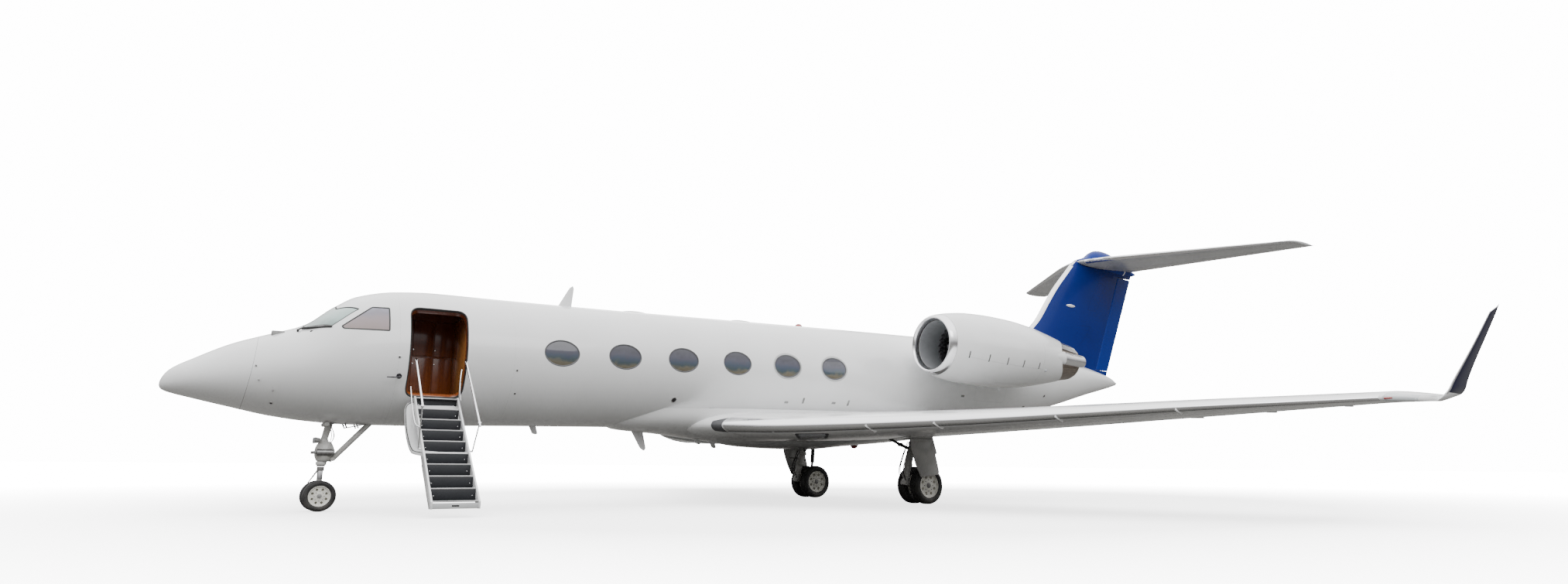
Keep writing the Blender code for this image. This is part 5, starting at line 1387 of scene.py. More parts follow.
    def make_antennas(self) -> None:
        """The blade antennas above and below, and a short mast under the fairing."""
        self.blade_antenna("top_blade_antenna", (6.33, 6.62), (6.585, 6.662), 3.88, 4.343, 0.022, "top_antenna")
        self.blade_antenna("belly_blade_antenna", (7.98, 8.27), (8.265, 8.385), 1.56, 1.088, 0.022, "belly_antenna")
        self.blade_antenna("fairing_mast", (9.44, 9.60), (9.56, 9.65), 1.37, 1.235, 0.014)
        for number, (front, back) in enumerate(((9.85, 9.99), (5.9, 6.04))):
            foot = 1.32 if number == 0 else 1.52
            self.blade_antenna(f"short_mast_{number}", (front, back), (front + 0.08, back + 0.05), foot, foot - 0.16,
                               0.012)
        for number, station in enumerate((8.0, 10.6)):
            place = HULL.point(station, 0.0)
            rows = []
            for k in range(9):
                t = k / 8
                span = 0.30 * math.sqrt(max(0.0, 1 - t ** 2))
                height = place.z - 0.012 + 0.05 * t
                rows.append([Vector((place.x + span * math.cos(a), span * 0.45 * math.sin(a), height))
                             for a in turns_of(40)])
            present(surface(f"flush_dome_{number}", rows, angle=60.0), Body.AIRFRAME, Slot.WHITE, WHITE)


def half_thickness(share: float, thickness: float) -> float:
    """Half an aerofoil's thickness over its chord, at a share of the chord."""
    return 5 * thickness * (0.2969 * math.sqrt(share) - 0.126 * share - 0.3516 * share ** 2
                            + 0.2843 * share ** 3 - 0.1036 * share ** 4) + 0.0016 * share


@dataclass(frozen=True)
class Section:
    """An aerofoil section: its front and back points, the way up from its chord, and its shape."""

    front: Vector
    back: Vector
    up: Vector
    thickness: float
    camber: float = 0.0

    @property
    def chord(self) -> float:
        """The distance from front to back."""
        return (self.back - self.front).length

    def at(self, share: float, upper: int, lift: float = 0.0) -> Vector:
        """A point of the skin at a share of the chord, on the upper (1) or lower (-1) side."""
        half = half_thickness(share, self.thickness) * self.chord
        if share > 0.0:
            half = max(half, 0.003)
        bow = self.camber * self.chord * 4 * share * (1 - share)
        ahead = lift * max(0.0, 1 - share / 0.02)
        beside = lift * min(1.0, share / 0.006)
        return (self.front + (self.back - self.front) * (share - ahead / self.chord)
                + self.up * (bow + upper * (half + beside)))

    def ring(self, end: float = 1.0, count: int = 26) -> Ring:
        """The whole outline, cut off at a share of the chord."""
        shares = [end * (1 - math.cos(math.pi / 2 * i / (count - 1))) ** 1.35 for i in range(count)]
        return [self.at(s, 1) for s in shares] + [self.at(s, -1) for s in shares[:0:-1]]

    def band(self, upper_end: float, lower_end: float, lift: float, count: int = 14) -> Ring:
        """The skin round the front, from a share on the upper side to one on the lower side."""
        upper = [upper_end * (1 - i / count) ** 2.2 for i in range(count)]
        lower = [lower_end * (i / count) ** 2.2 for i in range(count + 1)]
        return [self.at(s, 1, lift) for s in upper] + [self.at(s, -1, lift) for s in lower]

    def flap_ring(self, start: float, count: int = 9, nose: bool = True) -> Ring:
        """The outline from a hinge line aft, with a round nose about the hinge or a flat one."""
        shares = [1 - (1 - start) * (i / (count - 1)) for i in range(count)]
        points = [self.at(s, 1) for s in shares]
        if nose:
            half = half_thickness(start, self.thickness) * self.chord
            bow = self.camber * self.chord * 4 * start * (1 - start)
            ahead = (self.front - self.back).normalized()
            middle = self.front + (self.back - self.front) * start + self.up * bow
            points += [middle + ahead * half * math.sin(a) + self.up * half * math.cos(a)
                       for a in (math.pi * k / 10 for k in range(1, 10))]
        return points + [self.at(s, -1) for s in reversed(shares)]


@dataclass
class Wing:
    """One wing with its flap, aileron and winglet; made for both sides."""

    side: int
    word: str
    front_start: float = 8.396
    front_sweep: float = 0.6105
    back_start: float = 14.34
    back_sweep: float = 0.245
    root: float = 0.75
    tip: float = 11.22
    rake_start: float = 10.95
    winglet_front: float = 16.40
    winglet_back: float = 17.13
    flap_span: tuple[float, float] = (1.60, 7.40)
    flap_line: Line = ((1.6, 0.835), (2.8, 0.80), (7.4, 0.72))
    aileron_span: tuple[float, float] = (7.62, 10.45)
    hinge: float = 0.76
    hinge_gap: float = 0.012
    end_gap: float = 0.014
    leading_height: Line = ((0.0, 1.62), (1.5, 1.588), (2.5, 1.555), (3.8, 1.57), (5.6, 1.62), (7.4, 1.705),
                            (8.8, 1.774), (11.3, 1.865))
    trailing_height: Line = ((0.0, 1.43), (2.05, 1.496), (4.95, 1.624), (7.33, 1.739), (9.5, 1.85), (11.3, 1.965))
    lamp_corners: Outline = ((2.70, 0.20), (3.28, 0.26), (2.85, 0.80), (2.30, 0.82))
    lamp_middle: tuple[float, float] = (2.78, 0.52)
    spine: Outline = ((0.0, 0.0), (0.075, 0.05), (0.135, 0.15), (0.19, 0.32), (0.40, 0.86), (0.63, 1.47))
    winglet_leading: Line = ((0.0, 16.40), (0.09, 16.43), (0.17, 16.49), (0.35, 16.60), (0.90, 16.89), (1.55, 17.19))
    winglet_trailing: Line = ((0.0, 17.13), (0.35, 17.16), (1.55, 17.46))

    def build(self) -> None:
        """Make every piece of this wing."""
        self.make_skin()
        self.make_leading_edge()
        self.make_controls()
        self.make_winglet()
        self.make_fittings()

    def section(self, y: float) -> Section:
        """The wing's section at a distance from the centre."""
        front, back = self.front_start + self.front_sweep * y, self.back_start + self.back_sweep * y
        if y > self.rake_start:
            share = (y - self.rake_start) / (self.tip - self.rake_start)
            straight = self.front_start + self.front_sweep * self.rake_start
            bend = math.sqrt(max(0.0, 1 - share ** 2)) * (1 - 0.35 * share)
            front = straight + (self.winglet_front - straight) * (1 - bend)
            back += (self.winglet_back - back) * share
        return Section(Vector((x_of(front), self.side * y, line_value(self.leading_height, y))),
                       Vector((x_of(back), self.side * y, line_value(self.trailing_height, y))),
                       Vector((0.0, 0.0, 1.0)), 0.115 - 0.025 * min(1.0, y / self.tip), 0.012)

    def aileron_cut(self, y: float) -> float:
        """Where the wing stops ahead of the aileron's nose, as a share of the chord."""
        section = self.section(y)
        return self.hinge - half_thickness(self.hinge, section.thickness) - self.hinge_gap / section.chord

    def make_skin(self) -> None:
        """The wing itself, cut back ahead of the flap and the aileron."""
        step = 0.001
        rows = [self.section(y).ring() for y in spread(self.root, self.flap_span[0] - step, 0.3)]
        rows += [self.section(y).ring(line_value(self.flap_line, y)) for y in spread(*self.flap_span, 0.4)]
        rows += [self.section(y).ring() for y in (self.flap_span[1] + step, self.aileron_span[0] - step)]
        rows += [self.section(y).ring(self.aileron_cut(y)) for y in spread(*self.aileron_span, 0.4)]
        ends = [self.aileron_span[1] + step, 10.7, self.rake_start]
        ends += [self.rake_start + (self.tip - self.rake_start) * math.sin(math.pi / 2 * k / 7) for k in range(1, 8)]
        rows += [self.section(y).ring() for y in ends]
        present(surface(f"wing_skin_{self.word}", rows), Body.AIRFRAME, Slot.WHITE, WHITE, f"wing_{self.word}")

    def make_leading_edge(self) -> None:
        """The polished leading edge, a dark strip along its lower side that is a painted reflection of the dark
        ground, and the grey cap at its root.
        """
        places = spread(1.52, self.rake_start, 0.35)
        for name, start, end, lift, finish, slot in (
                ("leading_edge", 0.034, 0.020, 0.0022, POLISHED, Slot.POLISHED),
                # Painted reflection: a dark sheet for the ground mirrored on the lower side of the polished edge.
                ("leading_edge_dark_reflection", 0.0, 0.026, 0.0012, DARK_GREY, Slot.PLASTIC)):
            sheet = surface(f"{name}_{self.word}", [self.section(y).band(start, end, lift) for y in places],
                            closed=False, fill=False)
            thicken(sheet, 0.003)
            present(sheet, Body.AIRFRAME, slot, finish)
        cap = surface(f"root_cap_{self.word}",
                      [self.section(y).band(0.030 - 0.022 * t, 0.030 - 0.012 * t, 0.003)
                       for y, t in ((1.50, 0.0), (1.40, 0.5), (1.29, 1.0))], closed=False, fill=False)
        thicken(cap, 0.004)
        present(cap, Body.AIRFRAME, Slot.GREY, DARK_GREY)

    def make_controls(self) -> None:
        """The flap in its place and the aileron with its hinge pins."""
        inner, outer = self.flap_span[0] + 0.002, self.flap_span[1] - 0.002
        rows = []
        for y in spread(inner, outer, 0.4):
            section = self.section(y)
            rows.append(section.flap_ring(line_value(self.flap_line, y) + 0.006 / section.chord, nose=False))
        present(surface(f"flap_skin_{self.word}", rows), Body.AIRFRAME, Slot.WHITE, WHITE, f"flap_{self.word}")
        body = Body.AILERON_LEFT if self.side < 0 else Body.AILERON_RIGHT
        inner, outer = self.aileron_span[0] + self.end_gap, self.aileron_span[1] - self.end_gap
        rows = [self.section(y).flap_ring(self.hinge) for y in spread(inner, outer, 0.35)]
        present(surface(f"aileron_skin_{self.word}", rows), body, Slot.WHITE, WHITE, f"aileron_{self.word}")
        self.make_horns(body)

    def make_horns(self, body: Body) -> None:
        """Small hinge brackets under the wing and their lugs on the aileron."""
        arms, lugs = [], []
        for number, y in enumerate((7.95, 9.05, 10.1)):
            section = self.section(y)
            low = section.at(self.hinge, -1)
            ahead = section.at(self.hinge - 0.16, -1)
            outline = [ahead + Vector((0, 0, 0.012)), section.at(self.hinge - 0.045, -1) + Vector((0, 0, 0.012)),
                       low + Vector((-0.05, 0, -0.016)), low + Vector((-0.08, 0, -0.028)),
                       ahead + Vector((0.04, 0, -0.006))]
            arms.append(plate(f"hinge_arm_{number}", [p - Vector((0, 0.012, 0)) for p in outline], (0, 0.024, 0),
                              0.004))
            lugs.append(bar(f"hinge_lug_{number}", low + Vector((-0.005, -0.02, 0.012)),
                            low + Vector((-0.005, 0.02, 0.012)), 0.013))
        present(join(f"aileron_brackets_{self.word}", *arms), Body.AIRFRAME, Slot.WHITE, WHITE)
        present(join(f"aileron_lugs_{self.word}", *lugs), body, Slot.WHITE, WHITE)

    def winglet_section(self, index: int) -> Section:
        """One section of the winglet, from the wing's tip upwards."""
        run = sum(math.dist(a, b) for a, b in zip(self.path[:index], self.path[1:index + 1]))
        before, here = self.path[max(index - 1, 0)], self.path[index]
        after = self.path[min(index + 1, len(self.path) - 1)]
        lean = math.atan2(after[1] - before[1], after[0] - before[0]) * min(1.0, index / 2)
        low, high = line_value(self.leading_height, self.tip), line_value(self.trailing_height, self.tip)
        tilt = (high - low) / 2 * math.cos(lean)
        y, z = self.side * (self.tip + here[0]), (low + high) / 2 + here[1]
        blend = min(1.0, run / 0.25)
        end = self.path_length
        round_off = 0.0
        if run > end - 0.10:
            round_off = (1 - math.sqrt(max(0.0, 1 - ((run - end + 0.10) / 0.10) ** 2))) * 0.22
        front, back = line_value(self.winglet_leading, run) + round_off, line_value(self.winglet_trailing, run)
        return Section(Vector((x_of(front), y, z - tilt)), Vector((x_of(back), y, z + tilt)),
                       Vector((0.0, -self.side * math.sin(lean), math.cos(lean))), 0.09 - 0.005 * blend,
                       0.012 * (1 - blend))

    @property
    def path(self) -> Outline:
        """The winglet's curved spine as (outboard, upward) points."""
        return smooth_profile(self.spine, 5)

    @property
    def path_length(self) -> float:
        """The length of the spine."""
        return sum(math.dist(a, b) for a, b in zip(self.path, self.path[1:]))

    def make_winglet(self) -> None:
        """The winglet, navy with a polished leading edge and tip."""
        sections = [self.winglet_section(i) for i in range(len(self.path))]
        skin = surface(f"winglet_skin_{self.word}", [s.ring(count=22) for s in sections], angle=40.0)
        foot = self.section(self.tip).front.z + 0.12
        paint = WingletPaint(f"winglet_paint_{self.word}", foot)
        present(skin, Body.AIRFRAME, Slot.NAVY, paint, f"winglet_{self.word}")
        rows = [s.band(0.05, 0.05, 0.0014, 9) for s in sections[7:]]
        edge = surface(f"winglet_edge_{self.word}", rows, closed=False, fill=False)
        thicken(edge, 0.002)
        present(edge, Body.AIRFRAME, Slot.POLISHED, POLISHED)

    def make_fittings(self) -> None:
        """The navigation light at the tip, the vortilons, the static wicks and the fine joints."""
        nose = self.section(10.98)
        lens_colour = RED_LENS if self.side < 0 else GREEN_LENS
        rows = [self.section(y).band(0.10, 0.07, 0.003, 10) for y in spread(10.98, 11.17, 0.04)]
        lens = surface(f"wingtip_light_{self.word}", rows, closed=False, fill=False)
        thicken(lens, 0.003)
        present(lens, Body.AIRFRAME, Slot.GLASS, CLEAR_LENS)
        bulb = bar(f"wingtip_lamp_{self.word}", nose.front + Vector((0.015, -0.03 * self.side, -0.004)),
                   nose.front + Vector((0.075, 0.10 * self.side, 0.0)), 0.013)
        present(bulb, Body.AIRFRAME, Slot.GLASS, lens_colour)
        fins = []
        for number, y in enumerate((4.1, 5.2, 7.0, 8.6)):
            section = self.section(y)
            corners = [section.at(0.004, -1), section.at(0.06, -1) + Vector((0, 0, 0.01)),
                       section.at(0.045, -1) - Vector((0, 0, 0.035)), section.front + Vector((-0.035, 0, -0.045)),
                       section.front + Vector((-0.03, 0, -0.01))]
            outline = [p - Vector((0, 0.004, 0)) for p in corners]
            fins.append(plate(f"vortilon_{number}", outline, (0, 0.008, 0), 0.002))
        present(join(f"vortilons_{self.word}", *fins), Body.AIRFRAME, Slot.WHITE, WHITE)
        wicks = []
        for number, y in enumerate((10.65, 10.85)):
            tail = self.section(y).back
            wicks.append(bar(f"wick_{number}", tail - Vector((0.02, 0, 0)), tail + Vector((0.15, 0, -0.004)), 0.004,
                             0.002, 8))
        present(join(f"static_wicks_{self.word}", *wicks), Body.AIRFRAME, Slot.PLASTIC, BLACK)
        self.make_landing_light()
        self.make_wing_seams()

    def make_landing_light(self) -> None:
        """The oblong landing light under the leading edge near the root: its pane, and round it a dark grey patch,
        painted shade for the hollow the lamp sits in.
        """
        # The dark grey patch is painted shade; it lies on the skin rather than in a hollow.
        for name, grow, lift, slot, finish in (("recess_shade", 1.0, 0.004, Slot.PLASTIC, DARK_GREY),
                                               ("pane", 0.80, 0.010, Slot.GLASS, CLEAR_LENS)):
            rows = []
            middle_y, middle_along = self.lamp_middle
            for scale in (1.0, 0.97, 0.6, 0.3, 0.02):
                row = []
                for y, along in rounded_polygon(self.lamp_corners, 0.06, 5, 0.05):
                    section = self.section(middle_y + (y - middle_y) * grow * scale)
                    along = middle_along + (along - middle_along) * grow * scale
                    row.append(section.at(along / section.chord, -1, lift if scale < 1.0 else -0.004))
                rows.append(row)
            present(surface(f"landing_{name}_{self.word}", rows), Body.AIRFRAME, slot, finish)

    def make_wing_seams(self) -> None:
        """Fine joints between the flap, the spoilers and the tanks' access panels."""
        strips = []
        for number, (start, end, share, upper) in enumerate((
                (1.8, 10.8, 0.14, 1), (1.8, 10.8, 0.14, -1), (2.2, 7.3, 0.62, 1), (4.4, 7.3, 0.70, 1))):
            line = [self.section(y).at(share, upper, 0.0006) for y in spread(start, end, 0.4)]
            rows = [[p - Vector((0.0016, 0, 0)) for p in line], [p + Vector((0.0016, 0, 0)) for p in line]]
            strips.append(thicken(surface(f"wing_seam_{number}", rows, closed=False, fill=False), 0.0008))
        for number, y in enumerate((3.3, 4.5, 5.7, 6.9)):
            section = self.section(y)
            ring = []
            for along, across in oval((0.0, 0.0), 0.44, 0.26, 36):
                ring.append(self.section(y + across).at(0.42 + along / section.chord, -1, 0.0006))
            middle = sum(ring, Vector()) / len(ring)
            rows = [ring, [middle + (p - middle) * 0.985 for p in ring]]
            strips.append(thicken(surface(f"tank_seam_{number}", rows, fill=False), 0.0008))
        present(join(f"wing_seams_{self.word}", *strips), Body.AIRFRAME, Slot.GREY, TAIL_GREY)


@dataclass
class Tail:
    """The fin with its rudder, the stabilizer with its elevators, and the bullet that joins them."""

    leading: Line = ((3.45, 17.1), (3.6, 17.3), (3.9, 17.9), (4.15, 18.7), (4.43, 19.62), (4.65, 20.11),
                     (4.96, 20.50), (5.586, 21.02), (6.05, 21.42), (6.59, 21.97), (7.16, 22.55))
    thickness: Line = ((3.6, 0.045), (4.4, 0.065), (5.2, 0.085), (6.9, 0.10))
    rudder_low: float = 3.70
    rudder_high: float = 6.745
    rudder_gaps: tuple[float, float] = (0.010, 0.030)
    fin_top: float = 7.12
    bullet_foot: float = 6.86
    half_span: float = 4.875
    elevator_span: tuple[float, float] = (0.42, 4.22)
    elevator_hinge: float = 0.68
    hinge_gap: float = 0.012
    elevator_gap: float = 0.025

    def build(self) -> None:
        """Make every piece of the tail."""
        self.make_fin()
        self.make_rudder()
        self.make_stabilizer()
        self.make_elevators()
        self.make_bullet()
        self.make_fittings()

    def fin_section(self, z: float) -> Section:
        """The fin's whole section at a height, rudder and all."""
        front, back = line_value(self.leading, z), 23.656 + 0.481 * (z - 3.558)
        if z > self.bullet_foot:
            share = (z - self.bullet_foot) / (self.fin_top - self.bullet_foot)
            front, back = front + 0.22 * share ** 3, 24.4
        return Section(Vector((x_of(front), 0.0, z)), Vector((x_of(back), 0.0, z)), Vector((0.0, 1.0, 0.0)),
                       line_value(self.thickness, z))

    def split(self, z: float) -> float:
        """Where the fin stops ahead of the rudder, as a share of the chord."""
        section = self.fin_section(z)
        return (x_of(23.112 + 0.443 * (z - 3.69)) - section.front.x) / section.chord

    def make_fin(self) -> None:
        """The fin, white at its foot and royal blue above a slanted line, with its polished edge."""
        step = 0.001
        low, high = self.rudder_low, self.rudder_high
        rows = [self.fin_section(z).ring() for z in (3.45, 3.6, low - step)]
        rows += [self.fin_section(z).ring(self.split(z)) for z in spread(low, high, 0.12)]
        rows += [self.fin_section(z).ring() for z in (high + step, self.bullet_foot)]
        rows += [self.fin_section(z).ring() for z in spread(self.bullet_foot + step, self.fin_top, 0.05)]
        paint = TwoTonePaint("fin_paint", WHITE, BLUE, 20.60, 4.50, -2.2)
        present(surface("fin_skin", rows), Body.AIRFRAME, Slot.BLUE, paint, "fin")
        edge = surface("fin_leading_edge", [self.fin_section(z).band(0.034, 0.034, 0.002, 9)
                                            for z in spread(4.60, self.fin_top, 0.08)], closed=False, fill=False)
        thicken(edge, 0.003)
        present(edge, Body.AIRFRAME, Slot.POLISHED, POLISHED)

    def make_rudder(self) -> None:
        """The rudder."""
        rows = []
        for z in spread(self.rudder_low + self.rudder_gaps[0], self.rudder_high - self.rudder_gaps[1], 0.12):
            section = self.fin_section(z)
            rows.append(section.flap_ring(self.split(z) + 0.05 / section.chord))
        present(surface("rudder_skin", rows), Body.RUDDER, Slot.BLUE, BLUE_LIGHT, "rudder")

    def stab_section(self, y: float) -> Section:
        """The stabilizer's section at a distance from the centre, with its sign for the side."""
        share = (abs(y) - 0.30) / 4.575
        front, back = 22.50 + 3.33 * share, 25.24 + 1.68 * share
        front += 0.22 * max(0.0, 1 - abs(y) / 1.2) ** 2
        if abs(y) > 4.72:
            turn = (abs(y) - 4.72) / (self.half_span - 4.72)
            front += (back - front) * 0.30 * (1 - math.sqrt(max(0.0, 1 - turn ** 2)))
        z = 6.98 + 0.16 * abs(y) / self.half_span
        return Section(Vector((x_of(front), y, z)), Vector((x_of(back), y, z)), Vector((0, 0, 1.0)), 0.085)

    def stab_cut(self, y: float) -> float:
        """Where the stabilizer stops ahead of the elevator's nose, as a share of the chord."""
        section = self.stab_section(y)
        half = half_thickness(self.elevator_hinge, section.thickness)
        return self.elevator_hinge - half - self.hinge_gap / section.chord

    def make_stabilizer(self) -> None:
        """The stabilizer from tip to tip, and its polished leading edges."""
        inner, outer = self.elevator_span
        step = 0.001
        half: list[tuple[float, bool]] = [(y, False) for y in (0.0, 0.2, inner - step)]
        half += [(y, True) for y in spread(inner, outer, 0.35)]
        half += [(outer + step, False), (4.5, False), (4.72, False)]
        half += [(4.72 + 0.155 * math.sin(math.pi / 2 * k / 6), False) for k in range(1, 7)]
        rows = [self.stab_section(-y).ring(self.stab_cut(y) if cut_back else 1.0) for y, cut_back in reversed(half)]
        rows += [self.stab_section(y).ring(self.stab_cut(y) if cut_back else 1.0) for y, cut_back in half[1:]]
        present(surface("stabilizer_skin", rows), Body.AIRFRAME, Slot.GREY, TAIL_GREY, "stabilizer")
        for side, word in SIDES:
            edge = surface(f"stabilizer_edge_{word}", [self.stab_section(side * y).band(0.05, 0.05, 0.002, 9)
                                                       for y in spread(0.26, 4.76, 0.4)], closed=False, fill=False)
            thicken(edge, 0.003)
            present(edge, Body.AIRFRAME, Slot.POLISHED, POLISHED)

    def make_elevators(self) -> None:
        """Both elevators."""
        inner, outer = self.elevator_span[0] + self.elevator_gap, self.elevator_span[1] - self.elevator_gap
        for side, word in SIDES:
            rows = [self.stab_section(side * y).flap_ring(self.elevator_hinge) for y in spread(inner, outer, 0.35)]
            body = Body.ELEVATOR_LEFT if side < 0 else Body.ELEVATOR_RIGHT
            present(surface(f"elevator_skin_{word}", rows), body, Slot.GREY, TAIL_GREY, f"elevator_{word}")
            wicks = []
            for number, y in enumerate((2.4, 3.2, 4.0)):
                tail = self.stab_section(side * y).back
                wicks.append(bar(f"tail_wick_{number}", tail - Vector((0.02, 0, 0)), tail + Vector((0.14, 0, 0)),
                                 0.004, 0.002, 8))
            present(join(f"elevator_wicks_{word}", *wicks), body, Slot.PLASTIC, BLACK)

    def make_bullet(self) -> None:
        """The bullet fairing, blue with a white line round its tail."""
        top: Line = ((22.55, 7.06), (22.80, 7.14), (23.0, 7.22), (23.2, 7.36), (23.45, 7.465), (23.7, 7.488),
                     (24.0, 7.46), (24.35, 7.34), (24.7, 7.18), (25.2, 7.05), (25.45, 6.98))
        bottom: Line = ((22.55, 7.02), (22.65, 6.93), (22.85, 6.86), (23.3, 6.83), (24.4, 6.80), (25.2, 6.85),
                        (25.45, 6.92))
        half: Line = ((22.55, 0.05), (22.65, 0.12), (22.9, 0.18), (23.3, 0.235), (24.2, 0.225), (25.0, 0.12),
                      (25.45, 0.03))
        rows = []
        for k in range(45):
            station = 22.55 + 2.90 * (0.5 - 0.5 * math.cos(math.pi * k / 44))
            high, low, side = line_value(top, station), line_value(bottom, station), line_value(half, station)
            middle = (high + low) / 2
            rows.append([Vector((x_of(station), side * math.sin(a), middle + (high - middle) * math.cos(a)))
                         for a in turns_of(56)])
        present(surface("bullet_skin", rows), Body.AIRFRAME, Slot.BLUE, BLUE_LIGHT, "tail_bullet")
        band = []
        for lift, station in ((-0.002, 24.72), (0.0016, 24.72), (0.0016, 24.78), (-0.002, 24.78)):
            high, low, side = line_value(top, station), line_value(bottom, station), line_value(half, station)
            middle = (high + low) / 2
            reach = high - middle + lift
            band.append([Vector((x_of(station), (side + lift) * math.sin(a), middle + reach * math.cos(a)))
                         for a in turns_of(56)])
        present(surface("bullet_line", band + band[:1], fill=False), Body.AIRFRAME, Slot.WHITE, WHITE)

    def make_fittings(self) -> None:
        """The lens-shaped fairings on the fin, the tail light and the fin's access joints."""
        for side, word in SIDES:
            rows = []
            for k in range(7):
                t = k / 6
                section = self.fin_section(5.54)
                reach = math.sqrt(max(0.0, 1 - t ** 2))
                rows.append([Vector((x_of(21.98 + 0.21 * reach * math.cos(a)),
                                     side * (abs(section.at(0.30, 1).y) - 0.01 + 0.045 * t),
                                     5.54 + 0.05 * reach * math.sin(a) * abs(math.sin(a)) ** 0.6))
                             for a in turns_of(36)])
            present(surface(f"fin_lens_fairing_{word}", rows, angle=60.0), Body.AIRFRAME, Slot.WHITE, WHITE)
        lamp = bar("tail_light", (x_of(24.05), 0, 3.352), (x_of(24.135), 0, 3.356), 0.03, 0.018)
        present(lamp, Body.AIRFRAME, Slot.GLASS, CLEAR_LENS)
        joints = []
        for number, (start, end) in enumerate(((4.2, 5.0), (5.5, 6.4))):
            for upper in (-1, 1):
                corners = [(0.50, start), (0.62, start), (0.62, end), (0.50, end)]
                points = []
                for share, z in rounded_polygon(corners, 0.03, 4, 0.2):
                    points.append(self.fin_section(z).at(share, upper, 0.0008))
                middle = sum(points, Vector()) / len(points)
                rows = [points, [middle + (p - middle) * 0.99 for p in points]]
                joints.append(thicken(surface(f"fin_joint_{number}_{upper}", rows, fill=False), 0.001))
        present(join("fin_joints", *joints), Body.AIRFRAME, Slot.NAVY, NAVY)


@dataclass
class Engine:
    """One engine on its pylon; made for both sides."""

    side: int
    word: str
    station: float = 14.44
    out: float = 2.10
    height: float = 3.575
    pitch: float = 0.023
    outside: Line = ((0.16, 0.706), (0.41, 0.760), (1.0, 0.832), (1.6, 0.850), (2.3, 0.832), (3.0, 0.765),
                     (3.6, 0.665), (4.45, 0.490))
    inside: Line = ((0.20, 0.562), (0.41, 0.560), (1.0, 0.580), (3.0, 0.600), (4.45, 0.462))
    lip: Line = ((-0.14, 0.566), (-0.06, 0.577), (0.0, 0.610), (-0.015, 0.648), (-0.07, 0.680), (-0.16, 0.706))
    cowl_ends: tuple[float, float] = (3.80, 4.22)
    fan_place: float = 0.74
    fan_radius: float = 0.543
    blade_count: int = 24
    vane_count: int = 36

    def build(self) -> None:
        """Make every piece of this engine."""
        self.make_cowl()
        self.make_fan()
        self.make_core()
        self.make_nozzle()
        self.make_pylon()
        self.make_fittings()

    @property
    def place(self) -> Matrix:
        """The engine's frame: Z runs forward along its axis, Y points down."""
        ahead = Vector((-1.0, 0.0, self.pitch)).normalized()
        across = Vector((0.0, 1.0, 0.0))
        turn = Matrix((across, ahead.cross(across), ahead)).transposed().to_4x4()
        return Matrix.Translation((x_of(self.station), self.side * self.out, self.height)) @ turn

    def polar(self, turn: float, radius: float, height: float) -> Vector:
        """A point at an angle and a radius about the engine's axis, and a height along it."""
        return self.place @ Vector((radius * math.cos(turn), radius * math.sin(turn), height))

    def make_cowl(self) -> None:
        """The polished intake lip, the white cowl and the dark duct inside them."""
        curve = smooth_profile(self.lip, 5)
        lip = turned(f"intake_lip_skin_{self.word}", curve + [(-0.16, 0.69), (-0.14, 0.58), curve[0]], self.place, 96)
        present(lip, Body.AIRFRAME, Slot.POLISHED, POLISHED, f"intake_lip_{self.word}")
        rows = []
        side_end, top_end = self.cowl_ends
        for k in range(97):
            turn = 2 * math.pi * k / 96
            end = side_end + (top_end - side_end) * abs(math.sin(turn)) ** 1.5
            places = [0.162 + (end - 0.162) * i / 42 for i in range(43)]
            loop = [(s, line_value(self.outside, s)) for s in places]
            loop += [(s, line_value(self.inside, s) + 0.010 * max(0.0, 1 - (end - s) / 0.3))
                     for s in reversed(places)]
            rows.append([self.polar(turn, r, -s) for s, r in loop])
        cowl = surface(f"nacelle_skin_{self.word}", rows, fill=False)
        present(cowl, Body.AIRFRAME, Slot.WHITE, WHITE, f"nacelle_{self.word}")
        liner = [(-s, line_value(self.inside, s) - 0.003) for s in spread(0.17, 2.6, 0.2)]
        back = [(h, r + 0.0022) for h, r in reversed(liner)]
        present(turned(f"duct_liner_{self.word}", liner + back + liner[:1], self.place, 96), Body.AIRFRAME,
                Slot.GREY, DUCT_GREY)
        throat = [(-0.135, 0.5655), (-0.165, 0.5622), (-0.165, 0.566), (-0.135, 0.568), (-0.135, 0.5655)]
        present(turned(f"throat_seal_{self.word}", throat, self.place, 96), Body.AIRFRAME, Slot.PLASTIC, SEAL)

    def blade(self) -> Piece:
        """One twisted fan blade, standing on the hub at angle 0."""
        rows = []
        for k in range(9):
            t = k / 8
            radius = 0.16 + (self.fan_radius - 0.16) * t
            chord = 0.115 + 0.055 * math.sin(math.pi * min(1.0, t * 0.75))
            lean = math.radians(26 + 32 * t)
            thick = 0.013 * (1 - 0.62 * t)
            row = []
            for turn in turns_of(18):
                along, across = 0.5 * math.cos(turn) * chord, 0.5 * math.sin(turn) * thick
                bow = 0.012 * (1 - (2 * along / chord) ** 2)
                y = along * math.sin(lean) + (across + bow) * math.cos(lean)
                z = along * math.cos(lean) - (across + bow) * math.sin(lean) - 0.055 - self.fan_place
                row.append(self.place @ Vector((radius, y, z)))
            rows.append(row)
        return surface("fan_blade", rows, angle=50.0)

    def make_fan(self) -> None:
        """The fan: spinner, hub and blades, which turn together."""
        body = Body.FAN_LEFT if self.side < 0 else Body.FAN_RIGHT
        nose = smooth_profile(((0.20, 0.0), (0.196, 0.018), (0.17, 0.05), (0.08, 0.12), (0.0, 0.165),
                               (-0.11, 0.172), (-0.138, 0.172)), 5)
        profile = [(h - self.fan_place, max(r, 0.0)) for h, r in nose] + [(-0.138 - self.fan_place, 0.0)]
        spinner = turned(f"spinner_{self.word}", profile, self.place, 64, 40.0)
        present(spinner, body, Slot.GREY, DARK_GREY)
        blades = around(f"fan_blades_{self.word}", self.blade(), self.place, self.blade_count)
        present(blades, body, Slot.ENGINE, FAN_METAL, f"fan_{self.word}")

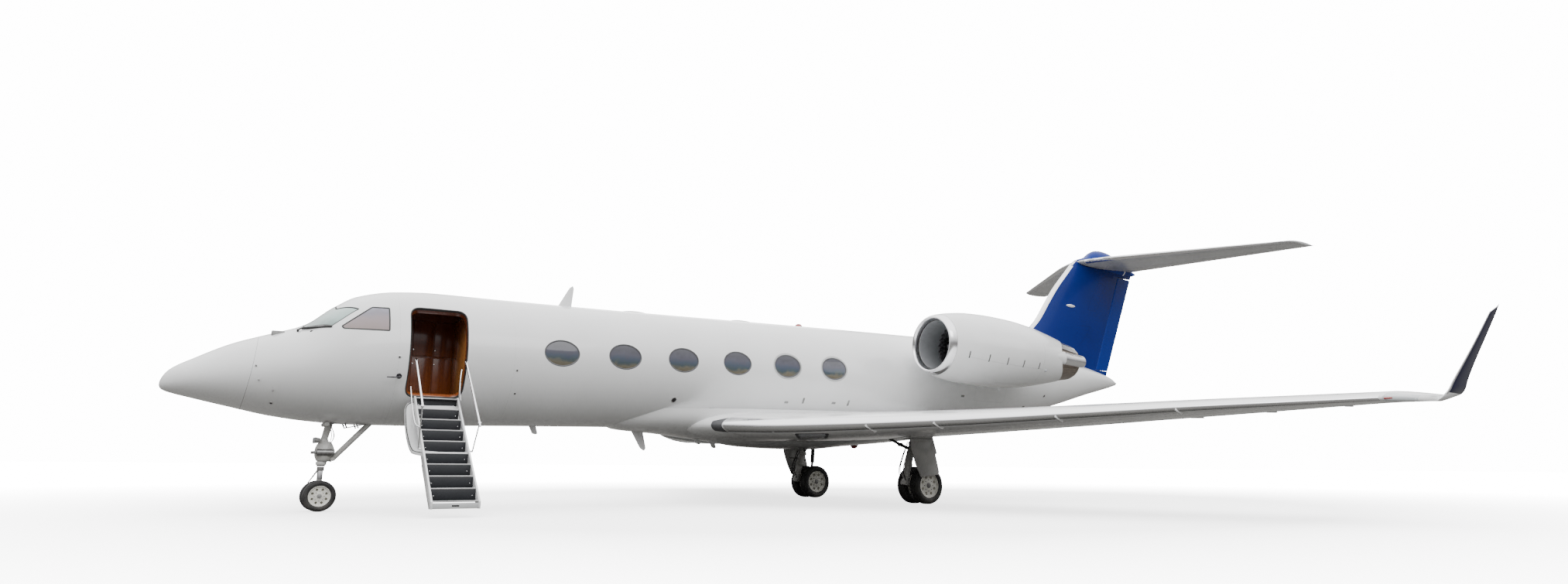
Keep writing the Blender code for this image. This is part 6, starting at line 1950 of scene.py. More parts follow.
    def make_core(self) -> None:
        """The core with its splitter, the vanes behind the fan and the four struts."""
        start = -self.fan_place - 0.142
        profile = smooth_profile(((start, 0.17), (start - 0.10, 0.26), (start - 0.32, 0.385), (-2.2, 0.41),
                                  (-3.0, 0.38), (-3.5, 0.24), (-3.75, 0.10)), 5)
        core = turned(f"core_skin_{self.word}", [(start, 0.0)] + profile + [(-3.75, 0.0)], self.place, 72)
        present(core, Body.AIRFRAME, Slot.ENGINE, CAST, f"engine_{self.word}")
        rows = []
        for k in range(4):
            radius = 0.30 + 0.272 * k / 3
            rows.append([self.place @ Vector((radius, 0.035 * math.cos(t) * 0.35 + 0.006 * math.sin(t),
                                              -1.23 - 0.05 * math.cos(t) + 0.01 * math.sin(t)))
                         for t in turns_of(12)])
        vanes = around(f"stator_vanes_{self.word}", surface("stator_vane", rows, angle=50.0), self.place,
                       self.vane_count)
        present(vanes, Body.AIRFRAME, Slot.ENGINE, CAST)
        rows = [[self.place @ Vector((radius, 0.022 * math.sin(t), -1.55 - 0.11 * math.cos(t)))
                 for t in turns_of(20)] for radius in (0.36, 0.588)]
        struts = around(f"core_struts_{self.word}", surface("core_strut", rows, angle=50.0), self.place, 4,
                        math.pi / 4)
        present(struts, Body.AIRFRAME, Slot.ENGINE, CAST)

    def petal(self, name: str, start: float, end: float, finish: Finish) -> None:
        """One of the reverser's two shells round the nozzle, from a start to an end angle in degrees."""
        outer = smooth_profile(((-3.86, 0.588), (-4.10, 0.545), (-4.40, 0.492), (-4.68, 0.448)), 4)
        profile = outer + [(-4.688, 0.436)] + [(h, r - 0.022) for h, r in reversed(outer)]
        rows = [[self.polar(t, r, h) for h, r in profile]
                for t in (math.radians(start + (end - start) * k / 28) for k in range(29))]
        present(surface(f"{name}_{self.word}", rows), Body.AIRFRAME, Slot.POLISHED, finish)

    def make_nozzle(self) -> None:
        """The nozzle, its two reverser shells, and the fairings over their hinges."""
        profile = [(-3.86, 0.555), (-4.10, 0.512), (-4.40, 0.462), (-4.66, 0.422), (-4.78, 0.404), (-4.784, 0.398),
                   (-4.78, 0.390), (-4.66, 0.402), (-4.40, 0.440), (-4.10, 0.480), (-3.86, 0.520), (-3.86, 0.555)]
        present(turned(f"nozzle_skin_{self.word}", profile, self.place, 96), Body.AIRFRAME, Slot.ENGINE, HOT_METAL,
                f"nozzle_{self.word}")
        lobes = []
        for k in range(17):
            t = k / 16
            h = -3.7 - 0.85 * t
            row = []
            for turn in turns_of(96):
                wave = math.cos(turn * 12) * 0.045 * math.sin(math.pi / 2 * t)
                row.append(self.polar(turn, 0.33 - 0.07 * t + wave, h))
            lobes.append(row)
        mixer = surface(f"exhaust_mixer_{self.word}", lobes, fill=False)
        thicken(mixer, 0.005)
        present(mixer, Body.AIRFRAME, Slot.ENGINE, HOT_METAL)
        self.petal("upper_reverser", 205.0, 335.0, POLISHED)
        self.petal("lower_reverser", 25.0, 155.0, HOT_METAL)
        for hand, word in ((1, "starboard"), (-1, "port")):
            for name, steps, finish, slot in (
                    ("hinge_cover", ((3.30, 0.02), (3.45, 0.45), (3.65, 0.82), (4.02, 1.0)), WHITE, Slot.WHITE),
                    ("hinge_fairing", ((4.02, 0.97), (4.45, 0.97), (4.80, 0.93), (4.93, 0.78), (4.985, 0.45),
                                       (4.99, 0.05)), POLISHED, Slot.POLISHED)):
                rows = []
                for s, grow in smooth_profile(steps, 5):
                    grow = max(grow, 0.02)
                    middle = hand * (line_value(self.outside, min(s, 4.30)) - 0.075 - 0.09 * max(0.0, s - 4.30))
                    rows.append([self.place @ Vector((middle + 0.095 * grow * math.cos(t), 0.165 * grow * math.sin(t),
                                                      -s)) for t in turns_of(40)])
                present(surface(f"{name}_{self.word}_{word}", rows, angle=50.0), Body.AIRFRAME, slot, finish)

    def make_pylon(self) -> None:
        """The pylon between body and cowl."""
        rows = []
        for k in range(7):
            t = k / 6
            front, back = 15.35 + 0.20 * t, 18.75 - 0.40 * t
            y = self.side * (0.70 + 1.2 * t)
            z = 3.575 - self.pitch * 2.36
            swell = 1 + 0.9 * (1 - t) ** 4
            rows.append(Section(Vector((x_of(front), y, z + 0.012)), Vector((x_of(back), y, z - 0.02)),
                                Vector((0, 0, 1.0)), 0.085 * swell).ring())
        present(surface(f"pylon_skin_{self.word}", rows), Body.AIRFRAME, Slot.WHITE, WHITE, f"pylon_{self.word}")

    def band_round(self, name: str, distance: float, width: float, finish: Finish) -> None:
        """A thin joint round the cowl at a distance behind its lip."""
        profile = [(-d, line_value(self.outside, d) + lift)
                   for d, lift in ((distance, -0.002), (distance, 0.0008), (distance + width, 0.0008),
                                   (distance + width, -0.002), (distance, -0.002))]
        present(turned(name, profile, self.place, 96), Body.AIRFRAME, Slot.GREY, finish)

    def make_fittings(self) -> None:
        """Cowl joints, latches, the small side lights and a drain mast."""
        for number, distance in enumerate((0.163, 3.02)):
            tone = DARK_GREY if number == 0 else TAIL_GREY
            self.band_round(f"cowl_joint_{number}_{self.word}", distance, 0.004, tone)
        for number, hand in enumerate((-1, 1)):
            rows = []
            for lift in (-0.003, 0.0012):
                row = []
                for d in spread(0.45, 3.05, 0.08):
                    t = math.radians(90 + hand * (66 - 2 * (d - 0.54)))
                    row.append(self.polar(t, line_value(self.outside, d) + lift, -d))
                rows.append(row)
            other = [[p + Vector((0, 0, -0.004)) for p in row] for row in reversed(rows)]
            strip = surface(f"cowl_split_{number}_{self.word}", rows + other + rows[:1], closed=False, fill=False)
            present(strip, Body.AIRFRAME, Slot.GREY, TAIL_GREY)
        latches = []
        for hand in (-1, 1):
            for d in (0.52, 1.10, 1.70, 2.26, 2.86):
                rows = []
                for t in (math.radians(90 + hand * (70 - 1.5 * d + a)) for a in (-5.5, -2.5, 0.5, 3.5, 6.5)):
                    rows.append([self.polar(t, line_value(self.outside, d + shift) + lift, -d - shift)
                                 for shift, lift in ((-0.014, -0.002), (-0.014, 0.003), (0.014, 0.003),
                                                     (0.014, -0.002))])
                latches.append(surface(f"latch_{hand}_{d}", rows))
        present(join(f"cowl_latches_{self.word}", *latches), Body.AIRFRAME, Slot.PLASTIC, DARK_GREY)
        for hand, word in ((-1, "starboard"), (1, "port")):
            t = math.radians(90 + hand * 58)
            spot = self.polar(t, line_value(self.outside, 3.18), -3.18)
            out = (self.place.to_3x3() @ Vector((math.cos(t), math.sin(t), 0.0))).normalized()
            lamp = bar(f"side_lamp_{self.word}_{word}", spot - out * 0.01, spot + out * 0.03, 0.034, 0.022)
            present(lamp, Body.AIRFRAME, Slot.GLASS, CLEAR_LENS)
        low = self.place @ Vector((0.0, line_value(self.outside, 2.2), -2.2))
        outline = [low + Vector((run, -0.006, drop)) for run, drop in ((-0.05, 0.01), (0.06, 0.01), (0.085, -0.075),
                                                                       (0.02, -0.075))]
        mast = plate(f"drain_mast_{self.word}", outline, (0, 0.012, 0), 0.004)
        present(mast, Body.AIRFRAME, Slot.WHITE, WHITE)


@dataclass(frozen=True)
class WheelSize:
    """Sizes of a wheel and its tyre."""

    radius: float
    width: float
    rim: float
    holes: int = 8


def wheel_place(station: float, y: float, height: float) -> Matrix:
    """A frame at an axle whose Z runs to starboard."""
    return Matrix.Translation((x_of(station), y, height)) @ Matrix.Rotation(-math.pi / 2, 4, 'X')


def make_wheel(name: str, size: WheelSize, place: Matrix, out: int, body: Body, *replaced: str) -> None:
    """A tyre with its grooves and beads, and a rim with round holes, hub, bolts and cap.

    Args:
        name: the wheel's name.
        size: its sizes.
        place: its frame, whose Z is the axle.
        out: 1 where its outer face looks along the frame's Z, else -1.
        body: the body that carries it.
        replaced: the frame's nodes that its tyre stands for.
    """
    half, radius, rim = size.width / 2, size.radius, size.rim
    depth = radius - rim
    shoulder = [(0.70, rim - 0.004), (0.80, rim + 0.004), (0.93, rim + 0.16 * depth), (1.0, rim + 0.42 * depth),
                (0.985, rim + 0.62 * depth), (0.90, rim + 0.82 * depth), (0.78, radius - 0.055 * depth),
                (0.62, radius - 0.018 * depth)]
    side = smooth_profile([(a * half, r) for a, r in shoulder], 3)
    tread = []
    for groove in (0.42, 0.14):
        for shift, sink in ((0.030, 0.0), (0.022, 0.006), (-0.022, 0.006), (-0.030, 0.0)):
            tread.append(((groove + shift) * half, radius - (0.010 * depth if groove > 0.3 else 0.0) - sink))
    whole = side + tread + [(-h, r) for h, r in reversed(tread)] + [(-h, r) for h, r in reversed(side)]
    tyre = turned(f"{name}_tyre", whole + whole[:1], place, 96, 30.0)
    present(tyre, body, Slot.TYRE, RUBBER, *replaced)
    face = out * half
    dish = smooth_profile(((face * 0.82, rim + 0.012), (face * 0.86, rim + 0.002), (face * 0.76, rim - 0.010),
                           (face * 0.66, rim * 0.88), (face * 0.60, rim * 0.66), (face * 0.62, rim * 0.45),
                           (face * 0.66, rim * 0.36), (face * 0.68, rim * 0.28)), 3)
    front = dish + [(face * 0.66, 0.0)]
    rear = [(-face * 0.78, 0.0), (-face * 0.78, rim * 0.5), (-face * 0.60, rim * 0.86), (-face * 0.80, rim - 0.004),
            (-face * 0.80, rim + 0.010)]
    disc = turned(f"{name}_rim", front + rear + front[:1], place, 72, 30.0)
    for k in range(size.holes):
        turn = 2 * math.pi * (k + 0.5) / size.holes
        spot = Vector((rim * 0.70 * math.cos(turn), rim * 0.70 * math.sin(turn), 0.0))
        cut(disc, bar("rim_hole", place @ (spot + Vector((0, 0, face * 1.1))),
                      place @ (spot + Vector((0, 0, -face * 0.30))), rim * 0.125, sides=20, edge=0.0005))
    smooth(disc)
    present(disc, body, Slot.GEAR, RIM_WHITE)
    bolts = []
    for k in range(size.holes):
        turn = 2 * math.pi * k / size.holes
        spot = Vector((rim * 0.46 * math.cos(turn), rim * 0.46 * math.sin(turn), 0.0))
        bolts.append(bar(f"rim_bolt_{k}", place @ (spot + Vector((0, 0, face * 0.58))),
                         place @ (spot + Vector((0, 0, face * 0.68))), rim * 0.04, sides=6, edge=0.0006))
    cap = bar("hub_cap", place @ Vector((0, 0, face * 0.60)), place @ Vector((0, 0, face * 0.80)), rim * 0.24,
              rim * 0.20, 32)
    nut = bar("hub_nut", place @ Vector((0, 0, face * 0.78)), place @ Vector((0, 0, face * 0.88)), rim * 0.10,
              sides=6)
    present(join(f"{name}_bolts", cap, nut, *bolts), body, Slot.GEAR, GEAR_GREY)


@dataclass
class NoseGear:
    """The nose leg with its drag brace, the steered fork and the twin wheels."""

    station: float = 2.40
    axle: float = 0.2538
    size: WheelSize = WheelSize(0.2536, 0.165, 0.162)
    twin: float = 0.175

    def build(self) -> None:
        """Make every piece of the nose gear."""
        self.make_leg()
        self.make_fork()
        for y, word in ((-self.twin, "left"), (self.twin, "right")):
            replaced = ("nose_wheels",) if y < 0 else ()
            make_wheel(f"nose_wheel_{word}", self.size, wheel_place(self.station, y, self.axle), 1 if y > 0 else -1,
                       Body.NOSE_WHEELS, *replaced)

    def at(self, run: float, y: float, z: float) -> Vector:
        """A point by its distance aft of the leg."""
        return Vector((x_of(self.station + run), y, z))

    def make_leg(self) -> None:
        """The strut and its casting, the drag brace, steering cylinders, lines, lamps and door links."""
        tube = bar("nose_strut", self.at(0, 0, 0.745), self.at(0, 0, 1.20), 0.060, sides=40, edge=0.01)
        arm = bar("nose_arm", self.at(0, 0, 1.14), self.at(0.09, 0, 1.60), 0.052, 0.062, 40)
        casting = turned("nose_casting", smooth_profile((
            (0.0, 0.0), (0.0, 0.09), (0.06, 0.135), (0.16, 0.152), (0.26, 0.132), (0.33, 0.08), (0.33, 0.0)), 4),
            Matrix.Translation(self.at(0.03, 0, 0.82)), 48)
        collars = [tube, arm, casting]
        collars += [bar(f"nose_collar_{k}", self.at(0, 0, low), self.at(0, 0, high), radius, sides=40, edge=0.01)
                    for k, (low, high, radius) in enumerate(((0.76, 0.82, 0.082), (1.12, 1.19, 0.078)))]
        cross = bar("nose_trunnion", self.at(0, -0.255, 1.44), self.at(0, 0.255, 1.44), 0.036)
        present(join("nose_leg_skin", *collars, cross), Body.AIRFRAME, Slot.GEAR, GEAR_WHITE, "nose_gear_leg")
        gland = bar("nose_gland", self.at(0, 0, 0.7375), self.at(0, 0, 0.765), 0.066, sides=40)
        present(gland, Body.AIRFRAME, Slot.GEAR, GEAR_GREY)
        low, high = self.at(0.16, 0, 0.86), self.at(0.78, 0, 1.58)
        brace = [bar(f"drag_brace_{k}", low + Vector((0, y, 0)), high + Vector((0, y * 1.6, 0)), 0.040)
                 for k, y in enumerate((-0.06, 0.06))]
        brace.append(bar("brace_lug", self.at(0.02, 0, 0.88), low, 0.05))
        knuckle = bar("brace_knuckle", low + Vector((0.0, -0.10, 0)), low + Vector((0.0, 0.10, 0)), 0.034)
        middle = (low + high) / 2
        link = bar("brace_link", middle + Vector((0, -0.10, 0)), middle + Vector((0, 0.10, 0)), 0.026)
        present(join("nose_drag_brace", *brace, knuckle, link), Body.AIRFRAME, Slot.GEAR, GEAR_WHITE)
        steering = []
        for y in (-0.135, 0.135):
            steering.append(bar(f"steering_cylinder_{y}", self.at(-0.10, y, 0.97), self.at(0.17, y, 0.97), 0.055))
            steering.append(bar(f"steering_rod_{y}", self.at(-0.16, y, 0.97), self.at(-0.09, y, 0.97), 0.024))
        present(join("steering_cylinders", *steering), Body.AIRFRAME, Slot.GEAR, CAST)
        lines = []
        for k, (y, swing) in enumerate(((0.055, 0.05), (-0.055, 0.07), (0.025, 0.085))):
            route = [self.at(0.055, y, 1.50), self.at(0.075 + swing, y, 1.25), self.at(0.08, y * 1.3, 1.05),
                     self.at(0.10, y * 1.5, 0.93), self.at(0.07, y, 0.80)]
            lines.append(pipe(f"nose_line_{k}", smooth_path(route), 0.007))
        present(join("nose_lines", *lines), Body.AIRFRAME, Slot.PLASTIC, BLACK)
        shells, lenses = [], []
        for y in (-0.10, 0.10):
            shells.append(bar(f"taxi_light_{y}", self.at(-0.145, y, 1.17), self.at(-0.06, y, 1.17), 0.052, 0.036, 32))
            lenses.append(bar(f"taxi_lens_{y}", self.at(-0.150, y, 1.17), self.at(-0.140, y, 1.17), 0.045, sides=32))
        bracket = bar("taxi_bracket", self.at(-0.08, -0.10, 1.17), self.at(-0.08, 0.10, 1.17), 0.014)
        stay = bar("taxi_stay", self.at(-0.08, 0, 1.17), self.at(0.0, 0, 1.17), 0.018)
        present(join("taxi_lights", *shells, bracket, stay), Body.AIRFRAME, Slot.GEAR, GEAR_GREY)
        present(join("taxi_lenses", *lenses), Body.AIRFRAME, Slot.GLASS, CLEAR_LENS)
        links = []
        for y in (-0.14, 0.14):
            links.append(bar(f"door_link_{y}", self.at(0.06, y, 1.46), self.at(0.66, y, 1.50), 0.012))
            links += [bar(f"door_crank_{y}_{run}", self.at(run, y, 1.475), self.at(run + 0.04, y, 1.385), 0.012)
                      for run in (0.28, 0.46)]
            links.append(bar(f"door_rod_{y}", self.at(0.32, y, 1.39), self.at(0.62, y, 1.46), 0.009))
        present(join("nose_door_links", *links), Body.AIRFRAME, Slot.GEAR, GEAR_GREY)

    def make_fork(self) -> None:
        """The polished piston, the fork and axle and the torque links, which steer."""
        piston = bar("nose_piston", self.at(0, 0, 0.30), self.at(0, 0, 0.735), 0.044, sides=32)
        present(piston, Body.NOSE_STEERING, Slot.POLISHED, BRIGHT)
        hub = bar("nose_fork_hub", self.at(0, 0, 0.20), self.at(0, 0, 0.37), 0.058, sides=32, edge=0.01)
        axle = bar("nose_axle", self.at(0, -0.245, self.axle), self.at(0, 0.245, self.axle), 0.024)
        swivel = bar("nose_swivel", self.at(0, 0, 0.665), self.at(0, 0, 0.735), 0.056, sides=32, edge=0.008)
        knee = 0.47
        links = [plate(f"torque_link_{k}", [self.at(-0.03, y, high), self.at(-0.165, y, knee + 0.012),
                                            self.at(-0.165, y, knee - 0.012), self.at(-0.03, y, low)],
                       (0, 0.014, 0), 0.004)
                 for k, (y, high, low) in enumerate(((-0.034, 0.715, 0.665), (0.020, 0.715, 0.665),
                                                     (-0.034, 0.355, 0.30), (0.020, 0.355, 0.30)))]
        pin = bar("torque_pin", self.at(-0.158, -0.045, knee), self.at(-0.158, 0.045, knee), 0.014)
        lug = block("tow_lug", self.at(-0.085, -0.02, 0.235), self.at(-0.04, 0.02, 0.275), 0.006)
        present(join("nose_fork_skin", hub, axle, swivel, pin, lug, *links), Body.NOSE_STEERING, Slot.GEAR,
                GEAR_GREY, "nose_fork")


@dataclass
class MainGear:
    """One main gear leg with its braces, door and twin wheels; made for both sides."""

    side: int
    word: str
    station: float = 14.03
    track: float = 2.085
    axle: float = 0.4000
    size: WheelSize = WheelSize(0.3998, 0.235, 0.258)
    twin: float = 0.205

    def build(self) -> None:
        """Make every piece of this gear."""
        self.make_leg()
        self.make_door()
        body = Body.MAIN_WHEELS_LEFT if self.side < 0 else Body.MAIN_WHEELS_RIGHT
        for shift, word in ((-self.twin, "a"), (self.twin, "b")):
            replaced = (f"main_wheels_{self.word}",) if shift < 0 else ()
            make_wheel(f"main_wheel_{self.word}_{word}", self.size,
                       wheel_place(self.station, self.side * self.track + shift, self.axle), 1 if shift > 0 else -1,
                       body, *replaced)

    def at(self, station: float, y: float, z: float) -> Vector:
        """A point on this side; y is the distance from the centre."""
        return Vector((x_of(station), self.side * y, z))

    def make_leg(self) -> None:
        """The post, the trailing arm with its shock strut, the side brace, brake packs and brake lines."""
        y = self.track
        low, high = self.at(13.59, y, 0.47), self.at(13.90, y, 1.50)
        along = (high - low).normalized()
        axle_place = self.at(self.station, y, self.axle)
        post = bar("main_post", low - along * 0.07, high, 0.078, sides=40, edge=0.012)
        collars = [bar(f"main_collar_{k}", low + along * a, low + along * b, r, sides=40, edge=0.008)
                   for k, (a, b, r) in enumerate(((0.10, 0.17, 0.098), (0.36, 0.42, 0.094), (0.62, 0.68, 0.092)))]
        collars.append(bar("main_arm", low, axle_place, 0.066, 0.060, 32))
        collars.append(bar("main_arm_pin", self.at(13.585, y - 0.085, 0.45), self.at(13.585, y + 0.085, 0.45), 0.05))
        axle = bar("main_axle", self.at(self.station, y - 0.27, self.axle),
                   self.at(self.station, y + 0.27, self.axle), 0.046, sides=32)
        foot = bar("main_foot", axle_place - Vector((0, 0, 0.05)), axle_place + Vector((0.02, 0, 0.12)), 0.066,
                   sides=32)
        trunnion = bar("main_trunnion", self.at(13.60, y, 1.44), self.at(13.98, y, 1.44), 0.05)
        present(join(f"main_leg_skin_{self.word}", post, *collars, axle, foot, trunnion), Body.AIRFRAME, Slot.GEAR,
                GEAR_WHITE, f"main_gear_leg_{self.word}")
        piston = bar(f"main_piston_{self.word}", self.at(14.06, y, 0.50), self.at(14.10, y, 0.92), 0.032, sides=32)
        present(piston, Body.AIRFRAME, Slot.POLISHED, BRIGHT)
        links = [bar("shock_body", self.at(14.098, y, 0.88), self.at(14.13, y, 1.44), 0.05, sides=32),
                 bar("shock_top", self.at(14.13, y - 0.07, 1.40), self.at(14.13, y + 0.07, 1.40), 0.03),
                 bar("shock_foot", self.at(14.058, y - 0.06, 0.50), self.at(14.058, y + 0.06, 0.50), 0.028)]
        present(join(f"main_shock_{self.word}", *links), Body.AIRFRAME, Slot.GEAR, DARK_STEEL)
        brace = [bar("side_brace_low", self.at(13.82, y, 1.16), self.at(13.75, 1.78, 1.28), 0.034),
                 bar("side_brace_top", self.at(13.75, 1.78, 1.28), self.at(13.64, 1.47, 1.44), 0.030),
                 bar("side_brace_pin", self.at(13.70, 1.78, 1.28), self.at(13.80, 1.78, 1.28), 0.04)]
        present(join(f"side_brace_{self.word}", *brace), Body.AIRFRAME, Slot.GEAR, BLACK)
        stack = [bar(f"brake_{k}", self.at(self.station, y + a, self.axle), self.at(self.station, y + b, self.axle),
                     0.135, sides=40, edge=0.01) for k, (a, b) in enumerate(((-0.106, -0.068), (0.068, 0.106)))]
        present(join(f"brake_packs_{self.word}", *stack), Body.AIRFRAME, Slot.GEAR, DARK_STEEL)
        lines = []
        for k, (shift, bulge) in enumerate(((0.05, 0.0), (-0.05, 0.02), (0.0, 0.04))):
            route = [self.at(13.74, y + shift, 1.34), self.at(13.60 - bulge, y + shift, 1.02),
                     self.at(13.50 - bulge, y + shift * 1.2, 0.72), self.at(13.56, y + shift * 1.4, 0.50)]
            lines.append(pipe(f"brake_line_{k}", smooth_path(route), 0.010))
        present(join(f"brake_lines_{self.word}", *lines), Body.AIRFRAME, Slot.PLASTIC, BLACK)

    def make_door(self) -> None:
        """The leg's door plate with its ribs, stays and joint."""
        outline = [self.at(s, 2.462, z) for s, z in ((13.42, 1.50), (13.46, 1.15), (13.565, 0.85), (13.71, 0.575),
                                                    (14.23, 0.63), (14.24, 0.70), (14.145, 1.06), (14.19, 1.09),
                                                    (14.08, 1.42), (14.08, 1.50))]
        door = plate(f"main_door_skin_{self.word}", outline, (0, self.side * 0.026, 0), 0.006)
        # The door is white paint; its grey finish is painted shade.
        present(door, Body.AIRFRAME, Slot.WHITE, PAINTED_SHADE_GREY, f"main_gear_door_{self.word}")
        ribs = [bar(f"door_rib_{k}", self.at(13.60 + 0.04 * k, 2.455, z), self.at(14.04, 2.455, z), 0.014)
                for k, z in enumerate((1.28, 1.0, 0.74))]
        stays = [bar(f"door_stay_{k}", self.at(s, self.track + 0.05, z), self.at(s, 2.462, z), 0.016)
                 for k, (s, z) in enumerate(((13.84, 1.22), (13.93, 0.95)))]
        present(join(f"door_stays_{self.word}", *ribs, *stays), Body.AIRFRAME, Slot.GEAR, GEAR_GREY)
        joint = block(f"door_joint_{self.word}", self.at(13.425, 2.4865 if self.side > 0 else 2.4895, 1.392),
                      self.at(14.085, 2.4895 if self.side > 0 else 2.4865, 1.400), 0.001, 1)
        present(joint, Body.AIRFRAME, Slot.PLASTIC, DARK_GREY)


@dataclass
class Airstair:
    """The door hanging open, its two flights of steps and its hand rails."""

    front: float = 3.611
    back: float = 4.282
    riser: float = 0.182
    tread: float = 0.203
    upper_steps: int = 5
    all_steps: int = 9
    top_y: float = -1.031
    top_z: float = 1.888
    foot: float = 0.13
    sill: float = 1.906
    opening: float = math.radians(132)

    def build(self) -> None:
        """Make every piece of the airstair."""
        self.make_door()
        self.make_flight("upper", 0, self.upper_steps)
        self.make_flight("lower", self.upper_steps, self.all_steps)
        self.make_rails()
        self.make_sill()

    def step(self, number: float) -> tuple[float, float]:
        """The outer edge of a step as (y, height)."""
        return self.top_y - self.tread * number, self.top_z - self.riser * number

    def at(self, station: float, y: float, z: float) -> Vector:
        """A point by its station."""
        return Vector((x_of(station), y, z))

    def make_door(self) -> None:
        """The door's outer skin, a piece of the hull swung down about its sill, with its seal and hinges."""
        corners = [(3.448, 1.956), (4.362, 1.956), (4.362, 3.32), (3.448, 3.32)]
        outline = [(s, HULL.angle_at(s, z, PORT)) for s, z in rounded_polygon(corners, 0.17, 8, 0.08)]
        half_width, waist = 1.195, 2.665
        hinge = Vector((0.0, -math.sqrt(half_width ** 2 - (waist - self.sill) ** 2) - 0.012, self.sill - 0.02))
        swing = Matrix.Translation(hinge) @ Matrix.Rotation(self.opening, 4, 'X') @ Matrix.Translation(-hinge)
        skin = HULL.patch("door_skin", outline, 0.0, 0.045, 10)
        skin.data.transform(swing)
        present(skin, Body.AIRFRAME, Slot.WHITE, WHITE, "door_panel")
        seal = HULL.frame_round("door_seal", offset_outline(outline, -0.012), (
            (0.006, -0.046), (0.006, -0.056), (-0.006, -0.056), (-0.006, -0.046)))
        seal.data.transform(swing)
        present(seal, Body.AIRFRAME, Slot.PLASTIC, SEAL)
        fittings = []
        for number, station in enumerate((3.52, 4.30)):
            for height in (1.93, 2.06):
                place = HULL.at(station, height + 0.06, PORT, -0.005)
                fittings.append(block(f"hinge_leaf_{number}_{height}", place - Vector((0.03, 0.02, 0.035)),
                                      place + Vector((0.03, 0.02, 0.035)), 0.006))
        leaves = join("door_hinges", *fittings)
        leaves.data.transform(swing)
        present(leaves, Body.AIRFRAME, Slot.GREY, BRUSHED)

    def stringer(self, name: str, first: int, last: int, station: float) -> Piece:
        """One side plate of a flight."""
        (start_y, start_z), (end_y, end_z) = self.step(first), self.step(last)
        if last == self.all_steps:
            outline = [(start_y, start_z + 0.03), (end_y + 0.02, end_z + 0.03), (end_y - 0.028, end_z - 0.01),
                       (end_y - 0.028, self.foot), (end_y + 0.10, self.foot), (start_y, start_z - 0.22)]
        else:
            outline = [(start_y + 0.05, start_z + 0.005), (start_y - 0.02, start_z + 0.03),
                       (end_y + 0.004, end_z + 0.03), (end_y + 0.004, end_z - 0.19),
                       (start_y - 0.25, start_z - 0.33), (start_y - 0.055, start_z - 0.16)]
        return plate(name, [self.at(station, y, z) for y, z in outline], (0.029, 0, 0), 0.004)

    def make_flight(self, word: str, first: int, last: int) -> None:
        """Side plates, treads, risers, nosings and screws of one flight."""
        sides = [self.stringer(f"{word}_stringer_front", first, last, self.front - 0.030),
                 self.stringer(f"{word}_stringer_back", first, last, self.back + 0.001)]
        present(join(f"{word}_stringers", *sides), Body.AIRFRAME, Slot.WHITE, WHITE, f"{word}_stair")
        trays, mats, nosings, risers, screws = [], [], [], [], []
        low, high = self.front, self.back
        for number in range(first + 1, last + 1):
            inner = self.step(number - 1)
            y, z = self.step(number)
            shy = 0.006 if number == last and last != self.all_steps else 0.0
            trays.append(block(f"tray_{number}", self.at(low, y + shy, z - 0.016),
                               self.at(high, inner[0], z - 0.002), 0.003))
            mats.append(block(f"mat_{number}", self.at(low + 0.012, y + shy + 0.030, z - 0.004),
                              self.at(high - 0.012, inner[0] - 0.006, z + 0.002), 0.002))
            for k in range(5):
                line = y + shy + 0.045 + 0.030 * k
                mats.append(block(f"rib_{number}_{k}", self.at(low + 0.02, line, z),
                                  self.at(high - 0.02, line + 0.012, z + 0.004), 0.001, 1))
            nosings.append(block(f"nosing_{number}", self.at(low, y + shy - 0.004, z - 0.018),
                                 self.at(high, y + shy + 0.022, z + 0.004), 0.005, 3))
            risers.append(block(f"riser_{number}", self.at(low, inner[0] - 0.004, z - 0.004),
                                self.at(high, inner[0] + 0.010, inner[1] - 0.014), 0.002))
            for k in range(2):
                spot = self.at(low + 0.05 + (high - low - 0.10) * k, inner[0] - 0.003, z + 0.07)
                screws.append(bar(f"screw_{number}_{k}", spot, spot - Vector((0, 0.005, 0)), 0.008, sides=12))
        present(join(f"{word}_trays", *trays), Body.AIRFRAME, Slot.GREY, BRUSHED)
        present(join(f"{word}_mats", *mats), Body.AIRFRAME, Slot.STAIR, TREAD)
        present(join(f"{word}_nosings", *nosings), Body.AIRFRAME, Slot.POLISHED, BRUSHED)
        present(join(f"{word}_risers", *risers), Body.AIRFRAME, Slot.STAIR, TREAD)
        present(join(f"{word}_screws", *screws), Body.AIRFRAME, Slot.POLISHED, BRIGHT)
        if last == self.all_steps:
            end_y, end_z = self.step(last)
            kick = block("foot_plate", self.at(low - 0.028, end_y - 0.012, self.foot + 0.004),
                         self.at(high + 0.028, end_y + 0.02, end_z - 0.03), 0.006)
            present(kick, Body.AIRFRAME, Slot.GREY, FOOT_GREY)
            # A black block as painted shade: it stands for the dark inside of a slot in the foot plate.
            slot = block("foot_slot_shade", self.at(3.89, end_y - 0.0135, 0.165), self.at(4.0, end_y - 0.006, 0.19), 0.003)
            present(slot, Body.AIRFRAME, Slot.PLASTIC, BLACK)
            start_y, start_z = self.step(first)
            hinge = bar("fold_hinge", self.at(low - 0.03, start_y + 0.006, start_z - 0.018),
                        self.at(high + 0.03, start_y + 0.006, start_z - 0.018), 0.014)
            present(hinge, Body.AIRFRAME, Slot.POLISHED, BRUSHED)

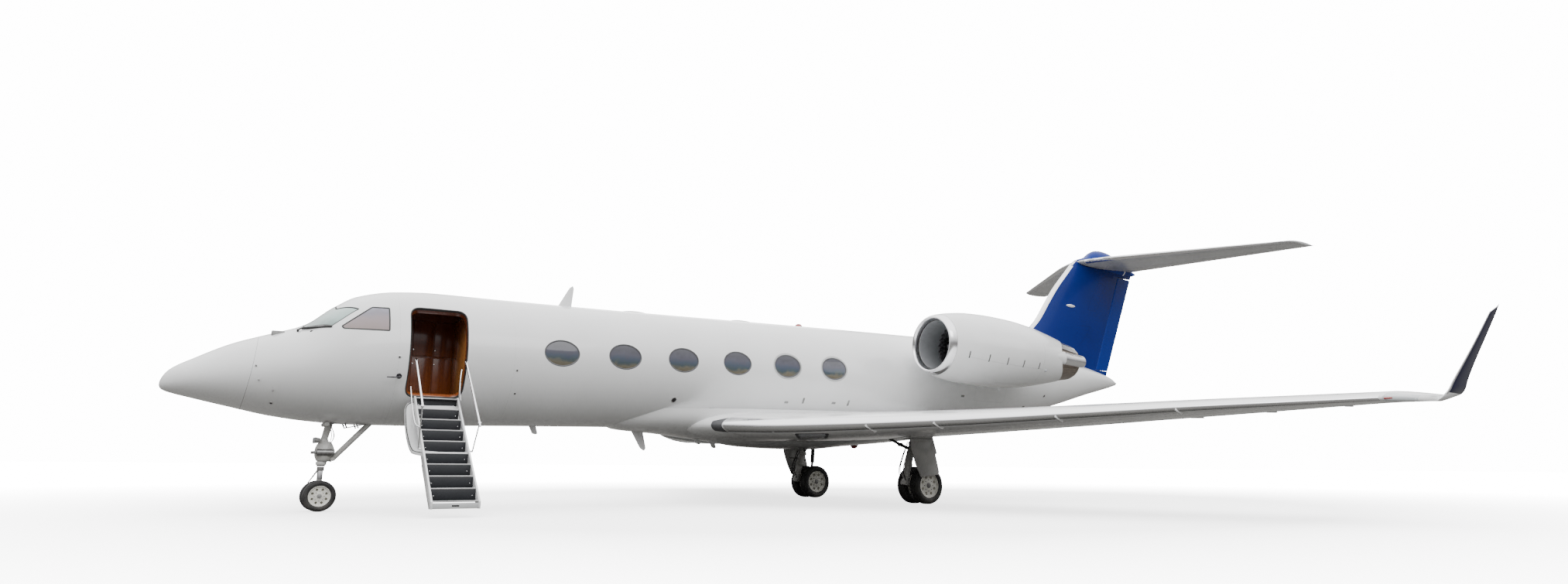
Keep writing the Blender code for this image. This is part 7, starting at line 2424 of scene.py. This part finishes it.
    def make_rails(self) -> None:
        """The hand rails, their struts, feet and knuckles."""
        posts = {"front": (3.535, ((-1.20, 2.50), (-1.26, 2.47), (-1.95, 1.76), (-1.97, 1.70), (-1.95, 1.02))),
                 "back": (4.352, ((-1.20, 2.52), (-1.26, 2.49), (-2.32, 1.47), (-2.34, 1.44), (-2.02, 0.99)))}
        for word, (station, path) in posts.items():
            points = [self.at(station, y, z) for y, z in path]
            upper = pipe(f"rail_{word}", smooth_path(points[:4], 4), 0.017, sides=5)
            strut = pipe(f"strut_{word}", points[3:], 0.011, sides=4)
            reach = self.front - 0.03 if word == "front" else self.back + 0.03
            rise = Vector((0, 0, 0.008))
            foot = bar(f"rail_foot_{word}", points[-1] + rise, self.at(reach, *path[-1]) + rise, 0.015)
            knuckle = bar(f"rail_knuckle_{word}", points[3] - Vector((0.022, 0, 0)),
                          points[3] + Vector((0.022, 0, 0)), 0.024)
            top = bar(f"rail_top_{word}", points[0] - Vector((0.02, 0, 0)), points[0] + Vector((0.02, 0, 0)), 0.026)
            present(join(f"hand_rail_{word}", upper, strut, foot, knuckle, top), Body.AIRFRAME, Slot.POLISHED, BRIGHT)
        second = pipe("second_rod", smooth_path([self.at(3.49, -1.18, 2.06), self.at(3.495, -1.40, 1.74),
                                                 self.at(3.52, -1.62, 1.44), self.at(3.585, -1.66, 1.38)], 4), 0.010)
        hook = pipe("inner_rail", smooth_path([self.at(4.30, -1.16, 2.40), self.at(4.28, -1.20, 2.28),
                                               self.at(4.27, -1.24, 2.05), self.at(4.29, -1.27, 1.86)], 4), 0.010)
        present(join("inner_rails", second, hook), Body.AIRFRAME, Slot.POLISHED, BRIGHT)

    def make_sill(self) -> None:
        """The bright sill plate and the bare white plate beside the stair's head."""
        sill = block("door_sill", self.at(3.60, -1.10, 1.876), self.at(4.29, -0.86, 1.897), 0.006, 3)
        present(sill, Body.AIRFRAME, Slot.POLISHED, BRUSHED)
        place = block("side_plate", self.at(4.285, -1.185, 1.93), self.at(4.30, -1.12, 2.17), 0.004)
        present(place, Body.AIRFRAME, Slot.WHITE, GEAR_WHITE)


@dataclass
class Cabin:
    """What the doorway and the windows show: door frame, panels, cockpit seats and panel."""

    def build(self) -> None:
        """Dress the frame's inside pieces and add the finer ones."""
        for name, finish in (("cabin_floor", CARPET), ("cockpit_partition", MAHOGANY), ("cabin_partition", MAHOGANY),
                             ("entry_cabinet", MAHOGANY), ("instrument_panel", BLACK)):
            dress_node(name, finish)
        self.make_door_frame()
        self.make_cabinet()
        self.make_panel()
        self.make_seats()

    def make_door_frame(self) -> None:
        """The black seal round the doorway and the lining behind it."""
        corners = [(3.44, 1.906), (4.37, 1.906), (4.37, 3.46), (3.44, 3.46)]
        outline = [(s, HULL.angle_at(s, z, PORT)) for s, z in rounded_polygon(corners, 0.17, 8, 0.08)]
        seal = HULL.frame_round("doorway_seal", outline, (
            (0.010, -0.006), (0.010, 0.0012), (-0.004, 0.0012), (-0.010, -0.010), (-0.010, -0.034), (0.004, -0.040)))
        present(seal, Body.AIRFRAME, Slot.PLASTIC, SEAL)
        lining = HULL.frame_round("doorway_lining", outline, (
            (0.004, -0.034), (-0.006, -0.036), (-0.010, -0.050), (-0.012, -0.110), (-0.004, -0.116), (0.006, -0.060)))
        present(lining, Body.AIRFRAME, Slot.WOOD, MAHOGANY)

    def make_cabinet(self) -> None:
        """Door panels with their knobs, a latch and the aft wall's golden strip in the entry."""
        panels = []
        for number, (front, back) in enumerate(((3.36, 3.72), (3.74, 4.10), (4.12, 4.47))):
            for low, high in ((2.02, 2.72), (2.75, 3.40)):
                panels.append(block(f"cabinet_door_{number}_{low}", (x_of(front), 0.280, low),
                                    (x_of(back), 0.302, high), 0.006, 3))
        present(join("cabinet_doors", *panels), Body.AIRFRAME, Slot.WOOD, MAHOGANY)
        spots = [(station, height) for height in (2.60, 2.86) for station in (3.70, 3.76, 4.14)]
        knobs = [bar(f"cabinet_knob_{k}", (x_of(s), 0.262, z), (x_of(s), 0.284, z), 0.012)
                 for k, (s, z) in enumerate(spots)]
        present(join("cabinet_knobs", *knobs), Body.AIRFRAME, Slot.POLISHED, BRIGHT)
        strip = block("golden_strip", (x_of(4.455), -1.02, 1.935), (x_of(4.498), 0.28, 3.42), 0.006)
        cut(strip, HULL.room("strip_room", 4.3, 4.7, 0.079), operation='INTERSECT')
        present(strip, Body.AIRFRAME, Slot.WOOD, GOLDEN_WOOD)
        latch = bar("entry_latch", (x_of(4.452), -0.72, 2.36), (x_of(4.47), -0.72, 2.36), 0.022)
        present(latch, Body.AIRFRAME, Slot.POLISHED, BRIGHT)

    def make_panel(self) -> None:
        """Screens, glare shield, yokes and the centre pedestal in the cockpit."""
        screens, bezels = [], []
        for y in (-0.52, -0.18, 0.18, 0.52):
            bezels.append(block(f"bezel_{y}", (x_of(2.095), y - 0.15, 2.56), (x_of(2.108), y + 0.15, 2.84), 0.006))
            screens.append(block(f"screen_{y}", (x_of(2.104), y - 0.13, 2.58), (x_of(2.112), y + 0.13, 2.82), 0.002))
        present(join("panel_bezels", *bezels), Body.AIRFRAME, Slot.PLASTIC, DARK_GREY)
        present(join("panel_screens", *screens), Body.AIRFRAME, Slot.GLASS, SCREEN_DARK)
        shield = block("glare_shield", (x_of(1.96), -0.66, 2.90), (x_of(2.16), 0.66, 2.945), 0.016, 3)
        present(shield, Body.AIRFRAME, Slot.PLASTIC, BLACK)
        pedestal = block("centre_pedestal", (x_of(2.10), -0.14, 2.00), (x_of(2.58), 0.14, 2.42), 0.03, 3)
        present(pedestal, Body.AIRFRAME, Slot.PLASTIC, DARK_GREY)
        yokes = []
        for y in (-0.44, 0.44):
            yokes.append(bar(f"yoke_stem_{y}", (x_of(2.10), y, 2.50), (x_of(2.36), y, 2.55), 0.022))
            grip = [(x_of(2.37), y - 0.16, 2.68), (x_of(2.37), y - 0.15, 2.56), (x_of(2.36), y, 2.53),
                    (x_of(2.37), y + 0.15, 2.56), (x_of(2.37), y + 0.16, 2.68)]
            yokes.append(pipe(f"yoke_grip_{y}", smooth_path(grip, 5), 0.016))
        present(join("control_yokes", *yokes), Body.AIRFRAME, Slot.PLASTIC, BLACK)

    def cushion(self, name: str, low: tuple[float, float, float], high: tuple[float, float, float]) -> Piece:
        """A soft rounded block."""
        piece = block(name, low, high, 0.05, 4)
        modify(piece, 'SUBSURF', levels=1, render_levels=1)
        return smooth(piece, 60.0)

    def make_seats(self) -> None:
        """Two crew seats: cushions, backs, head rests, arm rests and their base."""
        cushions = []
        for y in (-0.44, 0.44):
            for word, (front, back), half, (low, high) in (("cushion", (2.62, 3.08), 0.215, (2.24, 2.37)),
                                                           ("back", (3.00, 3.12), 0.205, (2.34, 2.88)),
                                                           ("head", (3.00, 3.11), 0.12, (2.86, 3.05))):
                cushions.append(self.cushion(f"seat_{word}_{y}", (x_of(front), y - half, low),
                                             (x_of(back), y + half, high)))
        seats = present(join("crew_seat_padding", *cushions), Body.AIRFRAME, Slot.LEATHER, LEATHER, "crew_seats")
        frames = []
        for y in (-0.44, 0.44):
            frames.append(block(f"seat_pedestal_{y}", (x_of(2.72), y - 0.15, 1.88), (x_of(3.04), y + 0.15, 2.25),
                                0.02))
            frames.append(block(f"seat_shell_{y}", (x_of(3.115), y - 0.21, 2.25), (x_of(3.145), y + 0.21, 2.95),
                                0.012))
            for hand in (-1, 1):
                frames.append(block(f"arm_rest_{y}_{hand}", (x_of(2.74), y + hand * 0.225 - 0.022, 2.50),
                                    (x_of(3.06), y + hand * 0.225 + 0.022, 2.55), 0.012))
        present(join("crew_seat_frames", *frames), Body.AIRFRAME, Slot.PLASTIC, DARK_GREY)


def main() -> None:
    """Build every sub-assembly in order."""
    logging.basicConfig(level=logging.INFO, format="%(message)s")
    Studio().build()
    Fuselage().build()
    for side, word in SIDES:
        Wing(side, word).build()
    Tail().build()
    for side, word in SIDES:
        Engine(side, word).build()
    NoseGear().build()
    for side, word in SIDES:
        MainGear(side, word).build()
    Airstair().build()
    Cabin().build()


if __name__ == "__main__":
    main()
